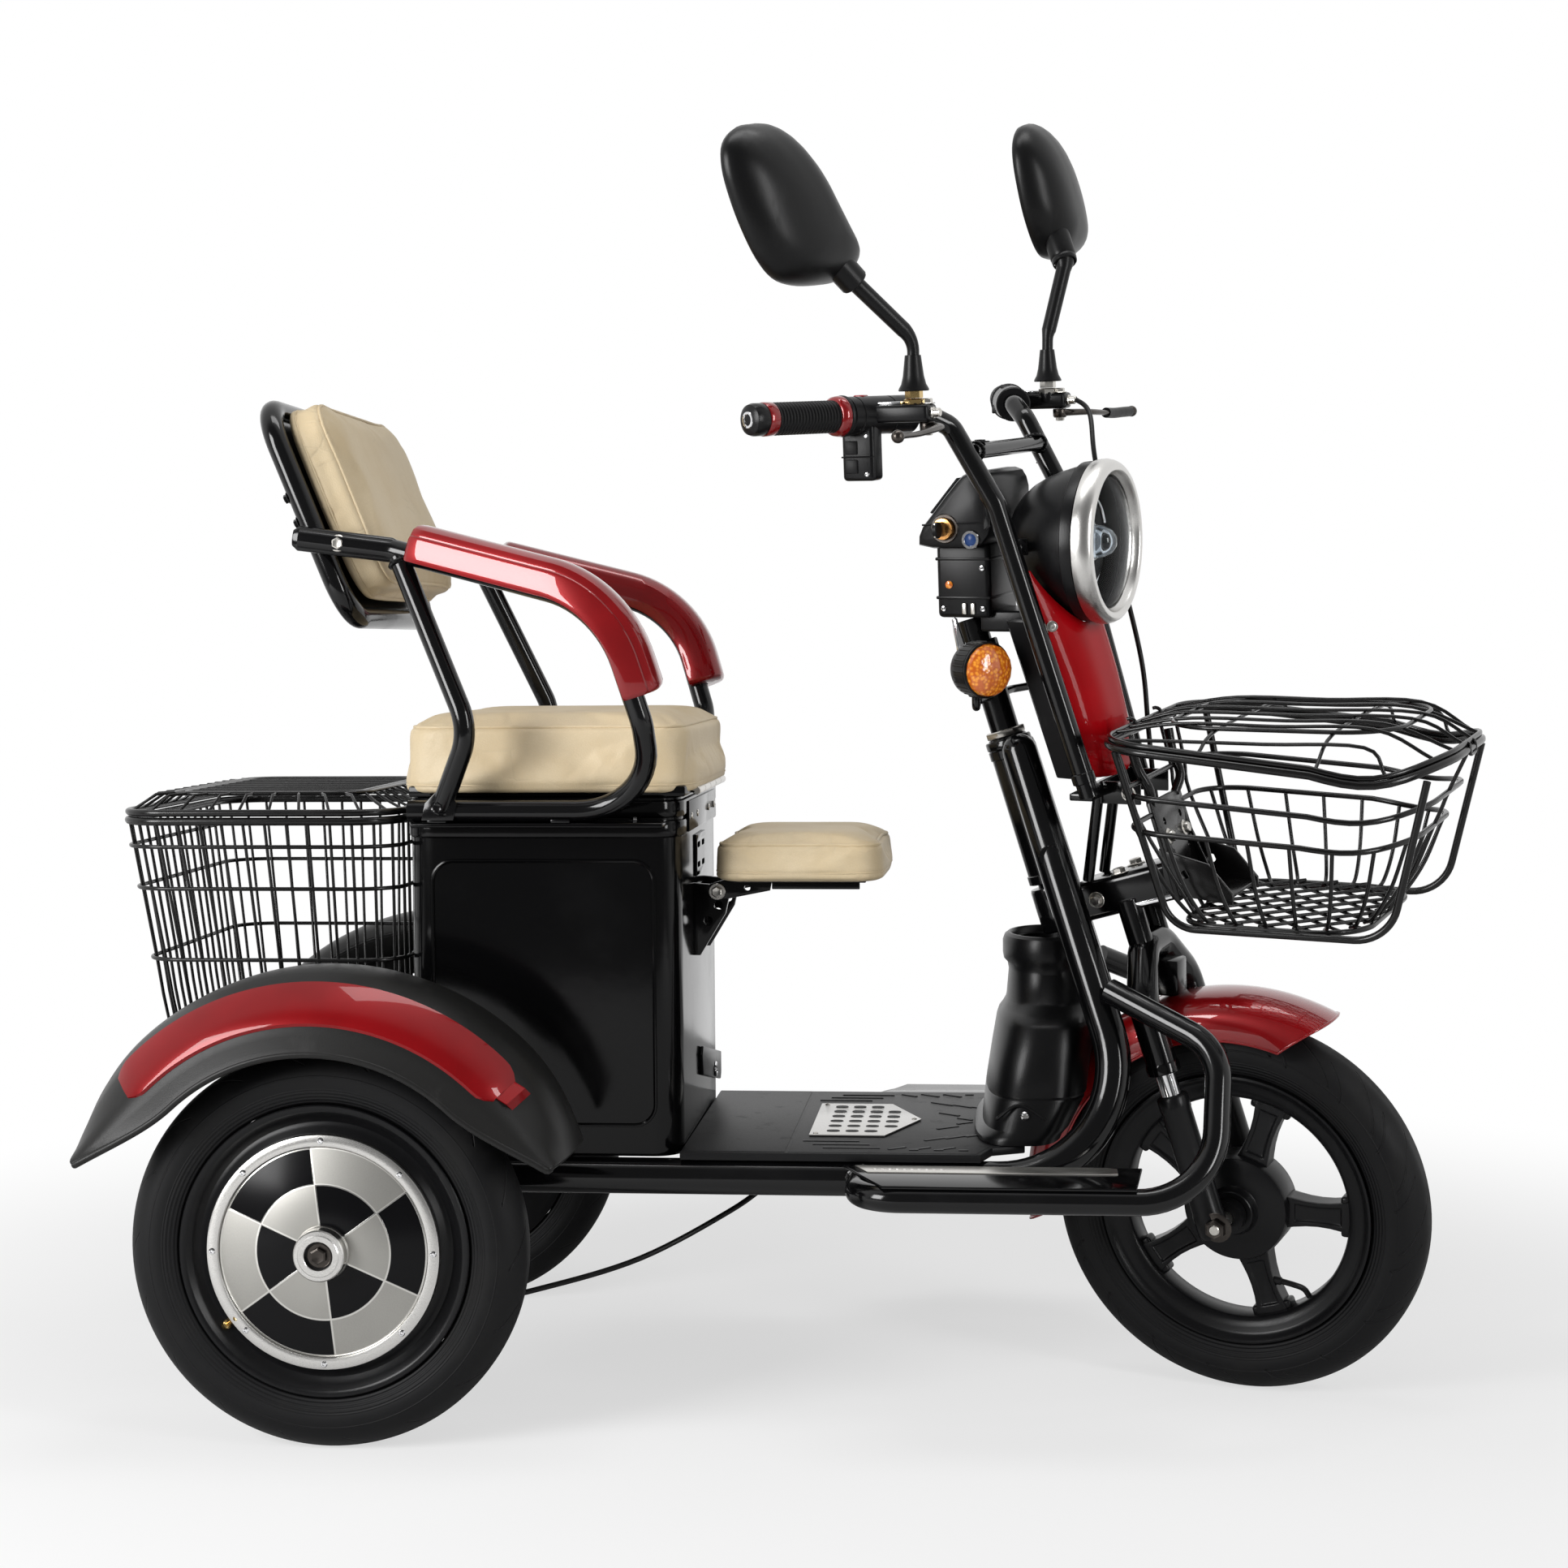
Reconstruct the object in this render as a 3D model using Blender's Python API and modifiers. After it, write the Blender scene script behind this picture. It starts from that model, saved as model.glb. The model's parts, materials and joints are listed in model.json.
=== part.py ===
"""Electric passenger tricycle: frame, seat, wheels, front fork, handlebar, baskets and controls.

Metres, +X forward, +Y to the rider's left, +Z up, ground at Z = 0.
Lengths along X are measured from the rear axle; the whole machine is then moved by
ORIGIN_X so that the world origin lies under the middle of its bounding box.
Everything that turns with the handlebar is drawn straight ahead and hangs on an empty
on the steering axis, which is turned by STEER_AT_REST.
"""
import math

import bmesh
import bpy
import numpy as np
from mathutils import Matrix, Vector

# Overall places
ORIGIN_X = 0.4632            # from the rear axle to the middle of the bounding box
GAP = 0.0003                 # air between pieces that touch
WELD_GAP = 0.0001            # doubles closer than this are one point

# Wheels
WHEEL_R = 0.205              # outer radius of every tyre
TYRE_W = 0.068
TREAD_HALF = 0.009           # half the flat of the tread
RIM_R = 0.1497               # where the tyre's bead sits
TRACK_HALF = 0.295           # from the middle plane to the middle of a rear tyre
AXLE_PIN_R = 0.009
FRONT_PIN_R = 0.008
WHEEL_STEPS = 24
MOTOR_OUT = 0.026            # outer face of the hub motor, from the wheel's middle plane
MOTOR_IN = 0.040
COVER_R = 0.1205
NOSE_R = 0.028
NOSE_LEN = 0.019             # how far the hub's nose stands out of the cover
HUB_OPEN_R = 0.1225          # inner radius of the front rim
DRUM_R = 0.058
SPOKES = 5

# Frame
RAIL_Z = WHEEL_R + 0.050     # height of the floor rails' centre
RAIL_Y = 0.172
BORE_OPEN = 1.0 / math.cos(math.pi / 16)   # lets a 16-sided bar turn inside a 16-sided bore
MAIN_TUBE_R = 0.019
FLOOR_T = 0.0097
FLOOR_FRONT = 0.706
RAIL_REAR = -0.060
BEND_R = 0.120
MAIN_TOP_Y = 0.046
MAIN_TOP_U = -0.010
CORNER_X = 0.840             # where the down tube and the rail would cross
GUARD_TUBE_R = 0.0135
STEP_OUT_Y = 0.288
STEP_REAR_X = 0.536
STEP_PLATE_T = 0.004
CABLE_STOP_X = 0.456         # rear face of the tab that holds the rear brake cable
CARRIER_Z = RAIL_Z + 0.1318

# Steering axis: leans back by RAKE and passes through STEER_BASE
RAKE = math.radians(17.0)
STEER_BASE = Vector((0.690, 0.0, WHEEL_R + 0.499))
STEER_AT_REST = math.radians(-22.5)
HEAD_R = 0.0235
HEAD_TOP = -0.004
HEAD_BOTTOM = -0.158
COLUMN_R = 0.016
COLUMN_TOP = 0.143
AXLE_OFFSET = 0.100          # front axle ahead of the steering axis
LEG_OFFSET = 0.090           # fork legs ahead of the steering axis
LEG_Y = 0.072
LEG_R = 0.0165
ROD_R = 0.0115
BASKET_REACH = 0.150         # front face of the lower bracket, where the basket bolts on

# Seat
BOX_REAR = 0.055
BOX_FRONT = 0.345
BOX_HALF = 0.170
BOX_TOP = 0.655
BOX_WALL = 0.003
BOX_CORNER = 0.030
LIP_HALF = BOX_HALF + 0.047
LIP_TOP = 0.6312
LIP_T = 0.005
PAN_T = 0.012
SEAT_H = 0.076
SEAT_HALF = BOX_HALF + 0.016
SEAT_REAR = 0.043
SEAT_FRONT = 0.361
ARM_TUBE_R = 0.0115
BACK_LEAN = math.radians(22.0)
BACK_BASE = Vector((0.000, 0.0, 0.846))
BACK_H = 0.237
BACK_HALF = 0.180
BACK_TUBE_R = 0.012
BACK_CUSHION_T = 0.050
CHILD_PIVOT = Vector((0.372, 0.0, 0.545))

# Mudguards
GUARD_OUT = 0.376
GUARD_IN = 0.232
GUARD_R = WHEEL_R + 0.078
GUARD_WALL = 0.003
FENDER_R = WHEEL_R + 0.035
FENDER_HALF = 0.050

# Handlebar
BAR_R = 0.011
SIDE_Y = 0.100
GRIP_Z = 1.072
GRIP_R = 0.0165
MIRROR_BASE_Y = 0.190
STRAP_END = 0.8565           # where the upper strap meets the basket

PARTS = "electric_passenger_tricycle"
CUTTERS = "cutters"

COLOURS = {
    "frame_black": ((0.012, 0.012, 0.013), 0.22, 0.0),
    "box_black": ((0.010, 0.010, 0.011), 0.12, 0.0),
    "wire_black": ((0.014, 0.013, 0.013), 0.30, 0.0),
    "plastic_black": ((0.018, 0.018, 0.018), 0.50, 0.0),
    "plastic_grey": ((0.075, 0.077, 0.078), 0.55, 0.0),
    "paint_red": ((0.56, 0.012, 0.012), 0.12, 0.15),
    "leather": ((0.62, 0.50, 0.35), 0.55, 0.0),
    "tyre": ((0.016, 0.016, 0.017), 0.75, 0.0),
    "silver": ((0.62, 0.61, 0.59), 0.28, 1.0),
    "chrome": ((0.80, 0.80, 0.80), 0.08, 1.0),
    "rubber": ((0.020, 0.020, 0.020), 0.85, 0.0),
    "lens": ((0.75, 0.78, 0.80), 0.05, 0.0),
    "battery": ((0.05, 0.07, 0.09), 0.60, 0.0),
}

F_DIR = Vector((math.cos(RAKE), 0.0, math.sin(RAKE)))
U_DIR = Vector((-math.sin(RAKE), 0.0, math.cos(RAKE)))
Y_DIR = Vector((0.0, 1.0, 0.0))
BACK_UP = Vector((-math.sin(BACK_LEAN), 0.0, math.cos(BACK_LEAN)))
BACK_OUT = Vector((math.cos(BACK_LEAN), 0.0, math.sin(BACK_LEAN)))


def steer_point(forward, side, up):
    """A point given ahead of, beside and along the steering axis."""
    return STEER_BASE + F_DIR * forward + Y_DIR * side + U_DIR * up


def back_point(up, side, out):
    """A point given up, across and out of the backrest's leaning plane."""
    return BACK_BASE + BACK_UP * up + Y_DIR * side + BACK_OUT * out


def tyre_reach_down():
    """How far below its axle the leaning, turned front tyre touches the ground."""
    turn = Matrix.Rotation(STEER_AT_REST, 3, U_DIR)
    drops = []
    for step in range(WHEEL_STEPS):
        angle = 2 * math.pi * step / WHEEL_STEPS
        for side in (-TREAD_HALF, TREAD_HALF):
            drops.append(-(turn @ Vector((WHEEL_R * math.cos(angle), side, WHEEL_R * math.sin(angle)))).z)
    return max(drops)


TYRE_DROP = tyre_reach_down()
FORK_DROP = (TYRE_DROP - STEER_BASE.z - F_DIR.z * AXLE_OFFSET * math.cos(STEER_AT_REST)) / U_DIR.z
FRONT_AXLE = steer_point(AXLE_OFFSET, 0.0, FORK_DROP)
FLOOR_BOTTOM = RAIL_Z + MAIN_TUBE_R + GAP
FLOOR_TOP = FLOOR_BOTTOM + FLOOR_T


def clear_scene():
    for item in list(bpy.data.objects):
        bpy.data.objects.remove(item, do_unlink=True)
    for name in (PARTS, CUTTERS):
        if name not in bpy.data.collections:
            bpy.context.scene.collection.children.link(bpy.data.collections.new(name))


def material(name):
    """The Principled material of one finish."""
    if name in bpy.data.materials:
        return bpy.data.materials[name]
    colour, rough, metal = COLOURS[name]
    made = bpy.data.materials.new(name)
    made.use_nodes = True
    shader = made.node_tree.nodes["Principled BSDF"]
    shader.inputs["Base Color"].default_value = (*colour, 1.0)
    shader.inputs["Roughness"].default_value = rough
    shader.inputs["Metallic"].default_value = metal
    made.diffuse_color = (*colour, 1.0)
    return made


def link_mesh(name, mesh):
    made = bpy.data.objects.new(name, mesh)
    bpy.data.collections[PARTS].objects.link(made)
    return made


def object_from(name, shape):
    """An object holding a bmesh, with its faces turned outwards."""
    bmesh.ops.remove_doubles(shape, verts=shape.verts, dist=WELD_GAP)
    bmesh.ops.recalc_face_normals(shape, faces=shape.faces)
    mesh = bpy.data.meshes.new(name)
    shape.to_mesh(mesh)
    shape.free()
    return link_mesh(name, mesh)


def baked(made):
    """The same object with its curve or modifiers turned into one plain mesh."""
    graph = bpy.context.evaluated_depsgraph_get()
    graph.update()
    mesh = bpy.data.meshes.new_from_object(made.evaluated_get(graph))
    shape = bmesh.new()
    shape.from_mesh(mesh)
    bmesh.ops.remove_doubles(shape, verts=shape.verts, dist=WELD_GAP / 2)
    shape.to_mesh(mesh)
    shape.free()
    result = link_mesh(made.name + "_solid", mesh)
    result.matrix_world = made.matrix_world
    bpy.data.objects.remove(made, do_unlink=True)
    return result


def box(low, high, bevel=0.0, segments=2):
    """A box between two corners, with rounded edges if bevel is given."""
    low = Vector(low)
    high = Vector(high)
    shape = bmesh.new()
    bmesh.ops.create_cube(shape, size=1.0)
    bmesh.ops.scale(shape, vec=high - low, verts=shape.verts)
    bmesh.ops.translate(shape, vec=(low + high) / 2, verts=shape.verts)
    if bevel:
        bmesh.ops.bevel(shape, geom=shape.edges, offset=bevel, segments=segments, affect="EDGES", profile=0.5)
    return object_from("box", shape)


def turn_to(direction):
    """The rotation that takes +Z to a direction."""
    return Vector(direction).to_track_quat("Z", "Y").to_matrix().to_4x4()


def rod(start, end, radius, end_radius=None, sides=16):
    """A straight round bar, tapered if end_radius is given."""
    start = Vector(start)
    end = Vector(end)
    shape = bmesh.new()
    last = radius if end_radius is None else end_radius
    bmesh.ops.create_cone(shape, cap_ends=True, segments=sides, radius1=radius, radius2=last,
                          depth=(end - start).length)
    bmesh.ops.transform(shape, matrix=Matrix.Translation((start + end) / 2) @ turn_to(end - start), verts=shape.verts)
    return object_from("rod", shape)


def ball(centre, radius, sides=12):
    shape = bmesh.new()
    bmesh.ops.create_uvsphere(shape, u_segments=sides, v_segments=sides // 2, radius=radius)
    bmesh.ops.translate(shape, vec=Vector(centre), verts=shape.verts)
    return object_from("ball", shape)


def filleted(points, radii, steps=5):
    """A path through the corners, each rounded by its own radius."""
    points = [Vector(p) for p in points]
    path = [points[0]]
    for before, corner, after, radius in zip(points, points[1:-1], points[2:], radii):
        inward = (before - corner).normalized()
        onward = (after - corner).normalized()
        half = inward.angle(onward) / 2
        reach = radius / math.tan(half)
        centre = corner + (inward + onward).normalized() * radius / math.sin(half)
        first = corner + inward * reach - centre
        last = corner + onward * reach - centre
        sweep = first.angle(last)
        for step in range(steps + 1):
            share = step / steps
            blend = first * math.sin((1 - share) * sweep) + last * math.sin(share * sweep)
            path.append(centre + blend / math.sin(sweep))
    path.append(points[-1])
    return path


def tube(points, radius, level=2, closed=False):
    """A bent tube along a path: a curve with a round bevel and filled ends, made a mesh."""
    curve = bpy.data.curves.new("tube", "CURVE")
    curve.dimensions = "3D"
    curve.bevel_depth = radius
    curve.bevel_resolution = level
    curve.use_fill_caps = True
    spline = curve.splines.new("POLY")
    spline.points.add(len(points) - 1)
    for place, point in zip(spline.points, points):
        place.co = (*point, 1.0)
    spline.use_cyclic_u = closed
    made = bpy.data.objects.new("tube", curve)
    bpy.data.collections[PARTS].objects.link(made)
    return baked(made)


def prism(outline, low, high, plane="XZ"):
    """A flat outline given thickness along the axis that its plane leaves out."""
    shape = bmesh.new()
    places = []
    for first, second in outline:
        places.append({"XZ": (first, low, second), "XY": (first, second, low), "YZ": (low, first, second)}[plane])
    face = shape.faces.new([shape.verts.new(p) for p in places])
    push = {"XZ": (0, high - low, 0), "XY": (0, 0, high - low), "YZ": (high - low, 0, 0)}[plane]
    moved = bmesh.ops.extrude_face_region(shape, geom=[face])["geom"]
    bmesh.ops.translate(shape, vec=push, verts=[v for v in moved if isinstance(v, bmesh.types.BMVert)])
    return object_from("prism", shape)


def rounded_outline(half_x, half_y, corner, centre=(0.0, 0.0), steps=2):
    """A rectangle's outline with round corners, counted once round."""
    outline = []
    for sign_x, sign_y, start in ((1, 1, 0), (-1, 1, 90), (-1, -1, 180), (1, -1, 270)):
        for step in range(steps + 1):
            angle = math.radians(start + 90 * step / steps)
            outline.append((centre[0] + sign_x * (half_x - corner) + corner * math.cos(angle),
                            centre[1] + sign_y * (half_y - corner) + corner * math.sin(angle)))
    return outline


def turned(profile, centre, axis, steps=WHEEL_STEPS, closed=True):
    """A profile of (radius, height) points turned round an axis by a Screw modifier."""
    mesh = bpy.data.meshes.new("profile")
    edges = [(i, i + 1) for i in range(len(profile) - 1)]
    if closed:
        edges.append((len(profile) - 1, 0))
    mesh.from_pydata([(r, 0.0, h) for r, h in profile], edges, [])
    made = link_mesh("turned", mesh)
    screw = made.modifiers.new("turn", "SCREW")
    screw.steps = steps
    screw.render_steps = steps
    screw.use_merge_vertices = True
    screw.merge_threshold = WELD_GAP / 2
    result = baked(made)
    shape = bmesh.new()
    shape.from_mesh(result.data)
    bmesh.ops.remove_doubles(shape, verts=shape.verts, dist=WELD_GAP / 2)
    bmesh.ops.delete(shape, geom=[e for e in shape.edges if not e.link_faces], context="EDGES")
    bmesh.ops.transform(shape, matrix=Matrix.Translation(centre) @ turn_to(axis), verts=shape.verts)
    bmesh.ops.recalc_face_normals(shape, faces=shape.faces)
    shape.to_mesh(result.data)
    shape.free()
    return result


def loft(sections, wall=0.0, closed_rings=True, caps=True):
    """A skin through sections of equal point counts; wall thickens an open skin outwards."""
    shape = bmesh.new()
    rings = [[shape.verts.new(Vector(p)) for p in section] for section in sections]
    count = len(rings[0])
    for lower, upper in zip(rings, rings[1:]):
        for i in range(count if closed_rings else count - 1):
            j = (i + 1) % count
            shape.faces.new((lower[i], lower[j], upper[j], upper[i]))
    if caps:
        shape.faces.new(rings[0])
        shape.faces.new(rings[-1])
    made = object_from("loft", shape)
    if wall:
        thick = made.modifiers.new("wall", "SOLIDIFY")
        thick.thickness = abs(wall)
        thick.offset = math.copysign(1.0, wall)
        made = baked(made)
    return made


def joined(operation, base, others):
    """One solid from a base and others, by a Boolean whose operands are a collection."""
    operands = bpy.data.collections.new("operands")
    bpy.context.scene.collection.children.link(operands)
    for other in others:
        operands.objects.link(other)
        other.hide_render = True
        other.display_type = "WIRE"
    step = base.modifiers.new(operation, "BOOLEAN")
    step.operation = operation
    step.operand_type = "COLLECTION"
    step.collection = operands
    result = baked(base)
    for other in others:
        bpy.data.objects.remove(other, do_unlink=True)
    bpy.data.collections.remove(operands)
    return result


def weld(pieces):
    """Overlapping closed pieces made one solid."""
    result = pieces[0]
    for piece in pieces[1:]:
        result = joined("UNION", result, [piece])
    return result


def cut(base, cutters):
    result = base
    for cutter in cutters:
        result = joined("DIFFERENCE", result, [cutter])
    return result


def mirrored(made):
    """A copy on the other side of the middle plane."""
    shape = bmesh.new()
    shape.from_mesh(made.data)
    bmesh.ops.transform(shape, matrix=made.matrix_world, verts=shape.verts)
    bmesh.ops.scale(shape, vec=(1, -1, 1), verts=shape.verts)
    bmesh.ops.reverse_faces(shape, faces=shape.faces)
    mesh = bpy.data.meshes.new("mirrored")
    shape.to_mesh(mesh)
    shape.free()
    return link_mesh("mirrored", mesh)


def cushion(half_x, half_y, height, corner, crown, draw_in, cuts=(8, 8, 4)):
    """A stuffed pad: round corners, sides drawn in between them, a crowned top, flat underneath."""
    shape = bmesh.new()
    bmesh.ops.create_cube(shape, size=2.0)
    for axis, count in enumerate(cuts):
        edges = [e for e in shape.edges
                 if abs((e.verts[0].co - e.verts[1].co)[axis]) > 1.9]
        bmesh.ops.subdivide_edges(shape, edges=edges, cuts=count - 1, use_grid_fill=True)
    for vert in shape.verts:
        u, v, w = vert.co
        reach_x = half_x - corner
        reach_y = half_y - corner
        x = u * half_x
        y = v * half_y
        over_x = max(0.0, abs(x) - reach_x) / corner
        over_y = max(0.0, abs(y) - reach_y) / corner
        longest = max(over_x, over_y)
        if over_x and over_y:
            squeeze = longest / math.hypot(over_x, over_y)
            x = math.copysign(reach_x + over_x * squeeze * corner, x)
            y = math.copysign(reach_y + over_y * squeeze * corner, y)
        side = 1.0 - abs(w) ** 3
        shrink_x = 1.0 - draw_in / half_x * (1 - v * v) * (0.35 + 0.65 * abs(w) ** 4) * abs(u) ** 6
        shrink_y = 1.0 - draw_in / half_y * (1 - u * u) * (0.35 + 0.65 * abs(w) ** 4) * abs(v) ** 6
        edge = max(abs(u), abs(v))
        round_in = 1.0 - 0.045 * (1 - side) * edge ** 8
        lift = crown * (1 - u ** 4) * (1 - v ** 4)
        top = height / 2 + lift - 0.10 * height * edge ** 10
        z = w * height / 2 if w <= 0 else w * top
        vert.co = (x * shrink_x * round_in, y * shrink_y * round_in, z + height / 2)
    return object_from("cushion", shape)


def put(made, matrix):
    """Moves a mesh by a matrix, into world places."""
    made.data.transform(matrix)
    return made


def smooth(made, angle=40.0):
    made.data.shade_smooth()
    made.data.set_sharp_from_angle(angle=math.radians(angle))


def finish(made, name, finish_name, parent=None, origin=(0.0, 0.0, 0.0), angle=40.0):
    """Names a piece, gives it its material and puts its origin on its joint's axis."""
    origin = Vector(origin)
    made.data.transform(Matrix.Translation(-origin) @ made.matrix_world)
    made.matrix_world = Matrix.Identity(4)
    made.location = origin
    made.name = name
    made.data.name = name
    made.data.materials.clear()
    made.data.materials.append(material(finish_name))
    smooth(made, angle)
    made.parent = parent if parent else bpy.data.objects["tricycle"]
    if parent:
        made.matrix_parent_inverse = Matrix.Translation(-STEER_BASE)
    return made


def empties():
    """The whole machine's empty, and the steering axis's empty, turned as it stands."""
    whole = bpy.data.objects.new("tricycle", None)
    whole.location = (-ORIGIN_X, 0.0, 0.0)
    bpy.data.collections[PARTS].objects.link(whole)
    pivot = bpy.data.objects.new("steering_pivot", None)
    pivot.rotation_mode = "QUATERNION"
    pivot.location = STEER_BASE
    pivot.rotation_quaternion = Matrix.Rotation(STEER_AT_REST, 3, U_DIR).to_quaternion()
    pivot.parent = whole
    bpy.data.collections[PARTS].objects.link(pivot)
    bpy.context.view_layer.update()
    return whole, pivot


def main_tube_path():
    """Right-hand down tube and floor rail: one bent tube from the head to behind the axle."""
    top = steer_point(0.009, -MAIN_TOP_Y, MAIN_TOP_U)
    corner = Vector((CORNER_X, -RAIL_Y, RAIL_Z))
    end = Vector((RAIL_REAR, -RAIL_Y, RAIL_Z))
    return filleted([top, corner, end], [BEND_R], 5)


def fender_stay(side):
    """The bent stay that carries a rear mudguard from the rail."""
    radius = 0.006
    under = WHEEL_R + math.sqrt((GUARD_R - GUARD_WALL - GAP - radius) ** 2 - 0.030 ** 2)
    points = [(0.030, side * RAIL_Y, RAIL_Z), (0.030, side * 0.214, 0.440), (0.030, side * 0.262, under),
              (0.030, side * 0.292, under)]
    return tube(filleted(points, [0.03, 0.015], 2), radius, 1)


def build_frame():
    """Welded steel frame with head tube, cross members, rear axle beam and axle pins."""
    right = tube(main_tube_path(), MAIN_TUBE_R, 3)
    left = mirrored(right)
    pieces = [right, left]
    pieces.append(rod(steer_point(0, 0, HEAD_BOTTOM), steer_point(0, 0, HEAD_TOP), HEAD_R, sides=16))
    for side in (-1, 1):
        pieces.append(ball(steer_point(0.009, side * MAIN_TOP_Y, MAIN_TOP_U), MAIN_TUBE_R, 8))
    for up in (-0.030, -0.125):
        reach = MAIN_TOP_Y + 0.42 * (MAIN_TOP_U - up)
        pieces.append(rod(steer_point(0.007, -reach, up), steer_point(0.007, reach, up), 0.012, sides=8))
    for x in (-0.045, 0.095, CABLE_STOP_X + 0.008, 0.610):
        pieces.append(rod((x, -RAIL_Y, RAIL_Z), (x, RAIL_Y, RAIL_Z), 0.012, sides=8))
    pieces.append(box((CABLE_STOP_X, -0.072, 0.222), (CABLE_STOP_X + 0.004, -0.048, 0.252)))
    beam_half = TRACK_HALF - MOTOR_IN - 0.006
    pieces.append(box((-0.020, -beam_half, WHEEL_R + 0.010), (0.020, beam_half, RAIL_Z)))
    for side in (-1, 1):
        plate = [(-0.032, RAIL_Z + 0.006), (-0.018, WHEEL_R - 0.026), (0.018, WHEEL_R - 0.026),
                 (0.032, RAIL_Z + 0.006)]
        pieces.append(prism(plate, side * beam_half - 0.004, side * beam_half + 0.004))
        pieces.append(box((0.010, side * beam_half - 0.004, 0.186), (0.042, side * beam_half + 0.004, 0.198)))
        tip = side * (TRACK_HALF + MOTOR_OUT + NOSE_LEN)
        pieces.append(rod((0, side * beam_half, WHEEL_R), (0, tip, WHEEL_R), AXLE_PIN_R, sides=12))
        pieces.append(fender_stay(side))
    carrier = [(-0.045, -0.110, RAIL_Z), (-0.045, -0.110, CARRIER_Z), (-0.045, 0.110, CARRIER_Z),
               (-0.045, 0.110, RAIL_Z)]
    pieces.append(tube(filleted(carrier, [0.03, 0.03], 2), 0.009, 1))
    whole = weld(pieces)
    bore_r = COLUMN_R * BORE_OPEN + GAP
    bore = rod(steer_point(0, 0, HEAD_BOTTOM - 0.05), steer_point(0, 0, HEAD_TOP + 0.05), bore_r, sides=16)
    whole = cut(whole, [bore])
    finish(whole, "frame", "frame_black")


def guard_path(side):
    """From the floor rail out round the step, forward, and up the loop to the down tube."""
    points = [(STEP_REAR_X, side * (RAIL_Y + MAIN_TUBE_R + GAP), RAIL_Z + 0.003),
              (STEP_REAR_X, side * STEP_OUT_Y, RAIL_Z + 0.003),
              (0.892, side * STEP_OUT_Y, RAIL_Z + 0.003),
              (0.903, side * 0.215, 0.400),
              (0.780, side * 0.140, 0.457)]
    return filleted(points, [0.045, 0.080, 0.060], 4)


def build_guards():
    """Tube loops: the step's outer tube that rises in front of the floor as a bumper."""
    for side, name in ((-1, "front_guard_right"), (1, "front_guard_left")):
        loop = tube(guard_path(side), GUARD_TUBE_R, 2)
        path = main_tube_path()
        saddle = tube([Vector((p.x, p.y * -side, p.z)) for p in path], MAIN_TUBE_R + GAP, 3)
        loop = cut(loop, [saddle])
        loop = keep_largest(loop)
        low = (STEP_REAR_X + 0.012, side * 0.196, RAIL_Z + 0.003 + GUARD_TUBE_R - 0.001)
        high = (0.826, side * 0.298, low[2] + STEP_PLATE_T)
        outline = [(low[0] - 0.030, low[1]), (high[0], low[1]), (high[0] - 0.010, high[1]),
                   (low[0] + 0.015, high[1])]
        plate = prism(outline, low[2], high[2], "XY")
        finish(weld([loop, plate]), name, "frame_black")


def keep_largest(made):
    """Drops every loose piece but the one with the most faces, such as a cut-off end."""
    shape = bmesh.new()
    shape.from_mesh(made.data)
    left = set(shape.faces)
    groups = []
    while left:
        stack = [left.pop()]
        group = set(stack)
        while stack:
            for edge in stack.pop().edges:
                for face in edge.link_faces:
                    if face not in group:
                        group.add(face)
                        stack.append(face)
        left -= group
        groups.append(group)
    groups.sort(key=len)
    for group in groups[:-1]:
        bmesh.ops.delete(shape, geom=list(group), context="FACES")
    shape.to_mesh(made.data)
    shape.free()
    return made


def build_floor():
    """Rubber-covered floor board with a metal tread plate, and the moulded storage bucket."""
    rear = BOX_FRONT + GAP
    outline = [(rear, -0.186), (0.660, -0.186), (0.672, -0.148), (FLOOR_FRONT, -0.130),
               (FLOOR_FRONT, 0.130), (0.672, 0.148), (0.660, 0.186), (rear, 0.186)]
    finish(prism(outline, FLOOR_BOTTOM, FLOOR_TOP, "XY"), "floor_board", "rubber")
    outline = [(0.474, -0.098), (0.556, -0.098), (0.592, 0.0), (0.556, 0.090), (0.474, 0.090)]
    plate = prism(outline, FLOOR_TOP + GAP, FLOOR_TOP + GAP + 0.0025, "XY")
    finish(plate, "tread_plate", "silver")


def bucket_ring(z, rear, front, half_y, square, count=14):
    """A level ring of the bucket: a rounded oblong between its ends, squarer as square falls below 1."""
    centre = (rear + front) / 2
    half_x = (front - rear) / 2
    ring = []
    for i in range(count):
        angle = 2 * math.pi * i / count
        across = math.copysign(abs(math.cos(angle)) ** square, math.cos(angle))
        side = math.copysign(abs(math.sin(angle)) ** square, math.sin(angle))
        ring.append(Vector((centre + half_x * across, half_y * side, z)))
    return ring


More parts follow.
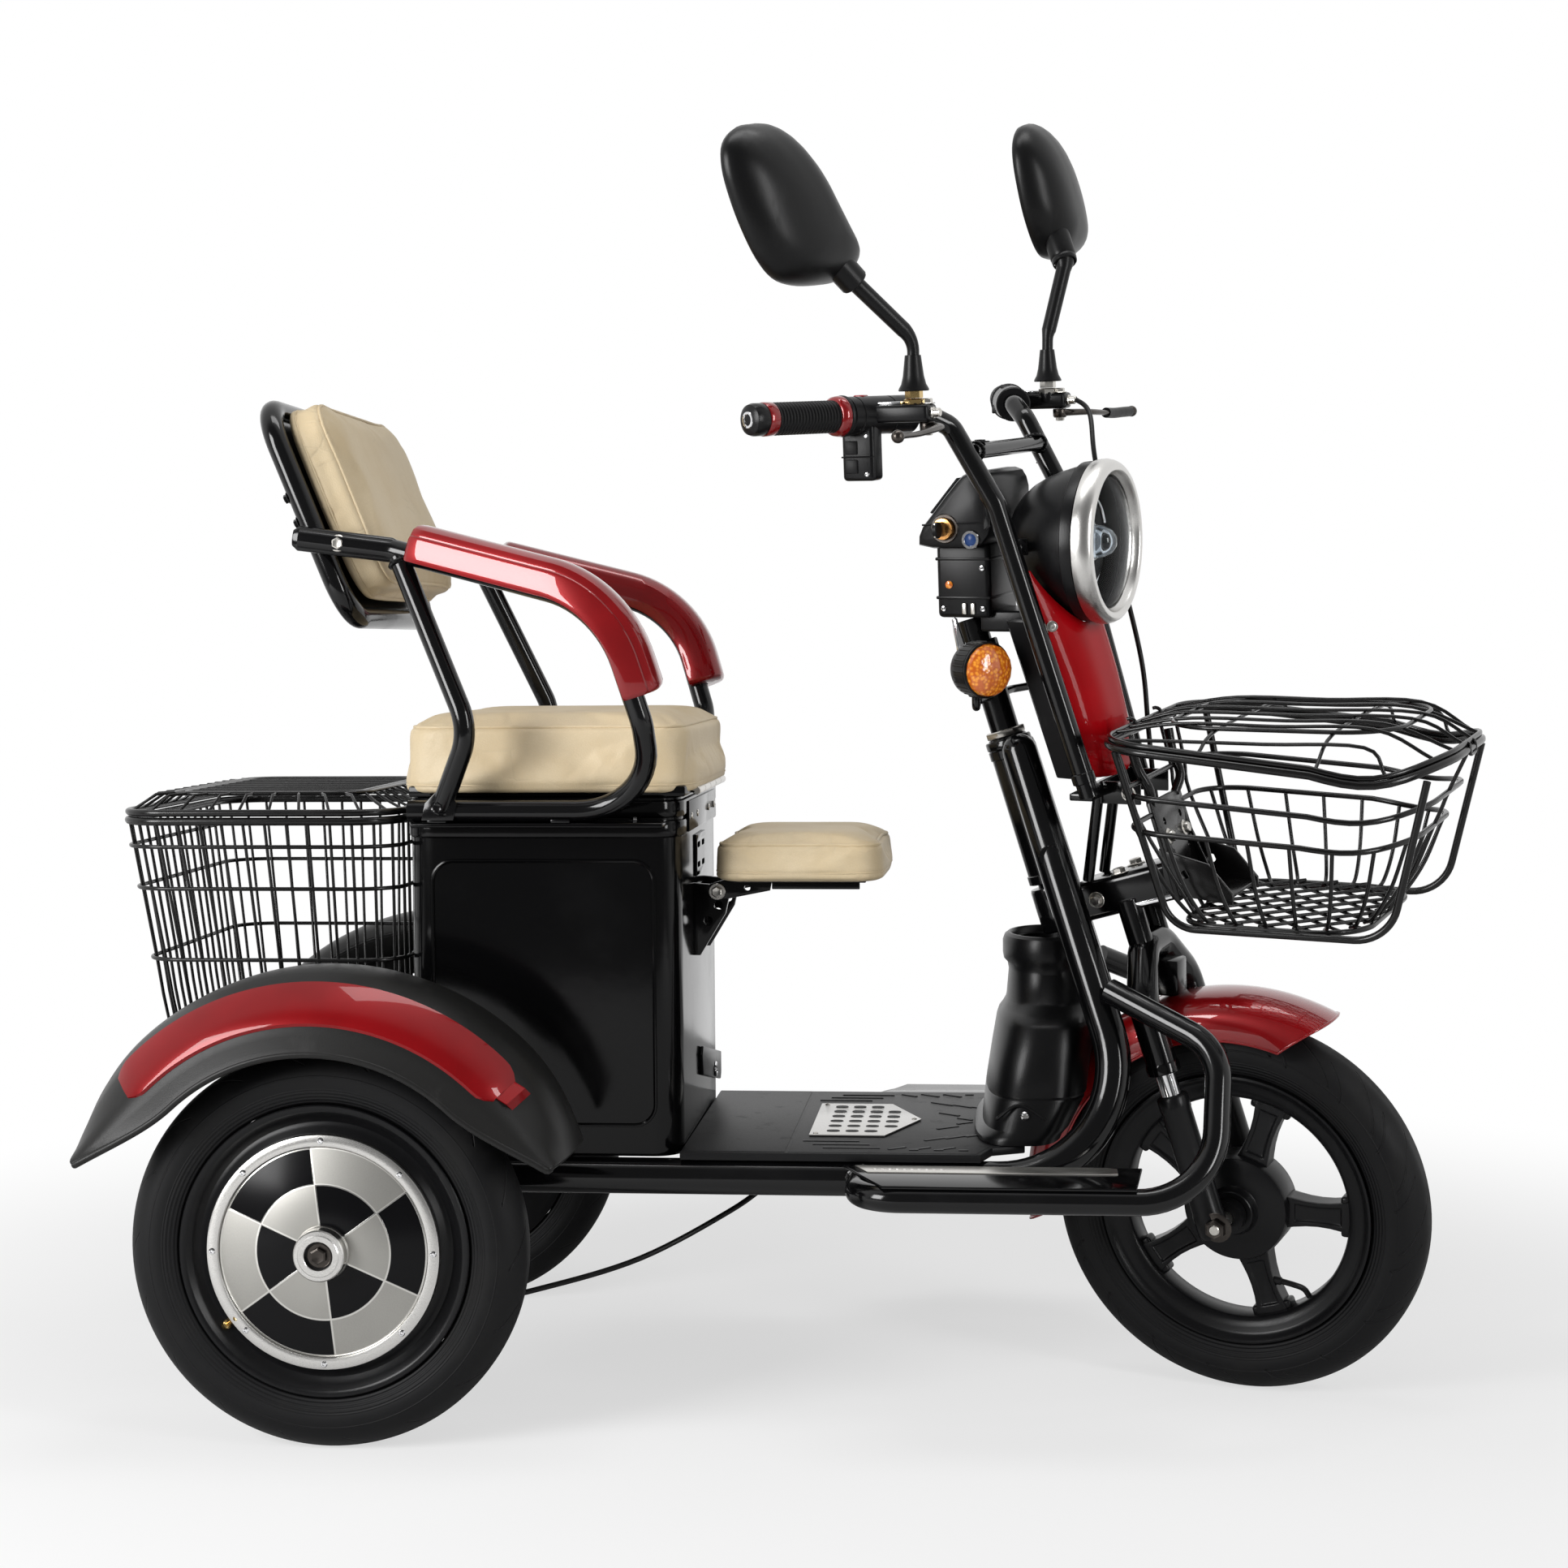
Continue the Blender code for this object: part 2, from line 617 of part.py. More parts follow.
def build_bucket():
    """Open bucket moulded over the foot of the steering head, hollowed in front where the wheel swings."""
    base = FLOOR_TOP + GAP
    rows = [(base, 0.652, 0.748, 0.143, 0.62),
            (base + 0.005, 0.652, 0.750, 0.143, 0.62),
            (base + 0.014, 0.660, 0.758, 0.140, 0.62),
            (0.334, 0.664, 0.776, 0.138, 0.65),
            (0.408, 0.6765, 0.785, 0.122, 0.75),
            (0.426, 0.6865, 0.782, 0.084, 0.85),
            (0.460, 0.6895, 0.774, 0.066, 0.9),
            (0.468, 0.683, 0.779, 0.071, 1.0),
            (0.490, 0.683, 0.780, 0.072, 1.0),
            (0.497, 0.690, 0.773, 0.065, 1.0),
            (0.488, 0.694, 0.769, 0.060, 1.0),
            (0.455, 0.695, 0.766, 0.057, 1.0),
            (0.378, 0.682, 0.712, 0.040, 1.0)]
    shell = loft([bucket_ring(*row) for row in rows])
    swing = [(0.0, -0.318), (0.058, -0.318), (0.063, -0.335), (0.093, -0.377),
             (0.126, -0.426), (0.151, -0.483), (0.156, -0.620), (0.0, -0.620)]
    finish(cut(shell, [turned(swing, STEER_BASE, U_DIR, 32, closed=False)]), "storage_bucket", "plastic_black")


def build_seat_box():
    """Steel box under the seat, open at the top, with side lips and the child seat's hinge plates."""
    centre = ((BOX_REAR + BOX_FRONT) / 2, 0.0)
    half_x = (BOX_FRONT - BOX_REAR) / 2
    bottom = RAIL_Z + MAIN_TUBE_R + GAP
    walls = rounded_outline(half_x, BOX_HALF, BOX_CORNER, centre)
    collar = rounded_outline(half_x + 0.003, BOX_HALF + 0.003, BOX_CORNER + 0.003, centre)
    pieces = [prism(walls, bottom, BOX_TOP, "XY"), prism(collar, BOX_TOP - 0.043, BOX_TOP - 0.004, "XY")]
    for side in (-1, 1):
        edges = sorted((side * (BOX_HALF - 0.001), side * LIP_HALF))
        pieces.append(box((BOX_REAR + 0.015, edges[0], LIP_TOP - LIP_T), (BOX_FRONT - 0.010, edges[1], LIP_TOP)))
    for y in (-0.045, 0.045):
        outline = [(BOX_FRONT - 0.001, 0.474), (BOX_FRONT + 0.010, 0.474), (CHILD_PIVOT.x + 0.008, 0.530),
                   (CHILD_PIVOT.x + 0.008, 0.5535), (BOX_FRONT - 0.001, 0.5535)]
        pieces.append(prism(outline, y - 0.005, y + 0.005))
    pieces.append(rod(CHILD_PIVOT - Y_DIR * 0.062, CHILD_PIVOT + Y_DIR * 0.062, 0.004, sides=12))
    whole = weld(pieces)
    room = prism(rounded_outline(half_x - BOX_WALL, BOX_HALF - BOX_WALL, BOX_CORNER - BOX_WALL, centre),
                 bottom + BOX_WALL, BOX_TOP + 0.02, "XY")
    whole = cut(whole, [room])
    finish(whole, "seat_box", "box_black")
    floor = bottom + BOX_WALL + GAP
    battery = box((0.085, -0.140, floor), (0.315, 0.140, floor + 0.170), 0.006, 1)
    controller = box((0.120, -0.055, floor + 0.160), (0.280, 0.055, floor + 0.215), 0.004, 1)
    finish(weld([battery, controller]), "battery_pack", "battery")


def build_seat():
    """Seat pan with its front hinge, and the seat cushion on it."""
    low = BOX_TOP + GAP
    pan = box((SEAT_REAR + 0.014, -SEAT_HALF + 0.014, low),
              (SEAT_FRONT - 0.008, SEAT_HALF - 0.014, low + PAN_T), 0.003, 1)
    hinge = Vector((SEAT_FRONT - 0.003, 0.0, low + 0.004))
    knuckle = rod(hinge - Y_DIR * 0.120, hinge + Y_DIR * 0.120, 0.0045, sides=12)
    leaf = box((SEAT_FRONT - 0.020, -0.120, low + 0.002), (hinge.x, 0.120, low + 0.006))
    pan = weld([pan, leaf, knuckle])
    finish(pan, "seat_pan", "plastic_black", origin=hinge)
    pad = cushion((SEAT_FRONT - SEAT_REAR) / 2, SEAT_HALF, SEAT_H - 0.006, 0.045, 0.006, 0.004, (7, 8, 3))
    put(pad, Matrix.Translation(((SEAT_FRONT + SEAT_REAR) / 2, 0.0, low + PAN_T + GAP)))
    finish(pad, "seat_cushion", "leather", origin=hinge, angle=60)


def arm_corners(side):
    """Corners of the armrest tube: from the backrest forward, down in front and back along the box's lip."""
    height = LIP_TOP + GAP + ARM_TUBE_R
    low_y = side * (BOX_HALF + 0.035)
    high_y = BACK_HALF + BACK_TUBE_R + ARM_TUBE_R - 2 * GAP
    corners = [(-0.045, side * high_y, 0.928), (0.055, side * high_y, 0.9145), (0.285, side * 0.283, 0.855),
               (0.3215, side * 0.262, 0.735), (0.326, low_y, height), (0.066, low_y, height)]
    return [Vector(corner) for corner in corners]


def build_armrests():
    """Armrest tube with its rear strut, and the moulded red pad over it, on each side."""
    for side, word in ((-1, "right"), (1, "left")):
        height = LIP_TOP + GAP + ARM_TUBE_R
        strut_path = [(0.060, side * 0.206, 0.907), (0.140, side * 0.245, 0.728),
                      (0.100, side * (BOX_HALF + 0.037), height)]
        strut = tube(filleted(strut_path, [0.050], 4), ARM_TUBE_R - 0.0005, 2)
        corners = arm_corners(side)
        loop = tube(filleted(corners, [0.05, 0.10, 0.04, 0.078], 4), ARM_TUBE_R, 2)
        finish(weld([loop, strut]), "armrest_frame_" + word, "frame_black")
        sections = []
        steps = 7
        ends = [corners[1].lerp(corners[2], 0.13), corners[2].lerp(corners[3], 0.717)]
        spine = filleted([ends[0], corners[2], ends[1]], [0.10], 4)
        for i, place in enumerate(spine):
            ahead = spine[min(i + 1, len(spine) - 1)] - spine[max(i - 1, 0)]
            ahead.normalize()
            across = Y_DIR - ahead * ahead.y
            across.normalize()
            up = ahead.cross(across)
            section = []
            for k in range(steps):
                angle = math.radians(-18 + 216 * k / (steps - 1))
                high = 0.032 if math.sin(angle) > 0 else 0.027
                section.append(place + across * (0.027 * math.cos(angle)) + up * (0.002 + high * math.sin(angle)))
            for k in range(steps):
                angle = math.radians(198 - 216 * k / (steps - 1))
                inner = ARM_TUBE_R + 4 * GAP
                section.append(place + across * (inner * math.cos(angle)) + up * (inner * math.sin(angle)))
            sections.append(section)
        finish(loft(sections), "armrest_pad_" + word, "paint_red", angle=50)


def build_backrest():
    """Leaning tube loop with a back plate, and the backrest cushion in front of it."""
    corners = rounded_outline(BACK_H / 2, BACK_HALF, 0.045, (BACK_H / 2, 0.0), 3)
    loop = tube([back_point(up, side, 0.0) for up, side in corners], BACK_TUBE_R, 2, closed=True)
    plate = loft([[back_point(up, side, out) for up, side in corners] for out in (-0.003, 0.003)])
    pieces = [loop, plate]
    for side in (-0.080, 0.080):
        middle = back_point(BACK_H / 2, side, 0.0)
        pieces.append(rod(middle, back_point(BACK_H / 2, side, BACK_TUBE_R), 0.014, sides=10))
    finish(weld(pieces), "backrest_frame", "frame_black")
    half = BACK_H / 2 - 0.004
    pad = cushion(half, BACK_HALF - 0.006, BACK_CUSHION_T - 0.006, 0.045, 0.006, 0.004, (6, 8, 3))
    turn = Matrix((BACK_UP, -Y_DIR, BACK_OUT)).transposed().to_4x4()
    if turn.determinant() < 0:
        turn = Matrix((BACK_UP, Y_DIR, BACK_OUT)).transposed().to_4x4()
    put(pad, Matrix.Translation(back_point(BACK_H / 2 + 0.004, 0.0, BACK_TUBE_R + GAP)) @ turn)
    shape = bmesh.new()
    shape.from_mesh(pad.data)
    bmesh.ops.recalc_face_normals(shape, faces=shape.faces)
    shape.to_mesh(pad.data)
    shape.free()
    finish(pad, "backrest_cushion", "leather", angle=60)


def build_child_seat():
    """Small folding seat on the box's front: hinged bracket and cushion."""
    top = CHILD_PIVOT.z + 0.0145
    plate = box((CHILD_PIVOT.x + 0.012, -0.0605, top - 0.0045), (0.535, 0.0605, top), 0.0)
    pieces = [plate]
    for side in (-1, 1):
        inner = side * (0.050 + GAP)
        outer = side * 0.0565
        outline = [(CHILD_PIVOT.x - 0.008, CHILD_PIVOT.z - 0.008), (CHILD_PIVOT.x + 0.012, CHILD_PIVOT.z - 0.008),
                   (CHILD_PIVOT.x + 0.060, top - 0.003), (CHILD_PIVOT.x + 0.012, top - 0.001),
                   (CHILD_PIVOT.x - 0.008, CHILD_PIVOT.z + 0.008)]
        pieces.append(prism(outline, min(inner, outer), max(inner, outer)))
    whole = weld(pieces)
    pin = rod(CHILD_PIVOT - Y_DIR * 0.08, CHILD_PIVOT + Y_DIR * 0.08, 0.004 + GAP, sides=12)
    finish(cut(whole, [pin]), "child_seat_bracket", "frame_black", origin=CHILD_PIVOT)
    pad = cushion(0.096, 0.115, 0.048, 0.035, 0.005, 0.002, (6, 6, 3))
    put(pad, Matrix.Translation((0.4650, 0.0, top + GAP)))
    finish(pad, "child_seat_cushion", "leather", origin=CHILD_PIVOT, angle=60)


def ring_of(half_x, half_y, corner, centre_x, z, count, front_corner=None):
    """Points at equal steps round a rounded rectangle, from the middle of its front side."""
    outline = rounded_outline(half_x, half_y, corner, (centre_x, 0.0), 6)
    if front_corner:
        ahead = rounded_outline(half_x, half_y, front_corner, (centre_x, 0.0), 6)
        outline = [p for p in outline if p[0] < centre_x] + [p for p in ahead if p[0] > centre_x]
    points = [Vector((x, y, z)) for x, y in outline]
    order = sorted(points, key=lambda p: math.atan2(p.y, p.x - centre_x) % (2 * math.pi))
    front = Vector((centre_x + half_x, 0.0, z))
    loop = [front] + order + [front]
    lengths = [0.0]
    for a, b in zip(loop, loop[1:]):
        lengths.append(lengths[-1] + (b - a).length)
    ring = []
    for i in range(count):
        want = lengths[-1] * i / count
        k = max(j for j in range(len(lengths) - 1) if lengths[j] <= want + 1e-9)
        share = (want - lengths[k]) / max(lengths[k + 1] - lengths[k], 1e-9)
        ring.append(loop[k].lerp(loop[k + 1], share))
    return ring


def lattice(rings, strides, rim, wire, chords=1):
    """Wires along a cage: a thick first ring, thinner rings and uprights, and wires across the last ring."""
    shape = bmesh.new()
    rows = [[shape.verts.new(p) for p in ring] for ring in rings]
    count = len(rows[0])
    for upper, lower, stride in zip(rows, rows[1:], strides):
        for i in range(0, count, stride):
            along = [upper[(i + k) % count] for k in range(stride + 1)]
            back = [lower[(i + k) % count] for k in range(stride, -1, -1)]
            shape.faces.new(along + back)
    last = rows[-1]
    for i in range(0, count // 2, chords):
        j = min(i + chords, count // 2)
        near = [last[k] for k in range(i, j + 1)]
        far = [last[(count - k) % count] for k in range(j, i - 1, -1)]
        ring = []
        for vert in near + far:
            if vert not in ring:
                ring.append(vert)
        if len(ring) > 2:
            shape.faces.new(ring)
    thick = [tuple(v.co) for v in rows[0]]
    made = object_from("lattice", shape)
    group = made.vertex_groups.new(name="thickness")
    for vert in made.data.vertices:
        on_rim = any((vert.co - Vector(p)).length < WELD_GAP for p in thick)
        group.add([vert.index], 1.0 if on_rim else wire / rim, "REPLACE")
    wires = made.modifiers.new("wires", "WIREFRAME")
    wires.vertex_group = "thickness"
    wires.thickness = rim
    wires.use_boundary = True
    wires.use_even_offset = False
    wires.use_replace = True
    return baked(made)


def build_rear_basket():
    """Wire basket behind the seat box, and its hinged wire lid."""
    centre = -0.1018
    count = 16
    rings = [ring_of(0.149, 0.200, 0.05, centre, 0.6320, count),
             ring_of(0.144, 0.190, 0.05, centre + 0.003, 0.560, count),
             ring_of(0.138, 0.178, 0.045, centre + 0.008, 0.483, count),
             ring_of(0.131, 0.165, 0.04, centre + 0.014, 0.398, count)]
    finish(lattice(rings, [2, 2, 1], 0.0090, 0.0050, 2), "rear_basket", "wire_black")
    lid_z = 0.6320 + 0.0086 + GAP
    frame_ring = ring_of(0.149, 0.200, 0.05, centre, lid_z, count)
    high = [Vector((centre + (p.x - centre) * 0.72, p.y * 0.78, lid_z + 0.018)) for p in frame_ring]
    hinge = Vector((centre + 0.149, 0.0, lid_z))
    finish(lattice([frame_ring, high], [2], 0.0085, 0.0050, 2), "rear_basket_lid", "wire_black", origin=hinge)


def guard_section(angle, offset=0.0, span=(0.0, 1.0)):
    """One cross-section of a rear mudguard at an angle round the wheel, from inside to its outer lip."""
    rows = [(GUARD_R - 0.016, GUARD_IN), (GUARD_R, GUARD_IN + 0.030), (GUARD_R, 0.300),
            (GUARD_R - 0.014, 0.335), (GUARD_R - 0.047, GUARD_OUT - 0.010),
            (GUARD_R - 0.068, GUARD_OUT - 0.006), (GUARD_R - 0.077, GUARD_OUT)]
    tip = max(0.0, abs(math.degrees(angle) - 90.0) - 42.0) / 26.0
    section = []
    for radius, y in rows:
        high = (radius - GUARD_R + 0.077) / 0.077
        reach = radius + tip * tip * (0.050 * (1 - high) - 0.012 * high) + offset
        section.append((reach * math.cos(angle), y, WHEEL_R + reach * math.sin(angle)))
    return section


def build_mudguards():
    """Grey rear mudguards and the red band on each, right and left."""
    sections = []
    for step in range(12):
        sections.append(guard_section(math.radians(22.0 + 136.0 * step / 11)))
    shell = loft(sections, -GUARD_WALL, closed_rings=False, caps=False)
    right = mirrored(shell)
    finish(shell, "rear_mudguard_left", "plastic_grey", angle=35)
    finish(right, "rear_mudguard_right", "plastic_grey", angle=35)
    bands = []
    for step in range(11):
        rows = guard_section(math.radians(43.0 + 95.0 * step / 10), GAP + 0.0006)
        shift = Vector((0, GAP + 0.0006, 0))
        bands.append([Vector(rows[3]) + shift, Vector(rows[4]) + shift])
    band = loft(bands, 0.003, closed_rings=False, caps=False)
    right = mirrored(band)
    finish(band, "mudguard_band_left", "paint_red", angle=35)
    finish(right, "mudguard_band_right", "paint_red", angle=35)


def tyre(centre, axis):
    """A solid-section tyre: flat-crowned tread, rounded shoulders, beads on the rim."""
    half = TYRE_W / 2
    inner = RIM_R + GAP
    side = [(inner, 0.024), (0.172, half), (0.194, 0.0265), (WHEEL_R, TREAD_HALF)]
    profile = side + [(r, -h) for r, h in reversed(side)]
    return turned(profile, centre, axis)


def build_rear_wheels():
    """Hub motor wheel with its tyre and outer cover, on each rear axle pin."""
    for side, word in ((-1, "right"), (1, "left")):
        centre = Vector((0.0, side * TRACK_HALF, WHEEL_R))
        out = Y_DIR * side
        bore = AXLE_PIN_R + GAP
        finish(tyre(centre, out), "rear_tyre_" + word, "tyre", origin=centre)
        profile = [(bore, MOTOR_OUT), (0.118, MOTOR_OUT), (0.127, 0.018), (0.142, 0.029), (RIM_R, 0.029),
                   (RIM_R, -0.029), (0.100, -MOTOR_IN), (bore, -MOTOR_IN)]
        finish(turned(profile, centre, out), "hub_motor_" + word, "plastic_black", origin=centre)
        base = MOTOR_OUT + GAP
        nose = MOTOR_OUT + NOSE_LEN + 0.004
        profile = [(0.0, nose), (NOSE_R - 0.002, nose), (NOSE_R, base + 0.0045),
                   (0.104, base + 0.003), (0.108, base + 0.006), (COVER_R - 0.001, base + 0.006),
                   (COVER_R, base), (bore, base), (bore, nose - 0.003), (0.0, nose - 0.003)]
        cover = turned(profile, centre, out, 20)
        finish(cover, "motor_cover_" + word, "silver", origin=centre)


def build_front_wheel(pivot):
    """Cast five-spoke wheel with a drum hub, its tyre and the axle's part in the fork."""
    centre = FRONT_AXLE
    finish(tyre(centre, Y_DIR), "front_tyre", "tyre", pivot, centre)
    ring = [(RIM_R, 0.029), (0.141, 0.029), (HUB_OPEN_R, 0.018), (HUB_OPEN_R, -0.018), (0.141, -0.029), (RIM_R, -0.029)]
    pieces = [turned(ring, centre, Y_DIR)]
    pieces.append(rod(centre - Y_DIR * 0.026, centre + Y_DIR * 0.026, DRUM_R, sides=18))
    pieces.append(rod(centre - Y_DIR * 0.038, centre + Y_DIR * 0.038, 0.024, sides=10))
    for k in range(SPOKES):
        turn = Matrix.Translation(centre) @ Matrix.Rotation(2 * math.pi * (k + 0.25) / SPOKES, 4, "Y")
        arm = box((-0.014, -0.011, DRUM_R - 0.012), (0.014, 0.011, HUB_OPEN_R + 0.008))
        pieces.append(put(arm, turn))
    wheel = weld(pieces)
    wheel = cut(wheel, [rod(centre - Y_DIR * 0.06, centre + Y_DIR * 0.06, FRONT_PIN_R + GAP, sides=16)])
    finish(wheel, "front_wheel", "plastic_black", pivot, centre)


def build_fork(pivot):
    """Lower bracket, twin stems, arched crown and rods; and the sliders with axle that ride on the rods."""
    arch = [steer_point(LEG_OFFSET, side, up) for side, up in (
        (-LEG_Y, -0.380), (-LEG_Y, -0.300), (-0.026, -0.252), (0.026, -0.252), (LEG_Y, -0.300), (LEG_Y, -0.380))]
    pieces = [tube(filleted(arch, [0.035, 0.030, 0.030, 0.035], 2), 0.017, 2)]
    for side in (-1, 1):
        stem = side * 0.027
        leg = side * LEG_Y
        low = steer_point(LEG_OFFSET, stem, -0.255)
        pieces.append(rod(low, steer_point(LEG_OFFSET, stem, -0.200), 0.0135, sides=14))
        low = steer_point(LEG_OFFSET, leg, -0.470)
        pieces.append(rod(low, steer_point(LEG_OFFSET, leg, -0.370), ROD_R, sides=12))
    block = box((0.030, -0.034, -0.209), (BASKET_REACH, 0.034, -0.167))
    collar = rod((0, 0, -0.188), (0, 0, -0.1625), 0.026, sides=16)
    neck = box((0.0, -0.024, -0.188), (0.040, 0.024, -0.1665))
    turn = Matrix.Translation(STEER_BASE) @ Matrix((F_DIR, Y_DIR, U_DIR)).transposed().to_4x4()
    pieces += [put(block, turn), put(collar, turn), put(neck, turn)]
    hanger = box((FRONT_AXLE.x - 0.092, -0.016, FRONT_AXLE.z + FENDER_R + GAP - 0.012),
                 (FRONT_AXLE.x - 0.062, 0.016, STEER_BASE.z - 0.229))
    pieces.append(hanger)
    crown = weld(pieces)
    bore = rod(steer_point(0, 0, -0.25), steer_point(0, 0, -0.10), COLUMN_R + GAP, sides=16)
    clear = rod(FRONT_AXLE - Y_DIR * 0.08, FRONT_AXLE + Y_DIR * 0.08, FENDER_R + GAP, sides=60)
    finish(cut(crown, [bore, clear]), "fork_crown", "frame_black", pivot)
    sliders = []
    for side in (-1, 1):
        foot = steer_point(LEG_OFFSET, side * LEG_Y, FORK_DROP - 0.012)
        sliders.append(rod(foot, steer_point(LEG_OFFSET, side * LEG_Y, -0.405), LEG_R, sides=14))
        nut = FRONT_AXLE + Y_DIR * side * (LEG_Y + LEG_R)
        sliders.append(rod(nut, nut + Y_DIR * side * 0.014, 0.011, sides=6))
    pin_half = LEG_Y + LEG_R + 0.005
    sliders.insert(1, rod(FRONT_AXLE - Y_DIR * pin_half, FRONT_AXLE + Y_DIR * pin_half, FRONT_PIN_R, sides=16))
    lower = weld([sliders[1], sliders[0], sliders[3], sliders[2], sliders[4]])
    holes = []
    for side in (-1, 1):
        foot = steer_point(LEG_OFFSET, side * LEG_Y, -0.500)
        holes.append(rod(foot, steer_point(LEG_OFFSET, side * LEG_Y, -0.380), ROD_R + GAP, sides=12))
    finish(cut(lower, holes), "fork_lower", "plastic_black", pivot)


def build_front_fender(pivot):
    """Red front mudguard: a domed band round the tyre, hung under the fork crown."""
    rows = [(FENDER_R - 0.046, FENDER_HALF), (FENDER_R - 0.022, FENDER_HALF - 0.003),
            (FENDER_R - 0.005, 0.034), (FENDER_R, 0.016)]
    rows = rows + [(r, -y) for r, y in reversed(rows)]
    sections = []
    for step in range(12):
        middle = 64.0 + 125.0 * step / 11
        section = []
        for radius, y in rows:
            angle = math.radians(middle + (9.0 * (FENDER_R - radius) / 0.046 if step == 0 else 0.0))
            section.append(FRONT_AXLE + Vector((radius * math.cos(angle), y, radius * math.sin(angle))))
        sections.append(section)
    finish(loft(sections, -0.0022, closed_rings=False, caps=False), "front_mudguard", "paint_red", pivot, angle=50)


def side_path(side):
    """Handlebar side tube, from its foot by the head up to the bend, then out along the grip."""
    points = [(0.812, side * 0.080, 0.663), (0.722, side * SIDE_Y, 0.9715), (0.676, side * 0.107, 1.054),
              (0.655, side * 0.128, GRIP_Z - 0.003), (0.563, side * 0.326, GRIP_Z)]
    return filleted(points, [0.06, 0.018, 0.022], 3)


def build_handlebar(pivot):
    """Two bent side tubes, the cross tube between them, the foot plate and the straps down to the fork."""
    right = tube(side_path(-1), BAR_R, 2)
    left = mirrored(right)
    pieces = [right, left, rod((0.697, -SIDE_Y, 1.027), (0.697, SIDE_Y, 1.027), 0.0085, sides=8)]
    foot = box((0.790, -0.084, 0.658), (0.816, 0.084, 0.666))
    pieces.append(foot)
    pieces.append(box((0.811, -0.050, 0.650), (0.8145, 0.050, 0.674)))
    for side in (-1, 1):
        pieces.append(box((0.812, side * 0.046 - 0.002, 0.650), (STRAP_END, side * 0.046 + 0.002, 0.674)))
    for side in (-1, 1):
        end = steer_point(0.052, side * 0.026, -0.167 + GAP)
        pieces.append(rod(end, (0.803, side * 0.026, 0.662), 0.006, sides=8))
    whole = weld(pieces)
    block = box((0.020, -0.045, -0.230), (0.150, 0.045, -0.167 + GAP))
    turn = Matrix.Translation(STEER_BASE) @ Matrix((F_DIR, Y_DIR, U_DIR)).transposed().to_4x4()
    finish(cut(whole, [put(block, turn)]), "handlebar", "frame_black", pivot)


def build_column(pivot):
    """Steering column with its bearing cap, clamp collar and the bar that carries the turn lamps."""
    pieces = [rod(steer_point(0, 0, -0.187), steer_point(0, 0, COLUMN_TOP), COLUMN_R, sides=16),
              rod(steer_point(0, 0, HEAD_TOP + GAP), steer_point(0, 0, 0.006), 0.0255, sides=16),
              rod(steer_point(0, 0, 0.085), steer_point(0, 0, 0.116), 0.0215, sides=16)]
    bar = [(0.6935, -0.100, 0.7688), (0.6935, -0.100, 0.757), (0.6745, -0.050, 0.757), (0.6745, 0.050, 0.757),
           (0.6935, 0.100, 0.757), (0.6935, 0.100, 0.7688)]
    pieces.append(tube(filleted(bar, [0.006, 0.02, 0.02, 0.006], 1), 0.0045, 1))
    bolt = steer_point(-0.012, 0, 0.100)
    pieces.append(rod(bolt - Y_DIR * 0.0225, bolt + Y_DIR * 0.026, 0.0045, sides=10))
    finish(weld(pieces), "steering_column", "frame_black", pivot)
    lever = [(bolt.x - 0.006, bolt.z - 0.007), (bolt.x + 0.006, bolt.z - 0.007), (bolt.x + 0.004, bolt.z + 0.010),
             (bolt.x - 0.007, bolt.z + 0.048), (bolt.x - 0.013, bolt.z + 0.046)]
    made = prism(lever, -0.0225 - GAP - 0.004, -0.0225 - GAP)
    finish(made, "stem_lever", "chrome", pivot, bolt)


def build_headlight(pivot):
    """Headlight bowl with side ears, bezel ring and lens."""
    centre = Vector((0.0, 0.0, 0.925))
    outer = [(0.0, 0.702), (0.034, 0.707), (0.064, 0.734), (0.0840, 0.797)]
    inner = [(r - 0.003 if r > 0.003 else 0.0, x + 0.003) for r, x in reversed(outer[:-1])]
    bowl = turned(outer + [(0.081, 0.797)] + inner, centre, (1, 0, 0), 20, closed=False)
    pieces = [bowl]
    for side in (-1, 1):
        outer_y = side * (0.0973 - BAR_R - 0.0012)
        pieces.append(rod((0.7365, side * 0.0625, 0.925), (0.7365, outer_y, 0.925), 0.007, sides=10))
    finish(weld(pieces), "headlight_bowl", "plastic_black", pivot)
    ring = [(0.0700, 0.7973), (0.0872, 0.7973), (0.0880, 0.808), (0.0830, 0.819), (0.0700, 0.820)]
    finish(turned(ring, centre, (1, 0, 0), 20), "headlight_bezel", "silver", pivot)
    lens = [(0.0, 0.800), (0.0695, 0.800), (0.0695, 0.812), (0.045, 0.820), (0.0, 0.824)]
    finish(turned(lens, centre, (1, 0, 0), 20, closed=False), "headlight_lens", "lens", pivot)


def side_tube_x(z):
    """How far forward the handlebar's side tubes are at a height."""
    return 0.722 + (0.9715 - z) / (0.9715 - 0.663) * 0.090


def shield_section(z, half, bulge, count=11):
    """A level slice of the leg shield: both edges just behind the side tubes, bulging forward between them."""
    points = []
    for i in range(count):
        side = math.sin(math.pi * (i / (count - 1) - 0.5))
        points.append(Vector((side_tube_x(z) - 0.008 + bulge * (1 - side ** 4), half * side, z)))
    return points


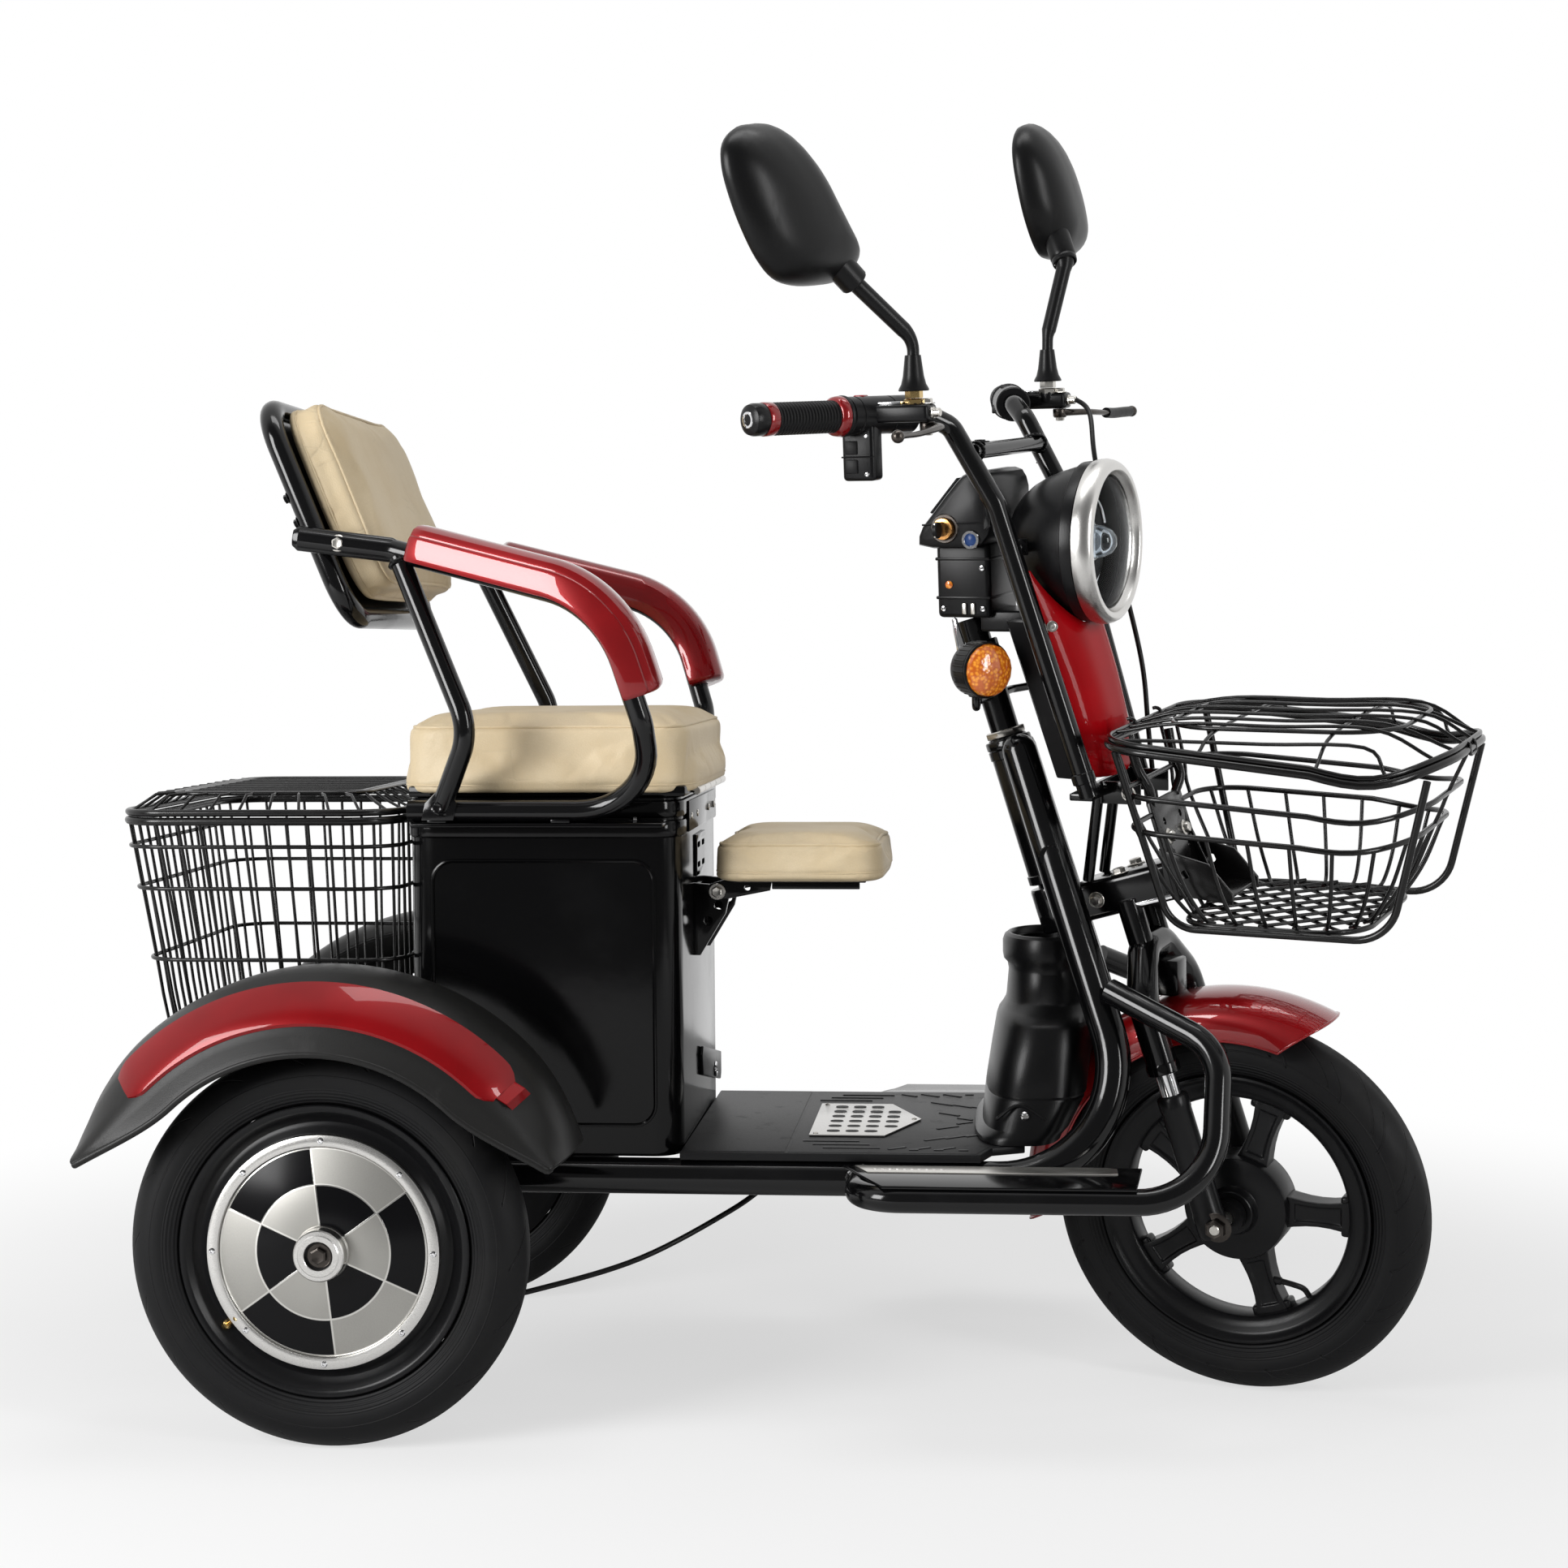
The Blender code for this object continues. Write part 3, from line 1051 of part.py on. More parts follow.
def build_shield(pivot):
    """Red leg shield in front of the side tubes, and the black inner panel between them."""
    levels = [(0.900, 0.0826, 0.028), (0.850, 0.0816, 0.034), (0.780, 0.0755, 0.036), (0.715, 0.0672, 0.032),
              (0.690, 0.0590, 0.026), (0.677, 0.0470, 0.020)]
    skin = loft([shield_section(*row) for row in levels], 0.0025, closed_rings=False, caps=False)
    lamp = rod((0.690, 0, 0.925), (0.7965, 0, 0.925), 0.060, 0.0880, sides=32)
    lens = rod((0.7960, 0, 0.925), (0.860, 0, 0.925), 0.0895, sides=32)
    finish(cut(skin, [lamp, lens]), "leg_shield", "paint_red", pivot, angle=50)
    sections = []
    for z in (0.846, 0.760, 0.678):
        share = (0.9715 - z) / (0.9715 - 0.663)
        half = SIDE_Y - 0.020 * share - BAR_R - 0.003
        rear = side_tube_x(z) - 0.042
        front = side_tube_x(z) - 0.0125
        sections.append([(rear, -half + 0.012, z), (rear, half - 0.012, z), (front, half, z), (front, -half, z)])
    return loft(sections)


def build_dash(pivot, panel):
    """Instrument housing on the column's head with the panel below it, and the ignition lock in its right side."""
    wedge = [(0.613, 0.922), (0.618, 0.944), (0.660, 0.996), (0.676, 1.004),
             (0.692, 1.002), (0.699, 0.985), (0.699, 0.944), (0.688, 0.926)]
    pieces = [prism(wedge, -0.060, 0.060), box((0.626, -0.040, 0.8458), (0.688, 0.040, 0.926), 0.005, 1)]
    pieces += [box((0.672, -0.030, 0.830), (0.730, 0.030, 0.853)), panel]
    finish(weld(pieces), "dash_housing", "plastic_black", pivot)
    lock = Vector((0.646, 0.0, 0.944))
    barrel = rod(lock - Y_DIR * (0.060 + GAP), lock - Y_DIR * 0.068, 0.012, sides=16)
    blade = box(lock + Vector((-0.0015, -0.088, -0.008)), lock + Vector((0.0015, -0.067, 0.008)))
    finish(weld([barrel, blade]), "ignition_key", "silver", pivot, lock)


def build_turn_lamps(pivot):
    """Turn lamp with a short barrel and a domed lens, on each end of the column's bar."""
    for side, word in ((-1, "right"), (1, "left")):
        out = Vector((math.cos(math.radians(32)), side * math.sin(math.radians(32)), 0.0))
        centre = Vector((0.6935, side * 0.100, 0.7688 + GAP + 0.030))
        barrel = [(0.0, -0.016), (0.020, -0.014), (0.029, -0.004), (0.030, 0.020), (0.028, 0.0203), (0.027, 0.028),
                  (0.018, 0.034), (0.0, 0.037)]
        finish(turned(barrel, centre, out, 16, closed=False), "turn_lamp_" + word, "plastic_black", pivot)


def bar_frame(side, start_y):
    """A point on the grip part of the bar and the bar's outward direction."""
    inner = Vector((0.655, side * 0.128, GRIP_Z - 0.003))
    outer = Vector((0.563, side * 0.326, GRIP_Z))
    direction = (outer - inner).normalized()
    share = (start_y - 0.128) / (0.326 - 0.128)
    return inner.lerp(outer, share), direction


def build_controls(pivot):
    """Grips, switch housings with mirror sockets and lever perches, and the brake levers."""
    for side, word, grip in ((-1, "right", "throttle_grip"), (1, "left", "left_grip")):
        start, out = bar_frame(side, 0.226)
        length = 0.118
        profile = [(BAR_R + GAP, 0.0), (0.021, 0.0), (0.021, 0.005), (GRIP_R, 0.007), (GRIP_R, length),
                   (0.015, length + 0.006),
                   (0.0, length + 0.006), (0.0, length + 0.001), (BAR_R + GAP, length + 0.001)]
        sleeve = turned(profile, start, out, 14)
        finish(sleeve, grip, "rubber", pivot, start)
        first, out = bar_frame(side, 0.146)
        last, out = bar_frame(side, 0.2255)
        body = rod(first, last - out * GAP * 2, 0.0195, sides=16)
        seat = Vector((0.672, side * MIRROR_BASE_Y, GRIP_Z))
        perch = box((0.632, side * 0.1955 - 0.013, GRIP_Z - 0.010),
                    (0.694, side * 0.1955 + 0.013, GRIP_Z + 0.008))
        boss = rod(seat + Vector((0, 0, -0.002)), seat + Vector((0, 0, 0.0125)), 0.0085, sides=12)
        pieces = [body, perch, boss]
        if side < 0:
            pieces.append(box((0.600, -0.214, GRIP_Z - 0.068), (0.636, -0.190, GRIP_Z - 0.010)))
        whole = weld(pieces)
        bore = rod(first - out * 0.02, last + out * 0.02, BAR_R + GAP, sides=16)
        whole = cut(whole, [bore])
        finish(whole, "control_housing_" + word, "plastic_black", pivot)
        hinge = Vector((0.686, side * MIRROR_BASE_Y, GRIP_Z - 0.010 - GAP))
        path = filleted([hinge + Vector((0, 0, -0.0045)), hinge + Vector((0.022, side * 0.020, -0.0045)),
                         hinge + Vector((0.030, side * 0.090, -0.009)), hinge + Vector((0.034, side * 0.150, -0.009))],
                        [0.015, 0.03], 2)
        blade = tube(path, 0.0042, 1)
        eye = rod(hinge + Vector((0, 0, -0.009)), hinge, 0.008, sides=12)
        tip = ball(path[-1], 0.0065, 8)
        finish(weld([blade, eye, tip]), "brake_lever_" + word, "silver", pivot, hinge)


def build_mirrors(pivot):
    """Mirror on each side: threaded foot, bent arm and a deep teardrop shell."""
    heads = {-1: (Vector((0.584, -0.292, 1.279)), Vector((0.630, -0.232, 1.202)), -10),
             1: (Vector((0.640, 0.268, 1.309)), Vector((0.684, 0.222, 1.226)), 2)}
    for side, word in ((-1, "right"), (1, "left")):
        foot = Vector((0.672, side * MIRROR_BASE_Y, GRIP_Z + 0.0125 + GAP))
        centre, neck, swung = heads[side]
        stem = rod(foot, foot + Vector((0, 0, 0.046)), 0.0095, 0.007, sides=12)
        arm = tube(filleted([foot + Vector((0, 0, 0.030)), foot + Vector((0.001, 0, 0.060)), neck,
                             centre + (neck - centre) * 0.45], [0.03, 0.03], 4), 0.0055, 1)
        facing = Matrix.Rotation(math.radians(swung), 4, "Z") @ Matrix.Rotation(math.radians(-8), 4, "Y")
        sections = []
        for depth, scale in ((-0.0050, 0.96), (0.002, 1.0), (0.019, 0.91), (0.034, 0.66), (0.041, 0.27)):
            section = []
            for i in range(14):
                angle = 2 * math.pi * i / 14
                rise = 0.078 * math.sin(angle)
                outward = 0.070 * math.copysign(abs(math.cos(angle)) ** 0.8, math.cos(angle)) + 0.36 * rise + 0.005
                section.append(Vector((depth, side * outward * scale, rise * scale)))
            sections.append(section)
        head = loft(sections)
        put(head, Matrix.Translation(centre) @ facing)
        finish(weld([head, arm, stem]), "mirror_" + word, "plastic_black", pivot, foot, angle=50)


def build_front_basket(pivot):
    """Wire basket over the front wheel with its bracket, and its hinged wire lid."""
    count = 18
    centre = 1.018
    rim_z = 0.7155
    rings = [ring_of(0.172, 0.166, 0.06, centre, rim_z, count, 0.12),
             ring_of(0.153, 0.152, 0.055, centre - 0.004, 0.668, count, 0.105),
             ring_of(0.141, 0.146, 0.05, centre - 0.007, 0.632, count, 0.10),
             ring_of(0.096, 0.122, 0.04, centre - 0.004, 0.540, count, 0.06)]
    for point in rings[0]:
        angle = math.degrees(abs(math.atan2(point.y, point.x - centre)))
        point.z += 0.0125 * ((1.190 - point.x) / 0.335) ** 2 - 0.017 * math.exp(-((angle - 55.0) / 20.0) ** 2)
    net = lattice(rings, [3, 3, 3], 0.0110, 0.0065, 3)
    turn = Matrix.Translation(STEER_BASE) @ Matrix((F_DIR, Y_DIR, U_DIR)).transposed().to_4x4()
    plate = put(box((BASKET_REACH + GAP, -0.050, -0.209), (BASKET_REACH + 0.006, 0.050, -0.100)), turn)
    finish(weld([net, plate]), "front_basket", "wire_black", pivot)
    lid_ring = [Vector((centre + (p.x - centre) * 0.99, p.y * 0.99, p.z + 0.0068)) for p in rings[0]]
    high = [Vector((centre + (p.x - centre) * 0.70, p.y * 0.66, 0.746)) for p in rings[0]]
    net = lattice([lid_ring, high], [2], 0.0060, 0.0045, 3)
    hinge = Vector((centre - 0.172 * 0.99 - 0.003, 0.0, lid_ring[count // 2].z))
    finish(net, "front_basket_lid", "wire_black", pivot, hinge)


def build_cables(pivot):
    """Brake cables: one from the left lever down the steering, one under the floor to the rear wheel's brake."""
    arm_y = -(TRACK_HALF - MOTOR_IN - 0.006)
    route = [(CABLE_STOP_X - 2 * GAP, -0.060, 0.236), (CABLE_STOP_X - 0.010, -0.060, 0.236),
             (0.432, -0.068, 0.230), (0.390, -0.104, 0.204), (0.300, -0.165, 0.165),
             (0.200, -0.205, 0.141), (0.110, -0.238, 0.128), (0.058, arm_y, 0.132), (0.037, arm_y, 0.154),
             (0.034, arm_y, 0.176), (0.034, arm_y, 0.186 - 2 * GAP)]
    finish(tube(smooth_path([Vector(p) for p in route], 20), 0.0030, 1), "rear_brake_cable", "rubber")
    end = steer_point(0.105, 0.034 + 2 * GAP, -0.188)
    route = [Vector((0.6949, 0.1955, 1.0710)), Vector((0.704, 0.1955, 1.0710)), Vector((0.726, 0.178, 1.056)),
             Vector((0.744, 0.142, 1.010)), Vector((0.764, 0.122, 0.940)),
             Vector((0.790, 0.108, 0.860)), Vector((0.812, 0.096, 0.780)),
             Vector((0.822, 0.084, 0.710)), Vector((0.833, 0.072, 0.640)), end + Vector((0.002, 0.030, 0.024)),
             end + Y_DIR * 0.010, end]
    finish(tube(smooth_path(route, 24), 0.0028, 1), "front_brake_cable", "rubber", pivot)


def smooth_path(points, count):
    """Even points on a smooth curve through the given ones; the first and last legs stay straight."""
    first = points[0]
    last = points[-1]
    points = list(points[1:-1])
    points = [points[0] * 2 - points[1]] + points + [points[-1] * 2 - points[-2]]
    spans = len(points) - 3
    path = []
    for i in range(count):
        place = spans * i / (count - 1)
        k = min(int(place), spans - 1)
        t = place - k
        a, b, c, d = points[k:k + 4]
        curve = (2 * a - 5 * b + 4 * c - d) * t * t + (3 * b - a - 3 * c + d) * t ** 3
        path.append(0.5 * ((2 * b) + (c - a) * t + curve))
    return [first] + path + [last]


def build():
    clear_scene()
    whole, pivot = empties()
    build_frame()
    build_guards()
    build_floor()
    build_bucket()
    build_seat_box()
    build_seat()
    build_armrests()
    build_backrest()
    build_child_seat()
    build_rear_basket()
    build_mudguards()
    build_rear_wheels()
    build_front_wheel(pivot)
    build_fork(pivot)
    build_front_fender(pivot)
    build_handlebar(pivot)
    build_column(pivot)
    build_headlight(pivot)
    build_dash(pivot, build_shield(pivot))
    build_turn_lamps(pivot)
    build_controls(pivot)
    build_mirrors(pivot)
    build_front_basket(pivot)
    build_cables(pivot)


build()
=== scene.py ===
"""Looks of the electric passenger tricycle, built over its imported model.

Pieces are drawn in metres in the drawing's own frame: its zero is on the ground under the
rear axle, +X forward, +Y to the rider's left. What steers is drawn straight ahead.
settle() takes each piece to its place on the machine.
"""

import json
import math

import bmesh
import bpy
from mathutils import Matrix, Vector
from mathutils.bvhtree import BVHTree

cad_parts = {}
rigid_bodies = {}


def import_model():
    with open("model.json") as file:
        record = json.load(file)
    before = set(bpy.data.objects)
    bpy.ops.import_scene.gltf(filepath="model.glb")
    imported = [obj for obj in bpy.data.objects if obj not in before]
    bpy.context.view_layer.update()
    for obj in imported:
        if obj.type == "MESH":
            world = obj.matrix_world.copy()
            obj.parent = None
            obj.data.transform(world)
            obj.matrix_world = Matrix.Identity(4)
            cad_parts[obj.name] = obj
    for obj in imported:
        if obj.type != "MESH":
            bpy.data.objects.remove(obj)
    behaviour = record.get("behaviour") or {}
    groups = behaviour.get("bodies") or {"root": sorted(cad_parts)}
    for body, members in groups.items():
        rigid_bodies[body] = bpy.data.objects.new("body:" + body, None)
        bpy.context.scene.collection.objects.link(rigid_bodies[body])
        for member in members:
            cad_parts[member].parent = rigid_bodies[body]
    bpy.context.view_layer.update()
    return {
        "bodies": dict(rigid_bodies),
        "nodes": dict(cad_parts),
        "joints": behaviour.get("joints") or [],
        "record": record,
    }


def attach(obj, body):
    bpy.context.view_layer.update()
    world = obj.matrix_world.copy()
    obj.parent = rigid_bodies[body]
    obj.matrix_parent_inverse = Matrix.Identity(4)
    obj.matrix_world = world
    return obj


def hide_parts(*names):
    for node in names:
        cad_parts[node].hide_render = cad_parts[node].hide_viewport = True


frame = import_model()

RAKE = math.radians(17)
STEER_BASE = Vector((0.69, 0.0, 0.704))
AHEAD = Vector((math.cos(RAKE), 0.0, math.sin(RAKE)))
SIDE = Vector((0.0, 1.0, 0.0))
ALONG = Vector((-math.sin(RAKE), 0.0, math.cos(RAKE)))
UP = Vector((0.0, 0.0, 1.0))
REAR_AXLE_X = -0.4632
HEAD_TURN = math.radians(-22.5)
HOME = Matrix.Translation((REAR_AXLE_X, 0.0, 0.0))
TURNED = (HOME @ Matrix.Translation(STEER_BASE) @ Matrix.Rotation(HEAD_TURN, 4, ALONG)
          @ Matrix.Translation(-STEER_BASE))
STEERING_AXES = Matrix((AHEAD, SIDE, ALONG)).transposed().to_4x4()
SIDES = ((-1, "right"), (1, "left"))
BACK_LEAN = math.radians(22)
BACK_FOOT_Z = 0.846
FRONT_AXLE = Vector((0.9468, 0.0, 0.2069))
WHEEL_R = 0.205
TRACK = 0.295
FLOOR_TOP = 0.284
RAIL_Y, RAIL_Z = 0.172, 0.255
LEG_AHEAD, LEG_Y = 0.09, 0.072
LAMP_CENTRE = Vector((0.0, 0.0, 0.925))
LOCK_X, LOCK_Z = 0.646, 0.944
CHILD_PIVOT_X, CHILD_PIVOT_Z = 0.372, 0.545
REAR_BASKET_X = -0.1018


def steer_point(ahead, side, up):
    """A point given ahead of, beside and along the steering axis."""
    return STEER_BASE + AHEAD * ahead + SIDE * side + ALONG * up


def back_point(up, side, out):
    """A point given up, across and out of the leaning backrest."""
    rise = Vector((-math.sin(BACK_LEAN), 0.0, math.cos(BACK_LEAN)))
    return Vector((0.0, side, BACK_FOOT_Z)) + rise * up + Vector((math.cos(BACK_LEAN), 0.0,
            math.sin(BACK_LEAN))) * out


def mm(*points):
    """Points given in millimetres, in metres."""
    return [tuple(value / 1000 for value in point) for point in points]


# ---------------------------------------------------------------- modelling

def put_down():
    """Nothing stays selected."""
    bpy.ops.object.select_all(action="DESELECT")


def take(*pieces):
    """Only these pieces are selected, and the first is the active one."""
    put_down()
    for piece in pieces:
        piece.select_set(True)
    bpy.context.view_layer.objects.active = pieces[0]
    return pieces[0]


class Bench:
    """One piece in edit mode."""

    def __init__(self, piece):
        self.piece = piece

    def __enter__(self):
        take(self.piece)
        bpy.ops.object.mode_set(mode="EDIT")
        bpy.ops.mesh.select_mode(type="VERT")
        return self

    def __exit__(self, *trouble):
        bpy.ops.object.mode_set(mode="OBJECT")

    def pick(self, kind, test):
        """Selects the points, edges or faces that pass a test."""
        bpy.ops.mesh.select_mode(type=kind)
        bpy.ops.mesh.select_all(action="DESELECT")
        shape = bmesh.from_edit_mesh(self.piece.data)
        parts = {"VERT": shape.verts, "EDGE": shape.edges, "FACE": shape.faces}[kind]
        for part in parts:
            if test(part):
                part.select_set(True)
        shape.select_flush_mode()
        bmesh.update_edit_mesh(self.piece.data)

    def all(self):
        bpy.ops.mesh.select_all(action="SELECT")

    def tidy(self, close=False):
        """Doubles merged, holes closed if asked, and faces turned outwards."""
        self.all()
        bpy.ops.mesh.remove_doubles(threshold=0.000002)
        if close:
            bpy.ops.mesh.fill_holes(sides=0)
            self.all()
        bpy.ops.mesh.normals_make_consistent(inside=False)


def push(offset):
    bpy.ops.mesh.extrude_region_move(TRANSFORM_OT_translate={"value": offset})


def turn_out(piece):
    """All faces of a sheet turned to its other side."""
    with Bench(piece) as bench:
        bench.all()
        bpy.ops.mesh.flip_normals()


def apply_modifier(piece, kind, **settings):
    """Adds a modifier with its settings and applies it."""
    take(piece)
    step = piece.modifiers.new(kind.lower(), kind)
    for key, value in settings.items():
        setattr(step, key, value)
    bpy.ops.object.modifier_apply(modifier=step.name)
    return piece


def skin(rows, around=False, close=False, wall=0.0):
    """A grid laid over rows of points. around joins each row's end to its start."""
    rows = [list(row) + list(row[:1]) if around else list(row) for row in rows]
    put_down()
    bpy.ops.mesh.primitive_grid_add(x_subdivisions=len(rows[0]) - 1, y_subdivisions=len(rows) - 1, size=1)
    piece = bpy.context.object
    piece.data.vertices.foreach_set("co", [value for row in rows for point in row for value in point])
    piece.data.update()
    if around or close:
        with Bench(piece) as bench:
            bench.tidy(close)
    if wall:
        apply_modifier(piece, "SOLIDIFY", thickness=abs(wall), offset=math.copysign(1.0, wall))
    return piece


def turned(profile, centre, axis, steps=64):
    """A profile of (radius, height) points spun round an axis."""
    centre = Vector(centre)
    axis = Vector(axis).normalized()
    arm = axis.orthogonal().normalized()
    places = [centre + arm * radius + axis * height for radius, height in profile]
    put_down()
    bpy.ops.mesh.primitive_plane_add(size=0.01, location=(0, 0, 0))
    piece = bpy.context.object
    with Bench(piece) as bench:
        bench.all()
        bpy.ops.mesh.merge(type="CENTER")
        bpy.ops.transform.translate(value=places[0])
        for here, there in zip(places, places[1:]):
            bpy.ops.mesh.extrude_vertices_move(TRANSFORM_OT_translate={"value": there - here})
        bench.all()
        bpy.ops.mesh.spin(steps=steps, angle=2 * math.pi, center=centre, axis=axis)
        bench.tidy()
    return piece


def block(low, high, edge=0.0, steps=2):
    """A box between two corners with rounded edges."""
    limits = list(zip(low, high))
    low, high = Vector([min(pair) for pair in limits]), Vector([max(pair) for pair in limits])
    put_down()
    bpy.ops.mesh.primitive_cube_add(size=1, location=(low + high) / 2)
    piece = bpy.context.object
    piece.scale = high - low
    bpy.ops.object.transform_apply(location=True, rotation=True, scale=True)
    if edge:
        with Bench(piece) as bench:
            bench.all()
            bpy.ops.mesh.bevel(offset=edge, segments=steps, affect="EDGES", clamp_overlap=True)
    return piece


def plate(outline, low, high, flat="XZ", edge=0.0):
    """A flat outline given its thickness, with its rims bevelled."""
    low, high = sorted((low, high))
    put_down()
    bpy.ops.mesh.primitive_circle_add(vertices=len(outline), radius=1, fill_type="NGON")
    piece = bpy.context.object
    for vert, (a, b) in zip(piece.data.vertices, outline):
        vert.co = {"XZ": (a, low, b), "XY": (a, b, low), "YZ": (low, a, b)}[flat]
    with Bench(piece) as bench:
        bench.all()
        push({"XZ": (0, high - low, 0), "XY": (0, 0, high - low), "YZ": (high - low, 0, 0)}[flat])
        bench.tidy()
        if edge:
            axis = {"XZ": 1, "XY": 2, "YZ": 0}[flat]
            bench.pick("EDGE", lambda e: abs((e.verts[0].co - e.verts[1].co)[axis]) < 1e-6)
            bpy.ops.mesh.bevel(offset=edge, segments=2, affect="EDGES", clamp_overlap=True)
    return piece


def pipes(lines, radius, sides=14, closed=False, radii=None):
    """Round bars along lines of points, as one piece."""
    put_down()
    bpy.ops.curve.primitive_nurbs_path_add()
    piece = bpy.context.object
    curve = piece.data
    curve.splines.clear()
    curve.bevel_depth = radius
    curve.bevel_resolution = sides // 2 - 2
    curve.use_fill_caps = True
    for line in lines:
        spline = curve.splines.new("POLY")
        spline.points.add(len(line) - 1)
        for i, point in enumerate(line):
            spline.points[i].co = (*point, 1.0)
            if radii:
                spline.points[i].radius = radii[i] / radius
        spline.use_cyclic_u = closed
    take(piece)
    bpy.ops.object.convert(target="MESH")
    return bpy.context.object


def bar(start, end, radius, end_radius=None, edge=0.0008, steps=24):
    """A straight round bar with eased rims."""
    start, end = Vector(start), Vector(end)
    far = (end - start).length
    last = radius if end_radius is None else end_radius
    profile = [(0, 0), (radius - edge, 0), (radius, edge), (last, far - edge), (last - edge, far), (0, far)]
    return turned(profile, start, end - start, steps)


def bolt(place, facing, size, height=0.004, washer=True):
    """A six-sided head on a washer, both with eased edges."""
    place, facing = Vector(place), Vector(facing).normalized()
    put_down()
    bpy.ops.mesh.primitive_cylinder_add(vertices=6, radius=size, depth=height)
    head = bpy.context.object
    with Bench(head) as bench:
        bench.pick("FACE", lambda f: f.normal.z > 0.9)
        bpy.ops.mesh.inset(thickness=size * 0.18)
        bpy.ops.transform.translate(value=(0, 0, size * 0.12))
        bpy.ops.mesh.inset(thickness=size * 0.35)
        bpy.ops.transform.translate(value=(0, 0, -size * 0.1))
    head.data.transform(Matrix.Translation(place + facing * (height / 2 + (0.001 if washer else 0)))
                        @ facing.to_track_quat("Z", "Y").to_matrix().to_4x4())
    if not washer:
        return head
    ring = turned([(0, 0), (size * 1.35, 0), (size * 1.45, 0.0004), (size * 1.35, 0.001), (0, 0.001)], place, facing,
                  20)
    return join(head, ring)


def screw(place, facing, size, height=0.002):
    """A domed screw head with a socket."""
    profile = [(0, 0), (size, 0), (size, height * 0.3), (size * 0.8, height * 0.85), (size * 0.45, height),
               (size * 0.42, height * 0.4), (0, height * 0.4)]
    return turned(profile, place, facing, 18)


def join(*pieces):
    take(*pieces)
    if len(pieces) > 1:
        bpy.ops.object.join()
    return bpy.context.object


def copy_of(piece, matrix):
    """A copy with its own mesh, moved by a matrix and turned right side out if it mirrors."""
    other = piece.copy()
    other.data = piece.data.copy()
    bpy.context.scene.collection.objects.link(other)
    other.data.transform(matrix)
    if matrix.determinant() < 0:
        other.data.flip_normals()
    return other


MIRROR = Matrix.Diagonal((1, -1, 1, 1))


def both(piece):
    """The piece and its mirror image as one."""
    return join(piece, copy_of(piece, MIRROR))


def rounded(points, radii, steps=8):
    """A path through corners, each rounded by its own radius."""
    points = [Vector(point) for point in points]
    path = [points[0]]
    for before, corner, after, radius in zip(points, points[1:-1], points[2:], radii):
        inward = (before - corner).normalized()
        onward = (after - corner).normalized()
        half = inward.angle(onward) / 2
        reach = radius / math.tan(half)
        centre = corner + (inward + onward).normalized() * radius / math.sin(half)
        first = corner + inward * reach - centre
        last = corner + onward * reach - centre
        sweep = first.angle(last)
        for step in range(steps + 1):
            share = step / steps
            blend = first * math.sin((1 - share) * sweep) + last * math.sin(share * sweep)
            path.append(centre + blend / math.sin(sweep))
    path.append(points[-1])
    return path


def flowing(points, count=8):
    """A smooth path through all the points."""
    points = [Vector(point) for point in points]
    points = [points[0] * 2 - points[1]] + points + [points[-1] * 2 - points[-2]]
    path = []
    for a, b, c, d in zip(points, points[1:], points[2:], points[3:]):
        for step in range(count):
            t = step / count
            path.append(0.5 * ((2 * b) + (c - a) * t + (2 * a - 5 * b + 4 * c - d) * t * t
                               + (3 * b - a - 3 * c + d) * t ** 3))
    path.append(points[-2])
    return path


def oblong(half_x, half_y, corner, centre_x=0.0, steps=6):
    """A rectangle's outline with round corners."""
    outline = []
    for sign_x, sign_y, start in ((1, 1, 0), (-1, 1, 90), (-1, -1, 180), (1, -1, 270)):
        for step in range(steps + 1):
            angle = math.radians(start + 90 * step / steps)
            outline.append((centre_x + sign_x * (half_x - corner) + corner * math.cos(angle),
                            sign_y * (half_y - corner) + corner * math.sin(angle)))
    return outline


def round_ring(half_x, half_y, corner, centre_x, z):
    return [Vector((x, y, z)) for x, y in oblong(half_x, half_y, corner, centre_x, 10)]


def dress(piece, finish):
    piece.data.materials.clear()
    piece.data.materials.append(finish.material)
    return piece


def settle(name, body, pieces, nodes=(), finish=None, steered=False, sharp=35):
    """Joins the pieces, takes them to their place and lets them ride on a body."""
    pieces = pieces if isinstance(pieces, (list, tuple)) else [pieces]
    for piece in pieces:
        if finish and not piece.data.materials:
            dress(piece, finish)
    whole = join(*pieces)
    whole.name = name
    whole.data.name = name
    bpy.ops.object.transform_apply(location=True, rotation=True, scale=True)
    whole.data.transform(TURNED if steered else HOME)
    bpy.ops.object.shade_smooth_by_angle(angle=math.radians(sharp))
    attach(whole, body)
    if nodes:
        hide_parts(*nodes)
    return whole


# ---------------------------------------------------------------- finishes

class Level:
    """A number that changes over a surface, with arithmetic that adds Math nodes."""

    def __init__(self, nodes, socket):
        self.nodes = nodes
        self.socket = socket

    def __add__(self, other):
        return self.nodes.maths("ADD", self, other)

    def __sub__(self, other):
        return self.nodes.maths("SUBTRACT", self, other)

    def __rsub__(self, other):
        return self.nodes.maths("SUBTRACT", other, self)

    def __mul__(self, other):
        return self.nodes.maths("MULTIPLY", self, other)

    def __truediv__(self, other):
        return self.nodes.maths("DIVIDE", self, other)

    def __rtruediv__(self, other):
        return self.nodes.maths("DIVIDE", other, self)

    def __pow__(self, other):
        return self.nodes.maths("POWER", self, other)

    def __abs__(self):
        return self.nodes.maths("ABSOLUTE", self)

    def __gt__(self, other):
        return self.nodes.maths("GREATER_THAN", self, other)

    def __lt__(self, other):
        return self.nodes.maths("LESS_THAN", self, other)

    __radd__ = __add__
    __rmul__ = __mul__


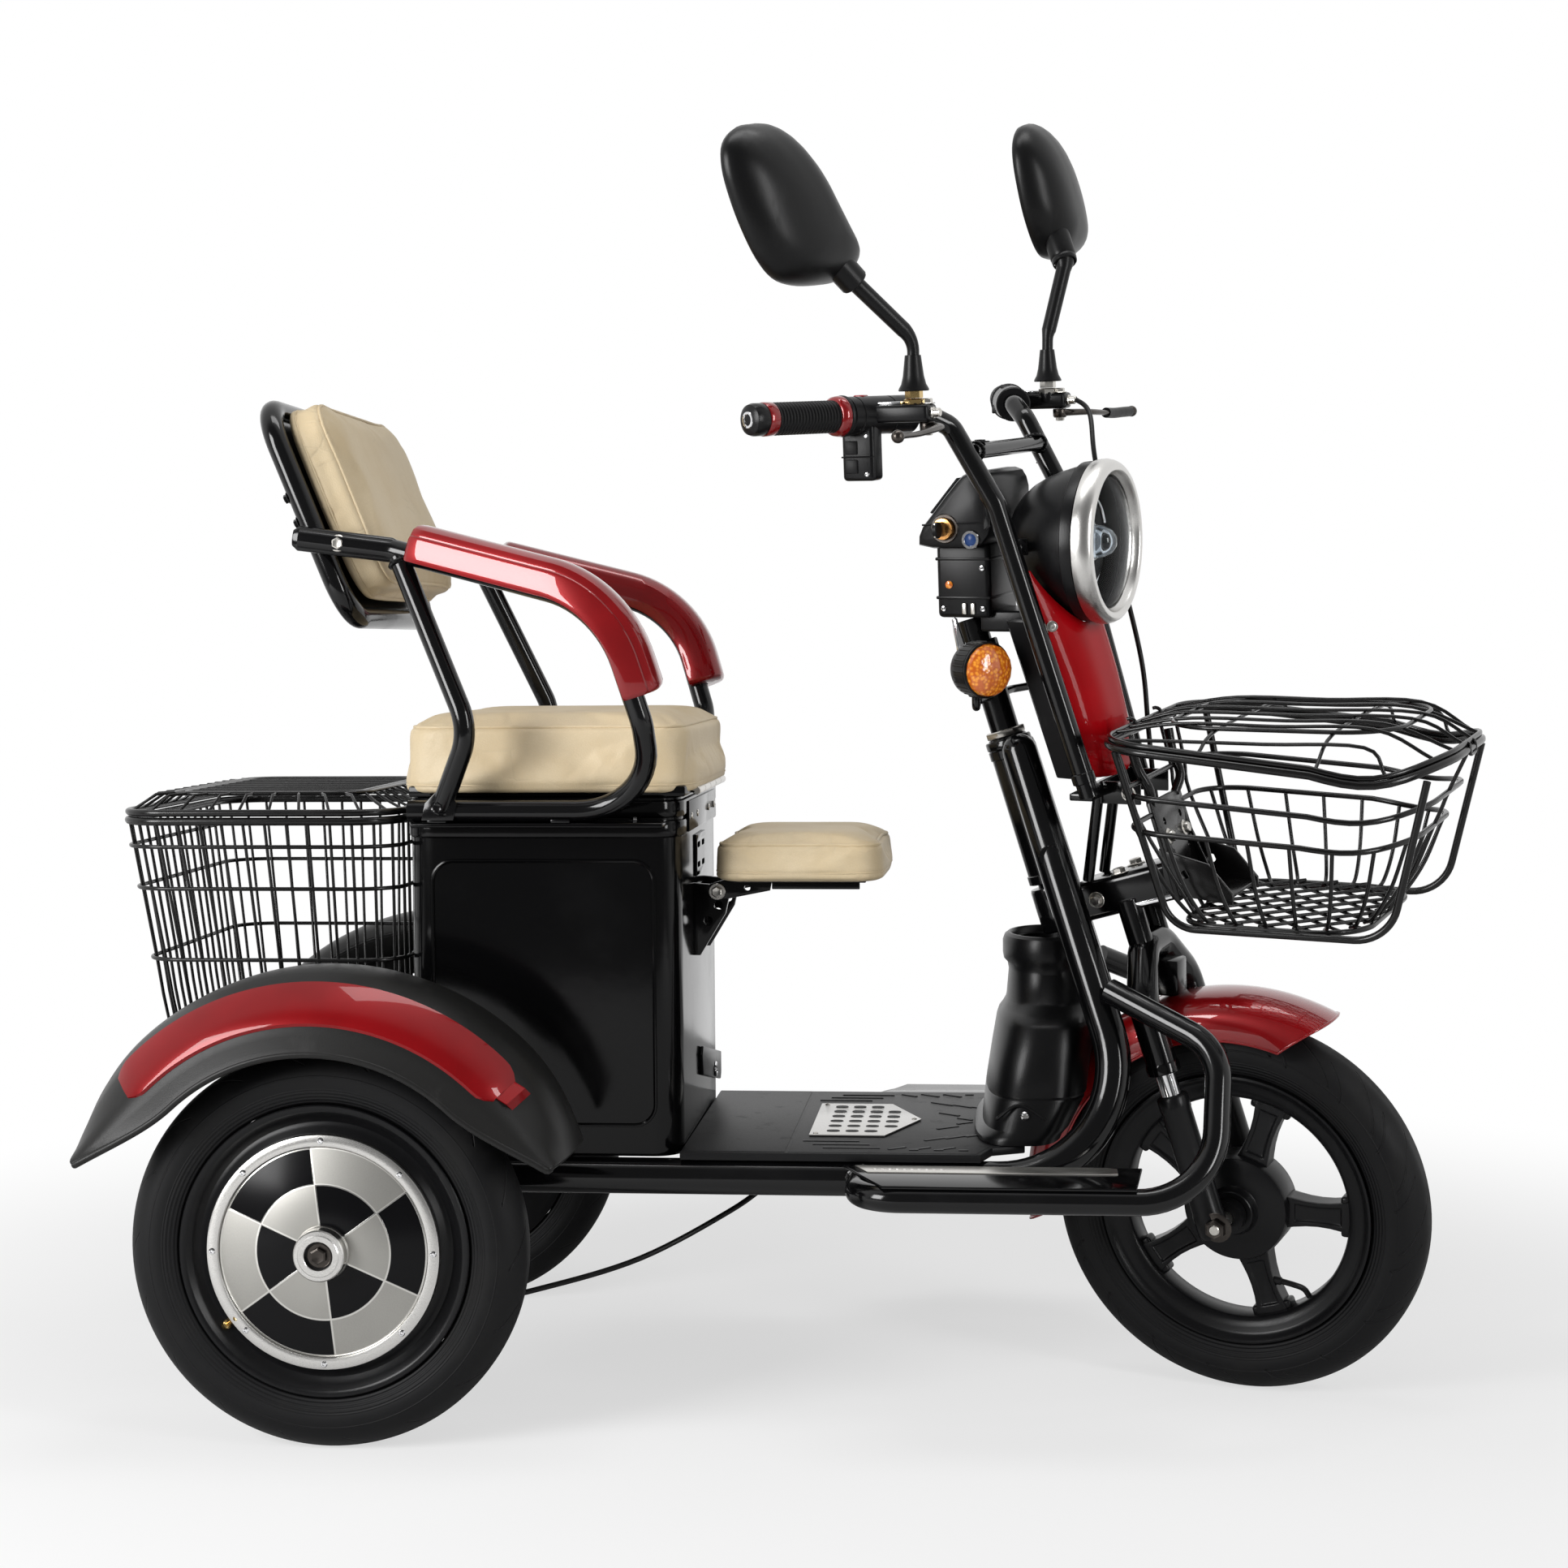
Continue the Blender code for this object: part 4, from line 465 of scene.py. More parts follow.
class Nodes:
    """A node tree and short ways to add to it."""

    def __init__(self, tree):
        self.tree = tree

    def give(self, socket, value):
        if isinstance(value, Level):
            self.tree.links.new(value.socket, socket)
        elif isinstance(value, bpy.types.NodeSocket):
            self.tree.links.new(value, socket)
        else:
            socket.default_value = value

    def node(self, kind, settings, sockets):
        made = self.tree.nodes.new(kind)
        for key, value in settings.items():
            setattr(made, key, value)
        for key, value in sockets.items():
            self.give(made.inputs[key], value)
        return made

    def maths(self, operation, *values):
        made = self.node("ShaderNodeMath", {"operation": operation}, dict(enumerate(values)))
        return Level(self, made.outputs[0])

    def parts(self, vector):
        split = self.node("ShaderNodeSeparateXYZ", {}, {0: vector})
        return [Level(self, socket) for socket in split.outputs]

    def span(self, level, low, high, out_low=0.0, out_high=1.0):
        """A level taken smoothly from one range to another, held at its ends."""
        made = self.node("ShaderNodeMapRange", {"interpolation_type": "SMOOTHSTEP"},
                         {"Value": level, "From Min": low, "From Max": high, "To Min": out_low, "To Max": out_high})
        return Level(self, made.outputs[0])


class Finish(Nodes):
    """A material made of nodes round one Principled shader."""

    def __init__(self, name, colour, roughness, **constants):
        self.material = bpy.data.materials.new(name)
        self.material.use_nodes = True
        super().__init__(self.material.node_tree)
        self.surface = self.tree.nodes["Principled BSDF"]
        self.normal = None
        self.feed("Base Color", (*colour, 1.0))
        self.feed("Roughness", roughness)
        for key, value in constants.items():
            self.feed(key.replace("_", " "), value)

    def feed(self, socket, value):
        self.give(self.surface.inputs[socket], value)
        return self

    def where(self, matrix=None, scale=(1, 1, 1)):
        """The piece's own coordinates, seen from a frame placed by a matrix."""
        spot = self.node("ShaderNodeTexCoord", {}, {}).outputs["Object"]
        if matrix is not None:
            spot = self.node("ShaderNodeMapping", {"vector_type": "TEXTURE"},
                             {"Vector": spot, "Location": matrix.to_translation(),
                              "Rotation": matrix.to_euler(), "Scale": (1, 1, 1)}).outputs[0]
        if tuple(scale) != (1, 1, 1):
            spot = self.node("ShaderNodeMapping", {}, {"Vector": spot, "Scale": scale}).outputs[0]
        return spot

    def grain(self, scale, detail=2.0, rough=0.5, vector=None):
        vector = vector or self.where()
        made = self.node("ShaderNodeTexNoise", {}, {"Vector": vector, "Scale": scale, "Detail": detail,
                                                    "Roughness": rough})
        return Level(self, made.outputs["Fac"])

    def cells(self, scale, feature="F1", vector=None):
        vector = vector or self.where()
        made = self.node("ShaderNodeTexVoronoi", {"feature": feature}, {"Vector": vector, "Scale": scale})
        return Level(self, made.outputs["Distance"])

    def blend(self, factor, first, second):
        first = (*first, 1.0) if isinstance(first, tuple) and len(first) == 3 else first
        second = (*second, 1.0) if isinstance(second, tuple) and len(second) == 3 else second
        made = self.node("ShaderNodeMix", {"data_type": "RGBA"}, {0: factor, 6: first, 7: second})
        return made.outputs[2]

    def relief(self, height, distance, strength=1.0):
        """Height over the surface, in metres of distance, on top of what is there."""
        sockets = {"Height": height, "Distance": distance, "Strength": strength}
        if self.normal:
            sockets["Normal"] = self.normal
        self.normal = self.node("ShaderNodeBump", {}, sockets).outputs[0]
        return self.feed("Normal", self.normal)


def gloss(name, colour, roughness, dust=0.1, wave=0.00012, **more):
    """Sprayed gloss enamel: a faint orange peel, and dust that dulls it in places."""
    made = Finish(name, colour, roughness, **more)
    clouds = made.grain(7, 4, 0.6)
    fine = made.grain(420, 2, 0.6)
    made.feed("Roughness", made.span(clouds, 0.45, 0.75, roughness, roughness + dust) + fine * 0.03)
    paler = tuple(value * 1.5 + 0.002 for value in colour)
    made.feed("Base Color", made.blend(made.span(clouds, 0.5, 0.8, 0, 0.5), colour, paler))
    made.relief(made.grain(55, 1, 0.4), wave, 0.5)
    made.relief(fine, 0.00002, 0.4)
    return made


def moulded(name, colour, roughness, scale=900, depth=0.00012):
    """Moulded plastic with a fine leather-like grain and slight scuffs."""
    made = Finish(name, colour, roughness, Specular_IOR_Level=0.2)
    pores = made.cells(scale)
    scuffs = made.span(made.grain(38, 6, 0.7, made.where(scale=(1, 1, 0.35))), 0.56, 0.7)
    made.feed("Roughness", roughness + scuffs * 0.08 - made.span(pores, 0.0, 0.6, 0.0, 0.06))
    worn = tuple(value * 1.6 + 0.004 for value in colour)
    made.feed("Base Color", made.blend(scuffs * 0.35 + made.grain(6, 3) * 0.15, colour, worn))
    made.relief(pores, depth, 0.55)
    return made


def metal(name, colour, roughness, brush=(1, 1, 1), depth=0.00003):
    """Bright metal with fine scratches along one way."""
    made = Finish(name, colour, roughness, Metallic=1.0)
    lines = made.grain(380, 4, 0.65, made.where(scale=brush))
    cloud = made.grain(11, 3)
    made.feed("Roughness", roughness + lines * 0.1 + cloud * 0.06 - 0.06)
    duller = tuple(value * 0.72 for value in colour)
    made.feed("Base Color", made.blend(made.span(lines, 0.35, 0.75, 0.0, 0.55), colour, duller))
    made.relief(lines, depth, 0.6)
    return made


def red_enamel(name, coat, depth=1.0, **more):
    """Candy red enamel: fine flakes under clear coat, deeper where the coat is thick."""
    made = Finish(name, (0.29, 0.002, 0.004), 0.3, Coat_Weight=coat, Coat_Roughness=0.03, **more)
    flakes = made.cells(2600)
    drift = made.grain(9, 3)
    # depth scales every colour of the enamel: above 1 it is painted light, below 1 painted shade
    tone = made.blend(made.span(drift, 0.35, 0.7), (0.2 * depth, 0.0012 * depth, 0.0028 * depth),
                      (0.26 * depth, 0.0016 * depth, 0.004 * depth))
    made.feed("Base Color", made.blend(made.span(flakes, 0.0, 0.35, 0.3, 0.0), tone,
                                       (0.42 * depth, 0.008 * depth, 0.01 * depth)))
    made.feed("Roughness", 0.26 + drift * 0.1)
    made.relief(made.grain(48, 1, 0.4), 0.00012, 0.4)
    return made


def leather(name, colour):
    """Cream upholstery vinyl: pebbled grain and soft creases, with painted shade that darkens the creases and the
    grain between pebbles.
    """
    made = Finish(name, colour, 0.52, Specular_IOR_Level=0.45)
    pebbles = made.cells(620)
    fine = made.cells(1500)
    crease = made.cells(24, "DISTANCE_TO_EDGE", made.where(scale=(1, 1, 1.6)))
    crease_lines = made.span(crease, 0.0, 0.055, 1.0, 0.0) * made.span(made.grain(16, 3), 0.48, 0.68)
    drift = made.grain(12, 5, 0.6)
    # painted shade: a darker copy of the cream for the creases and between the pebbles
    painted_shade = tuple(value * 0.86 for value in colour)
    warm = (colour[0] * 0.93, colour[1] * 0.89, colour[2] * 0.82)
    tone = made.blend(made.span(drift, 0.35, 0.7), colour, warm)
    # painted shade is blended in along the creases and between the pebbles
    made.feed("Base Color", made.blend(made.span(pebbles, 0.15, 0.55, 0.0, 0.35) + crease_lines * 0.3, tone, painted_shade))
    made.feed("Roughness", 0.46 + drift * 0.14)
    made.relief(drift, 0.001, 0.35)
    made.relief(crease_lines, -0.0006, 0.5)
    made.relief(pebbles + fine * 0.4, 0.00022, 0.7)
    return made


def tyre_rubber(name, place, sipes, reach):
    """Tyre rubber: curved sipes over the crown and shoulders, thin rings by the bead, a wear line."""
    made = Finish(name, (0.004, 0.004, 0.0045), 0.56, Specular_IOR_Level=0.2)
    x, y, z = made.parts(made.where(place))
    radius = made.maths("SQRT", x * x + z * z)
    turn = made.maths("ARCTAN2", z, x) / (2 * math.pi)
    out = abs(y)
    lean = (y > 0) * 0.5
    curve = out * 14 + out * out * 420
    phase = made.maths("FRACT", turn * sipes + lean + curve + 2.0)
    cut = made.span(abs(phase - 0.5), 0.012, 0.03, 1.0, 0.0)
    second = made.maths("FRACT", turn * sipes + lean + curve * 0.8 + 2.43)
    short = made.span(abs(second - 0.5), 0.01, 0.026, 1.0, 0.0) * made.span(out, 0.017, 0.0185) * reach
    band = made.span(out, 0.0045, 0.006) * made.span(radius, 0.181 if reach else 0.19, 0.183 if reach else 0.192)
    cut = made.maths("MAXIMUM", cut * band, short * made.span(radius, 0.176, 0.178))
    rings = made.maths("SINE", radius * (2 * math.pi / 0.0036)) * 0.5 + 0.5
    by_bead = made.span(radius, 0.1655, 0.167, 1.0, 0.0)
    line = made.span(abs(radius - 0.1795), 0.0004, 0.001, 1.0, 0.0)
    crumb = made.grain(700, 3)
    dust = made.span(made.grain(14, 5, 0.65), 0.45, 0.75)
    made.feed("Base Color", made.blend(dust * 0.5, (0.0035, 0.0035, 0.004), (0.011, 0.0105, 0.01)))
    made.feed("Roughness", 0.5 + dust * 0.18 + crumb * 0.1)
    made.relief(crumb, 0.0001, 0.5)
    made.relief(rings * by_bead + line * 0.6, 0.0007, 0.8)
    made.relief(cut, -0.0022, 1.0)
    return made


def hub_cover(name, place):
    """Hub cover: brushed silver and black sectors in two bands round the nose, edged with thin lines."""
    made = Finish(name, (0.01, 0.01, 0.01), 0.3, Specular_IOR_Level=0.14)
    x, _, z = made.parts(made.where(place))
    radius = made.maths("SQRT", x * x + z * z)
    turn = made.maths("ARCTAN2", z, x) * (180 / math.pi) + 360 - 36
    sector = made.maths("FLOOR", turn / 60)
    odd = made.maths("MODULO", sector, 2)
    outer = (radius > 0.069) * (radius < 0.1065)
    inner = (radius > 0.028) * (radius < 0.069)
    silver = outer * (1 - odd) + inner * odd
    edge = abs(made.maths("FRACT", turn / 60 + 0.5) - 0.5) * radius * (math.pi / 3)
    rim = made.maths("MINIMUM", abs(radius - 0.069), abs(radius - 0.1062))
    line = made.span(made.maths("MINIMUM", edge, rim), 0.0007, 0.0012, 1.0, 0.0) * (radius > 0.028) * (radius < 0.108)
    swirl = made.node("ShaderNodeCombineXYZ", {}, {0: radius * 1.0, 1: turn * 0.0006, 2: 0.0}).outputs[0]
    brushed = made.grain(1400, 3, 0.6, swirl)
    cloud = made.grain(16, 3)
    tone = made.blend(brushed * 0.5 + cloud * 0.4, (0.46, 0.45, 0.42), (0.27, 0.265, 0.25))
    plain = made.blend(silver, (0.003, 0.003, 0.0035), tone)
    made.feed("Base Color", made.blend(line, plain, (0.62, 0.61, 0.58)))
    made.feed("Metallic", made.maths("MAXIMUM", silver, line) * 0.95)
    made.feed("Roughness", 0.16 + silver * (0.16 + brushed * 0.16) + cloud * 0.05)
    made.relief(radius * radius * (radius < 0.108) * -1.3, 1.0, 1.0)
    made.relief(brushed * silver, 0.00003, 0.6)
    made.relief(made.maths("MAXIMUM", silver, line), 0.0003, 0.6)
    return made


FRAME_BLACK = gloss("frame_enamel", (0.0022, 0.0022, 0.0025), 0.11, Specular_IOR_Level=0.36)
BOX_BLACK = gloss("box_enamel", (0.0016, 0.0016, 0.0018), 0.1, 0.06, Specular_IOR_Level=0.22)
WIRE_BLACK = gloss("dipped_wire", (0.0032, 0.003, 0.003), 0.2, 0.12, 0.0002, Specular_IOR_Level=0.34)
SATIN_BLACK = moulded("satin_black_plastic", (0.0045, 0.0045, 0.005), 0.34, 1500, 0.00005)
BUCKET_BLACK = moulded("bucket_plastic", (0.003, 0.003, 0.0033), 0.36, 1000, 0.0001)
GUARD_GREY = moulded("mudguard_plastic", (0.011, 0.0108, 0.0105), 0.42, 1100, 0.0001)
MAT_RUBBER = moulded("floor_rubber", (0.0055, 0.0055, 0.006), 0.5, 700, 0.00016)
GRIP_RUBBER = moulded("grip_rubber", (0.0055, 0.0055, 0.006), 0.48, 1300, 0.00008)
RED = red_enamel("candy_red", 0.9, 1.0, Metallic=0.3, Specular_IOR_Level=0.2)
# painted light: the shield's copy of the candy red is scaled 1.75 times lighter
SHIELD_RED = red_enamel("shield_red", 0.13, 1.75, Specular_IOR_Level=0.02)
# painted shade: the band's copy of the candy red is scaled darker
BAND_RED = red_enamel("band_red", 0.45, 0.85, Metallic=0.2, Specular_IOR_Level=0.1)
CREAM = leather("cream_upholstery", (0.61, 0.5, 0.33))
SILVER = metal("brushed_silver", (0.66, 0.65, 0.63), 0.26, (1, 12, 12))
CHROME = metal("chrome", (0.8, 0.8, 0.81), 0.07, depth=0.00001)
ZINC = metal("zinc_plate", (0.62, 0.6, 0.56), 0.28)
BRASS = metal("valve_brass", (0.66, 0.47, 0.2), 0.24)
BARE_STEEL = metal("bare_steel_strip", (0.74, 0.72, 0.68), 0.3, (12, 1, 12))
DARK_METAL = metal("dark_lever_metal", (0.07, 0.062, 0.056), 0.3)
CABLE = moulded("cable_sheath", (0.007, 0.007, 0.007), 0.4, 1600, 0.00004)


def clear_glass(name, colour, roughness=0.02, bend=1.46):
    made = Finish(name, colour, roughness, Transmission_Weight=1.0, IOR=bend)
    made.feed("Roughness", made.span(made.grain(60, 3), 0.4, 0.8, roughness, roughness + 0.05))
    return made


def amber_lens():
    """Orange moulded lens: prisms behind the face, each with a painted highlight in its middle and painted shade at
    its edges.
    """
    made = Finish("amber_lens", (0.85, 0.24, 0.015), 0.14, Coat_Weight=0.8, Coat_Roughness=0.03,
                  Specular_IOR_Level=0.6)
    prisms = made.cells(260)
    # painted highlight and shade: lighter amber at each prism's middle, darker amber at its edges
    made.feed("Base Color", made.blend(made.span(prisms, 0.1, 0.7), (0.95, 0.36, 0.03), (0.55, 0.11, 0.006)))
    made.feed("Roughness", 0.1 + made.grain(40, 3) * 0.12)
    made.relief(prisms, 0.0006, 0.6)
    return made


def mirror_glass():
    made = Finish("mirror_glass", (0.72, 0.76, 0.8), 0.03, Metallic=1.0)
    dust = made.span(made.grain(22, 5, 0.65), 0.5, 0.8)
    made.feed("Roughness", 0.02 + dust * 0.1)
    made.feed("Base Color", made.blend(dust * 0.4, (0.74, 0.78, 0.82), (0.6, 0.62, 0.64)))
    return made


GLASS = clear_glass("headlight_glass", (0.92, 0.94, 0.95), 0.02, 1.05)
PROJECTOR = clear_glass("projector_glass", (0.8, 0.86, 0.92), 0.01)
AMBER = amber_lens()
MIRROR_GLASS = mirror_glass()
MIRROR_SHELL = moulded("mirror_shell", (0.004, 0.004, 0.0043), 0.38, 1700, 0.00003)
DARK_GLASS = gloss("dash_window", (0.01, 0.011, 0.013), 0.06, 0.05, 0.00003)
BLUE_PORT = moulded("port_blue", (0.02, 0.05, 0.16), 0.3, 900, 0.00005)
BRONZE = metal("lock_bronze", (0.72, 0.36, 0.12), 0.26)


# ---------------------------------------------------------------- camera and studio

CAMERA_PLACE = (0.2369, -2.8322, 0.8154)
CAMERA_TURN, CAMERA_RISE, CAMERA_ROLL = 5.227, 3.14, -0.415
LENS_MM, SENSOR_MM = 58.93, 36
LAMPS = (("key_softbox", (-2.1, -2.1, 1.35), (0.0, 0.0, 0.6), (1.1, 1.5), 84),
         ("strip_right", (2.3, -1.9, 1.3), (0.1, 0.0, 0.6), (0.45, 1.6), 34),
         ("overhead", (0.1, -0.2, 3.0), (0.0, 0.0, 0.5), (1.8, 0.6), 20))


def set_up_studio():
    """Camera at the photograph's angle, three soft lamps, a white floor that only keeps a shadow."""
    scene = bpy.context.scene
    scene.view_settings.view_transform = "Standard"
    turn, rise, roll = (math.radians(angle) for angle in (CAMERA_TURN, CAMERA_RISE, CAMERA_ROLL))
    back = Vector((math.sin(turn) * math.cos(rise), -math.cos(turn) * math.cos(rise), math.sin(rise)))
    right = Vector((math.cos(turn), math.sin(turn), 0))
    up = back.cross(right)
    right, up = (right * math.cos(roll) + up * math.sin(roll), up * math.cos(roll) - right * math.sin(roll))
    put_down()
    bpy.ops.object.camera_add()
    camera = bpy.context.object
    camera.name = "photo_camera"
    camera.data.lens = LENS_MM
    camera.data.sensor_width = SENSOR_MM
    camera.data.clip_start = 0.05
    look = Matrix((right, up, back)).transposed().to_4x4()
    camera.matrix_world = Matrix.Translation(CAMERA_PLACE) @ look
    scene.camera = camera
    for name, place, aim, size, power in LAMPS:
        bpy.ops.object.light_add(type="AREA", location=place)
        lamp = bpy.context.object
        lamp.name = name
        lamp.data.shape = "RECTANGLE"
        lamp.data.size, lamp.data.size_y = size
        lamp.data.energy = power
        lamp.rotation_mode = "QUATERNION"
        lamp.rotation_quaternion = (Vector(aim) - Vector(place)).to_track_quat("-Z", "Y")
    world = bpy.data.worlds.new("studio")
    scene.world = world
    world.use_nodes = True
    studio = Nodes(world.node_tree)
    studio.tree.nodes.clear()
    rays = studio.node("ShaderNodeLightPath", {}, {}).outputs
    shiny = studio.maths("MAXIMUM", rays["Is Glossy Ray"], rays["Is Transmission Ray"])
    seen = studio.maths("MAXIMUM", rays["Is Camera Ray"], shiny)
    facing = studio.node("ShaderNodeTexCoord", {}, {}).outputs["Generated"]
    wall = studio.span(studio.parts(facing)[1], -0.6, -0.15, 0.18, 1.0)
    level = studio.maths("MAXIMUM", wall, rays["Is Camera Ray"])
    plain = studio.node("ShaderNodeBackground", {}, {"Color": (1, 1, 1, 1), "Strength": 0.16})
    white = studio.node("ShaderNodeBackground", {}, {"Color": (1, 1, 1, 1), "Strength": level})
    mix = studio.node("ShaderNodeMixShader", {}, {0: seen, 1: plain.outputs[0], 2: white.outputs[0]})
    studio.node("ShaderNodeOutputWorld", {}, {"Surface": mix.outputs[0]})
    put_down()
    bpy.ops.mesh.primitive_grid_add(size=4.4, x_subdivisions=8, y_subdivisions=8, location=(0, 0, -0.0006))
    floor = bpy.context.object
    floor.name = "studio_floor"
    bpy.ops.object.transform_apply(location=True, rotation=True, scale=True)
    paper = Finish("studio_paper", (0.82, 0.82, 0.82), 0.9, Specular_IOR_Level=0.1)
    paper.feed("Base Color", paper.blend(paper.grain(3, 2), (0.81, 0.81, 0.81), (0.83, 0.83, 0.83)))
    rays = paper.node("ShaderNodeLightPath", {}, {})
    glow = paper.node("ShaderNodeEmission", {}, {"Color": (1, 1, 1, 1), "Strength": 1.0})
    x, y, _ = paper.parts(paper.where())
    away = paper.span(paper.maths("SQRT", x * x + y * y), 0.75, 1.9, 0.62, 1.0)
    veil = paper.node("ShaderNodeMixShader", {}, {0: Level(paper, rays.outputs["Is Camera Ray"]) * away,
                                                  1: paper.surface.outputs[0], 2: glow.outputs[0]})
    paper.give(paper.tree.nodes["Material Output"].inputs["Surface"], veil.outputs[0])
    dress(floor, paper)


set_up_studio()


# ---------------------------------------------------------------- cables

def cable(name, body, node, route, radius, steered):
    """A sheathed brake cable with crimped ferrules."""
    smooth = flowing(route, 8)
    pieces = [dress(pipes([smooth], radius, 12), CABLE)]
    for start, after in ((smooth[0], smooth[1]), (smooth[-1], smooth[-2])):
        far = (after - start).normalized()
        pieces.append(dress(turned([(radius, 0.0), (radius + 0.001, 0.0002), (radius + 0.0012, 0.001),
                                    (radius + 0.0012, 0.008), (radius + 0.0006, 0.0092), (radius, 0.0094)],
                                   start, far, 24), ZINC))
    made = settle(name, body, pieces, [node], steered=steered, sharp=60)
    place = TURNED if steered else HOME
    path = [tuple(place @ point) for point in smooth]
    length = sum((b - a).length for a, b in zip(smooth, smooth[1:]))


def cables():
    """The rear brake's cable under the floor, and the front brake's from the left lever to the fork."""
    route = mm((455.4, -60, 236), (446, -60, 236), (432, -68, 230), (390, -104, 204), (300, -165, 165),
               (200, -205, 141), (110, -238, 128), (58, -249, 132), (37, -249, 154), (34, -249, 176),
               (34, -249, 185.4))
    cable("rear_cable_sheath", "frame", "rear_brake_cable", [Vector(p) for p in route], 0.003, False)
    end = steer_point(0.105, 0.0346, -0.188)
    route = mm((694.9, 195.5, 1071), (704, 195.5, 1071), (726, 178, 1056), (744, 142, 1010), (764, 122, 940),
               (790, 108, 860), (812, 96, 780), (822, 84, 710), (833, 72, 640))
    route = [Vector(p) for p in route] + [end + Vector((0.002, 0.03, 0.024)), end + SIDE * 0.01, end]
    cable("front_cable_sheath", "steering", "front_brake_cable", route, 0.0028, True)


cables()


# ---------------------------------------------------------------- wheels

def tyre_section():
    """Half of the tyre's section doubled: bead, bulging wall, shoulder and flat crown."""
    half = mm((150, 24), (154, 27.5), (160, 31), (166, 33.1), (172, 34), (179, 33.5),
            (186, 31.2), (192, 27.7), (197, 23.1), (200.8, 18), (203.5, 13), (204.8, 8.5),
            (205, 4))
    ring = half + [(r, -h) for r, h in reversed(half)]
    return ring + [half[0]]


def rear_wheel(side, word):
    """Hub motor wheel: tyre, deep black rim, silver ring with screws, patterned cover and turned nose."""
    centre = Vector((0.0, side * TRACK, WHEEL_R))
    out = SIDE * side
    seen = HOME @ Matrix.Translation(centre)
    tyre = turned(tyre_section(), centre, out, 144)
    settle("rear_tyre_rubber_" + word, "rear_wheel_" + word, tyre, ["rear_tyre_" + word],
           tyre_rubber("rear_tyre_" + word + "_rubber", seen, 18, 0.0), sharp=50)
    profile = mm((9.5, 25.5), (117, 25.5), (121.5, 24), (126, 18.5), (131, 17), (138, 20.5),
               (142, 27.5), (145, 29), (148.5, 29), (149.6, 28), (149.6, -28), (148, -29),
               (140, -30), (108, -37.2), (100, -39.5), (60, -40), (56, -38.5), (30, -38.5),
               (27, -40), (9.5, -40), (9.5, 25.5))
    rim = dress(turned(profile, centre, out, 96), SATIN_BLACK)
    pieces = [rim]
    for k in range(6):
        angle = math.radians(60 * k + 12)
        place = centre + Vector((math.cos(angle), 0, math.sin(angle))) * 0.078 - out * 0.0372
        pieces.append(dress(bolt(place, -out, 0.0052, 0.004), ZINC))
    angle = math.radians(217)
    spoke = Vector((math.cos(angle), 0, math.sin(angle)))
    foot = centre + spoke * 0.133 + out * 0.0175
    valve = turned(mm((0, 0), (4.8, 0), (4.8, 5), (3, 6), (3, 16), (3.6, 17), (3.6, 24),
                    (2.8, 24.5), (0, 24.5)), foot, (out * 0.55 - spoke * 0.83), 20)
    pieces.append(dress(valve, BRASS))
    settle("motor_hub_" + word, "rear_wheel_" + word, pieces, ["hub_motor_" + word])
    face = 0.0263
    disc = dress(turned([(0.0265, face), (0.0265, face + 0.004), (0.03, face + 0.0046), (0.066, face + 0.004),
                         (0.103, face + 0.003), (0.1072, face + 0.003), (0.1072, face), (0.0265, face)], centre, out,
                         96),
                 hub_cover("hub_cover_" + word, seen))
    ring = dress(turned([(0.1075, face), (0.1075, face + 0.0046), (0.1085, face + 0.006), (0.11, face + 0.0064),
                         (0.1172, face + 0.0064), (0.1195, face + 0.0052), (0.1204, face + 0.003), (0.1204, face),
                         (0.1075, face)], centre, out, 128), SILVER)
    nose = dress(turned(mm((0, 49), (6, 49), (6.2, 44), (14.2, 43.2), (14.6, 48.8), (15.2, 49.4),
                         (20.5, 49.4), (21.5, 48.6), (25, 48.4), (26.2, 47), (26.8, 44),
                         (26.8, 36), (27.6, 35), (28, 33.5), (28, 26.5), (0, 26.5)),
                        centre, out, 96), SILVER)
    pieces = [disc, ring, nose]
    well = dress(turned(mm((0, 43.6), (14.3, 43.6), (14.3, 44.2), (0, 44.2)), centre, out, 32), SATIN_BLACK)
    pieces.append(well)
    pieces.append(dress(bolt(centre + out * 0.044, out, 0.0088, 0.0042), DARK_METAL))
    for k in range(8):
        angle = math.radians(90 + 45 * k)
        place = centre + Vector((math.cos(angle), 0, math.sin(angle))) * 0.1138 + out * (face + 0.0062)
        pieces.append(dress(screw(place, out, 0.0034, 0.0016), CHROME))
    settle("patterned_cover_" + word, "rear_wheel_" + word, pieces, ["motor_cover_" + word], sharp=28)


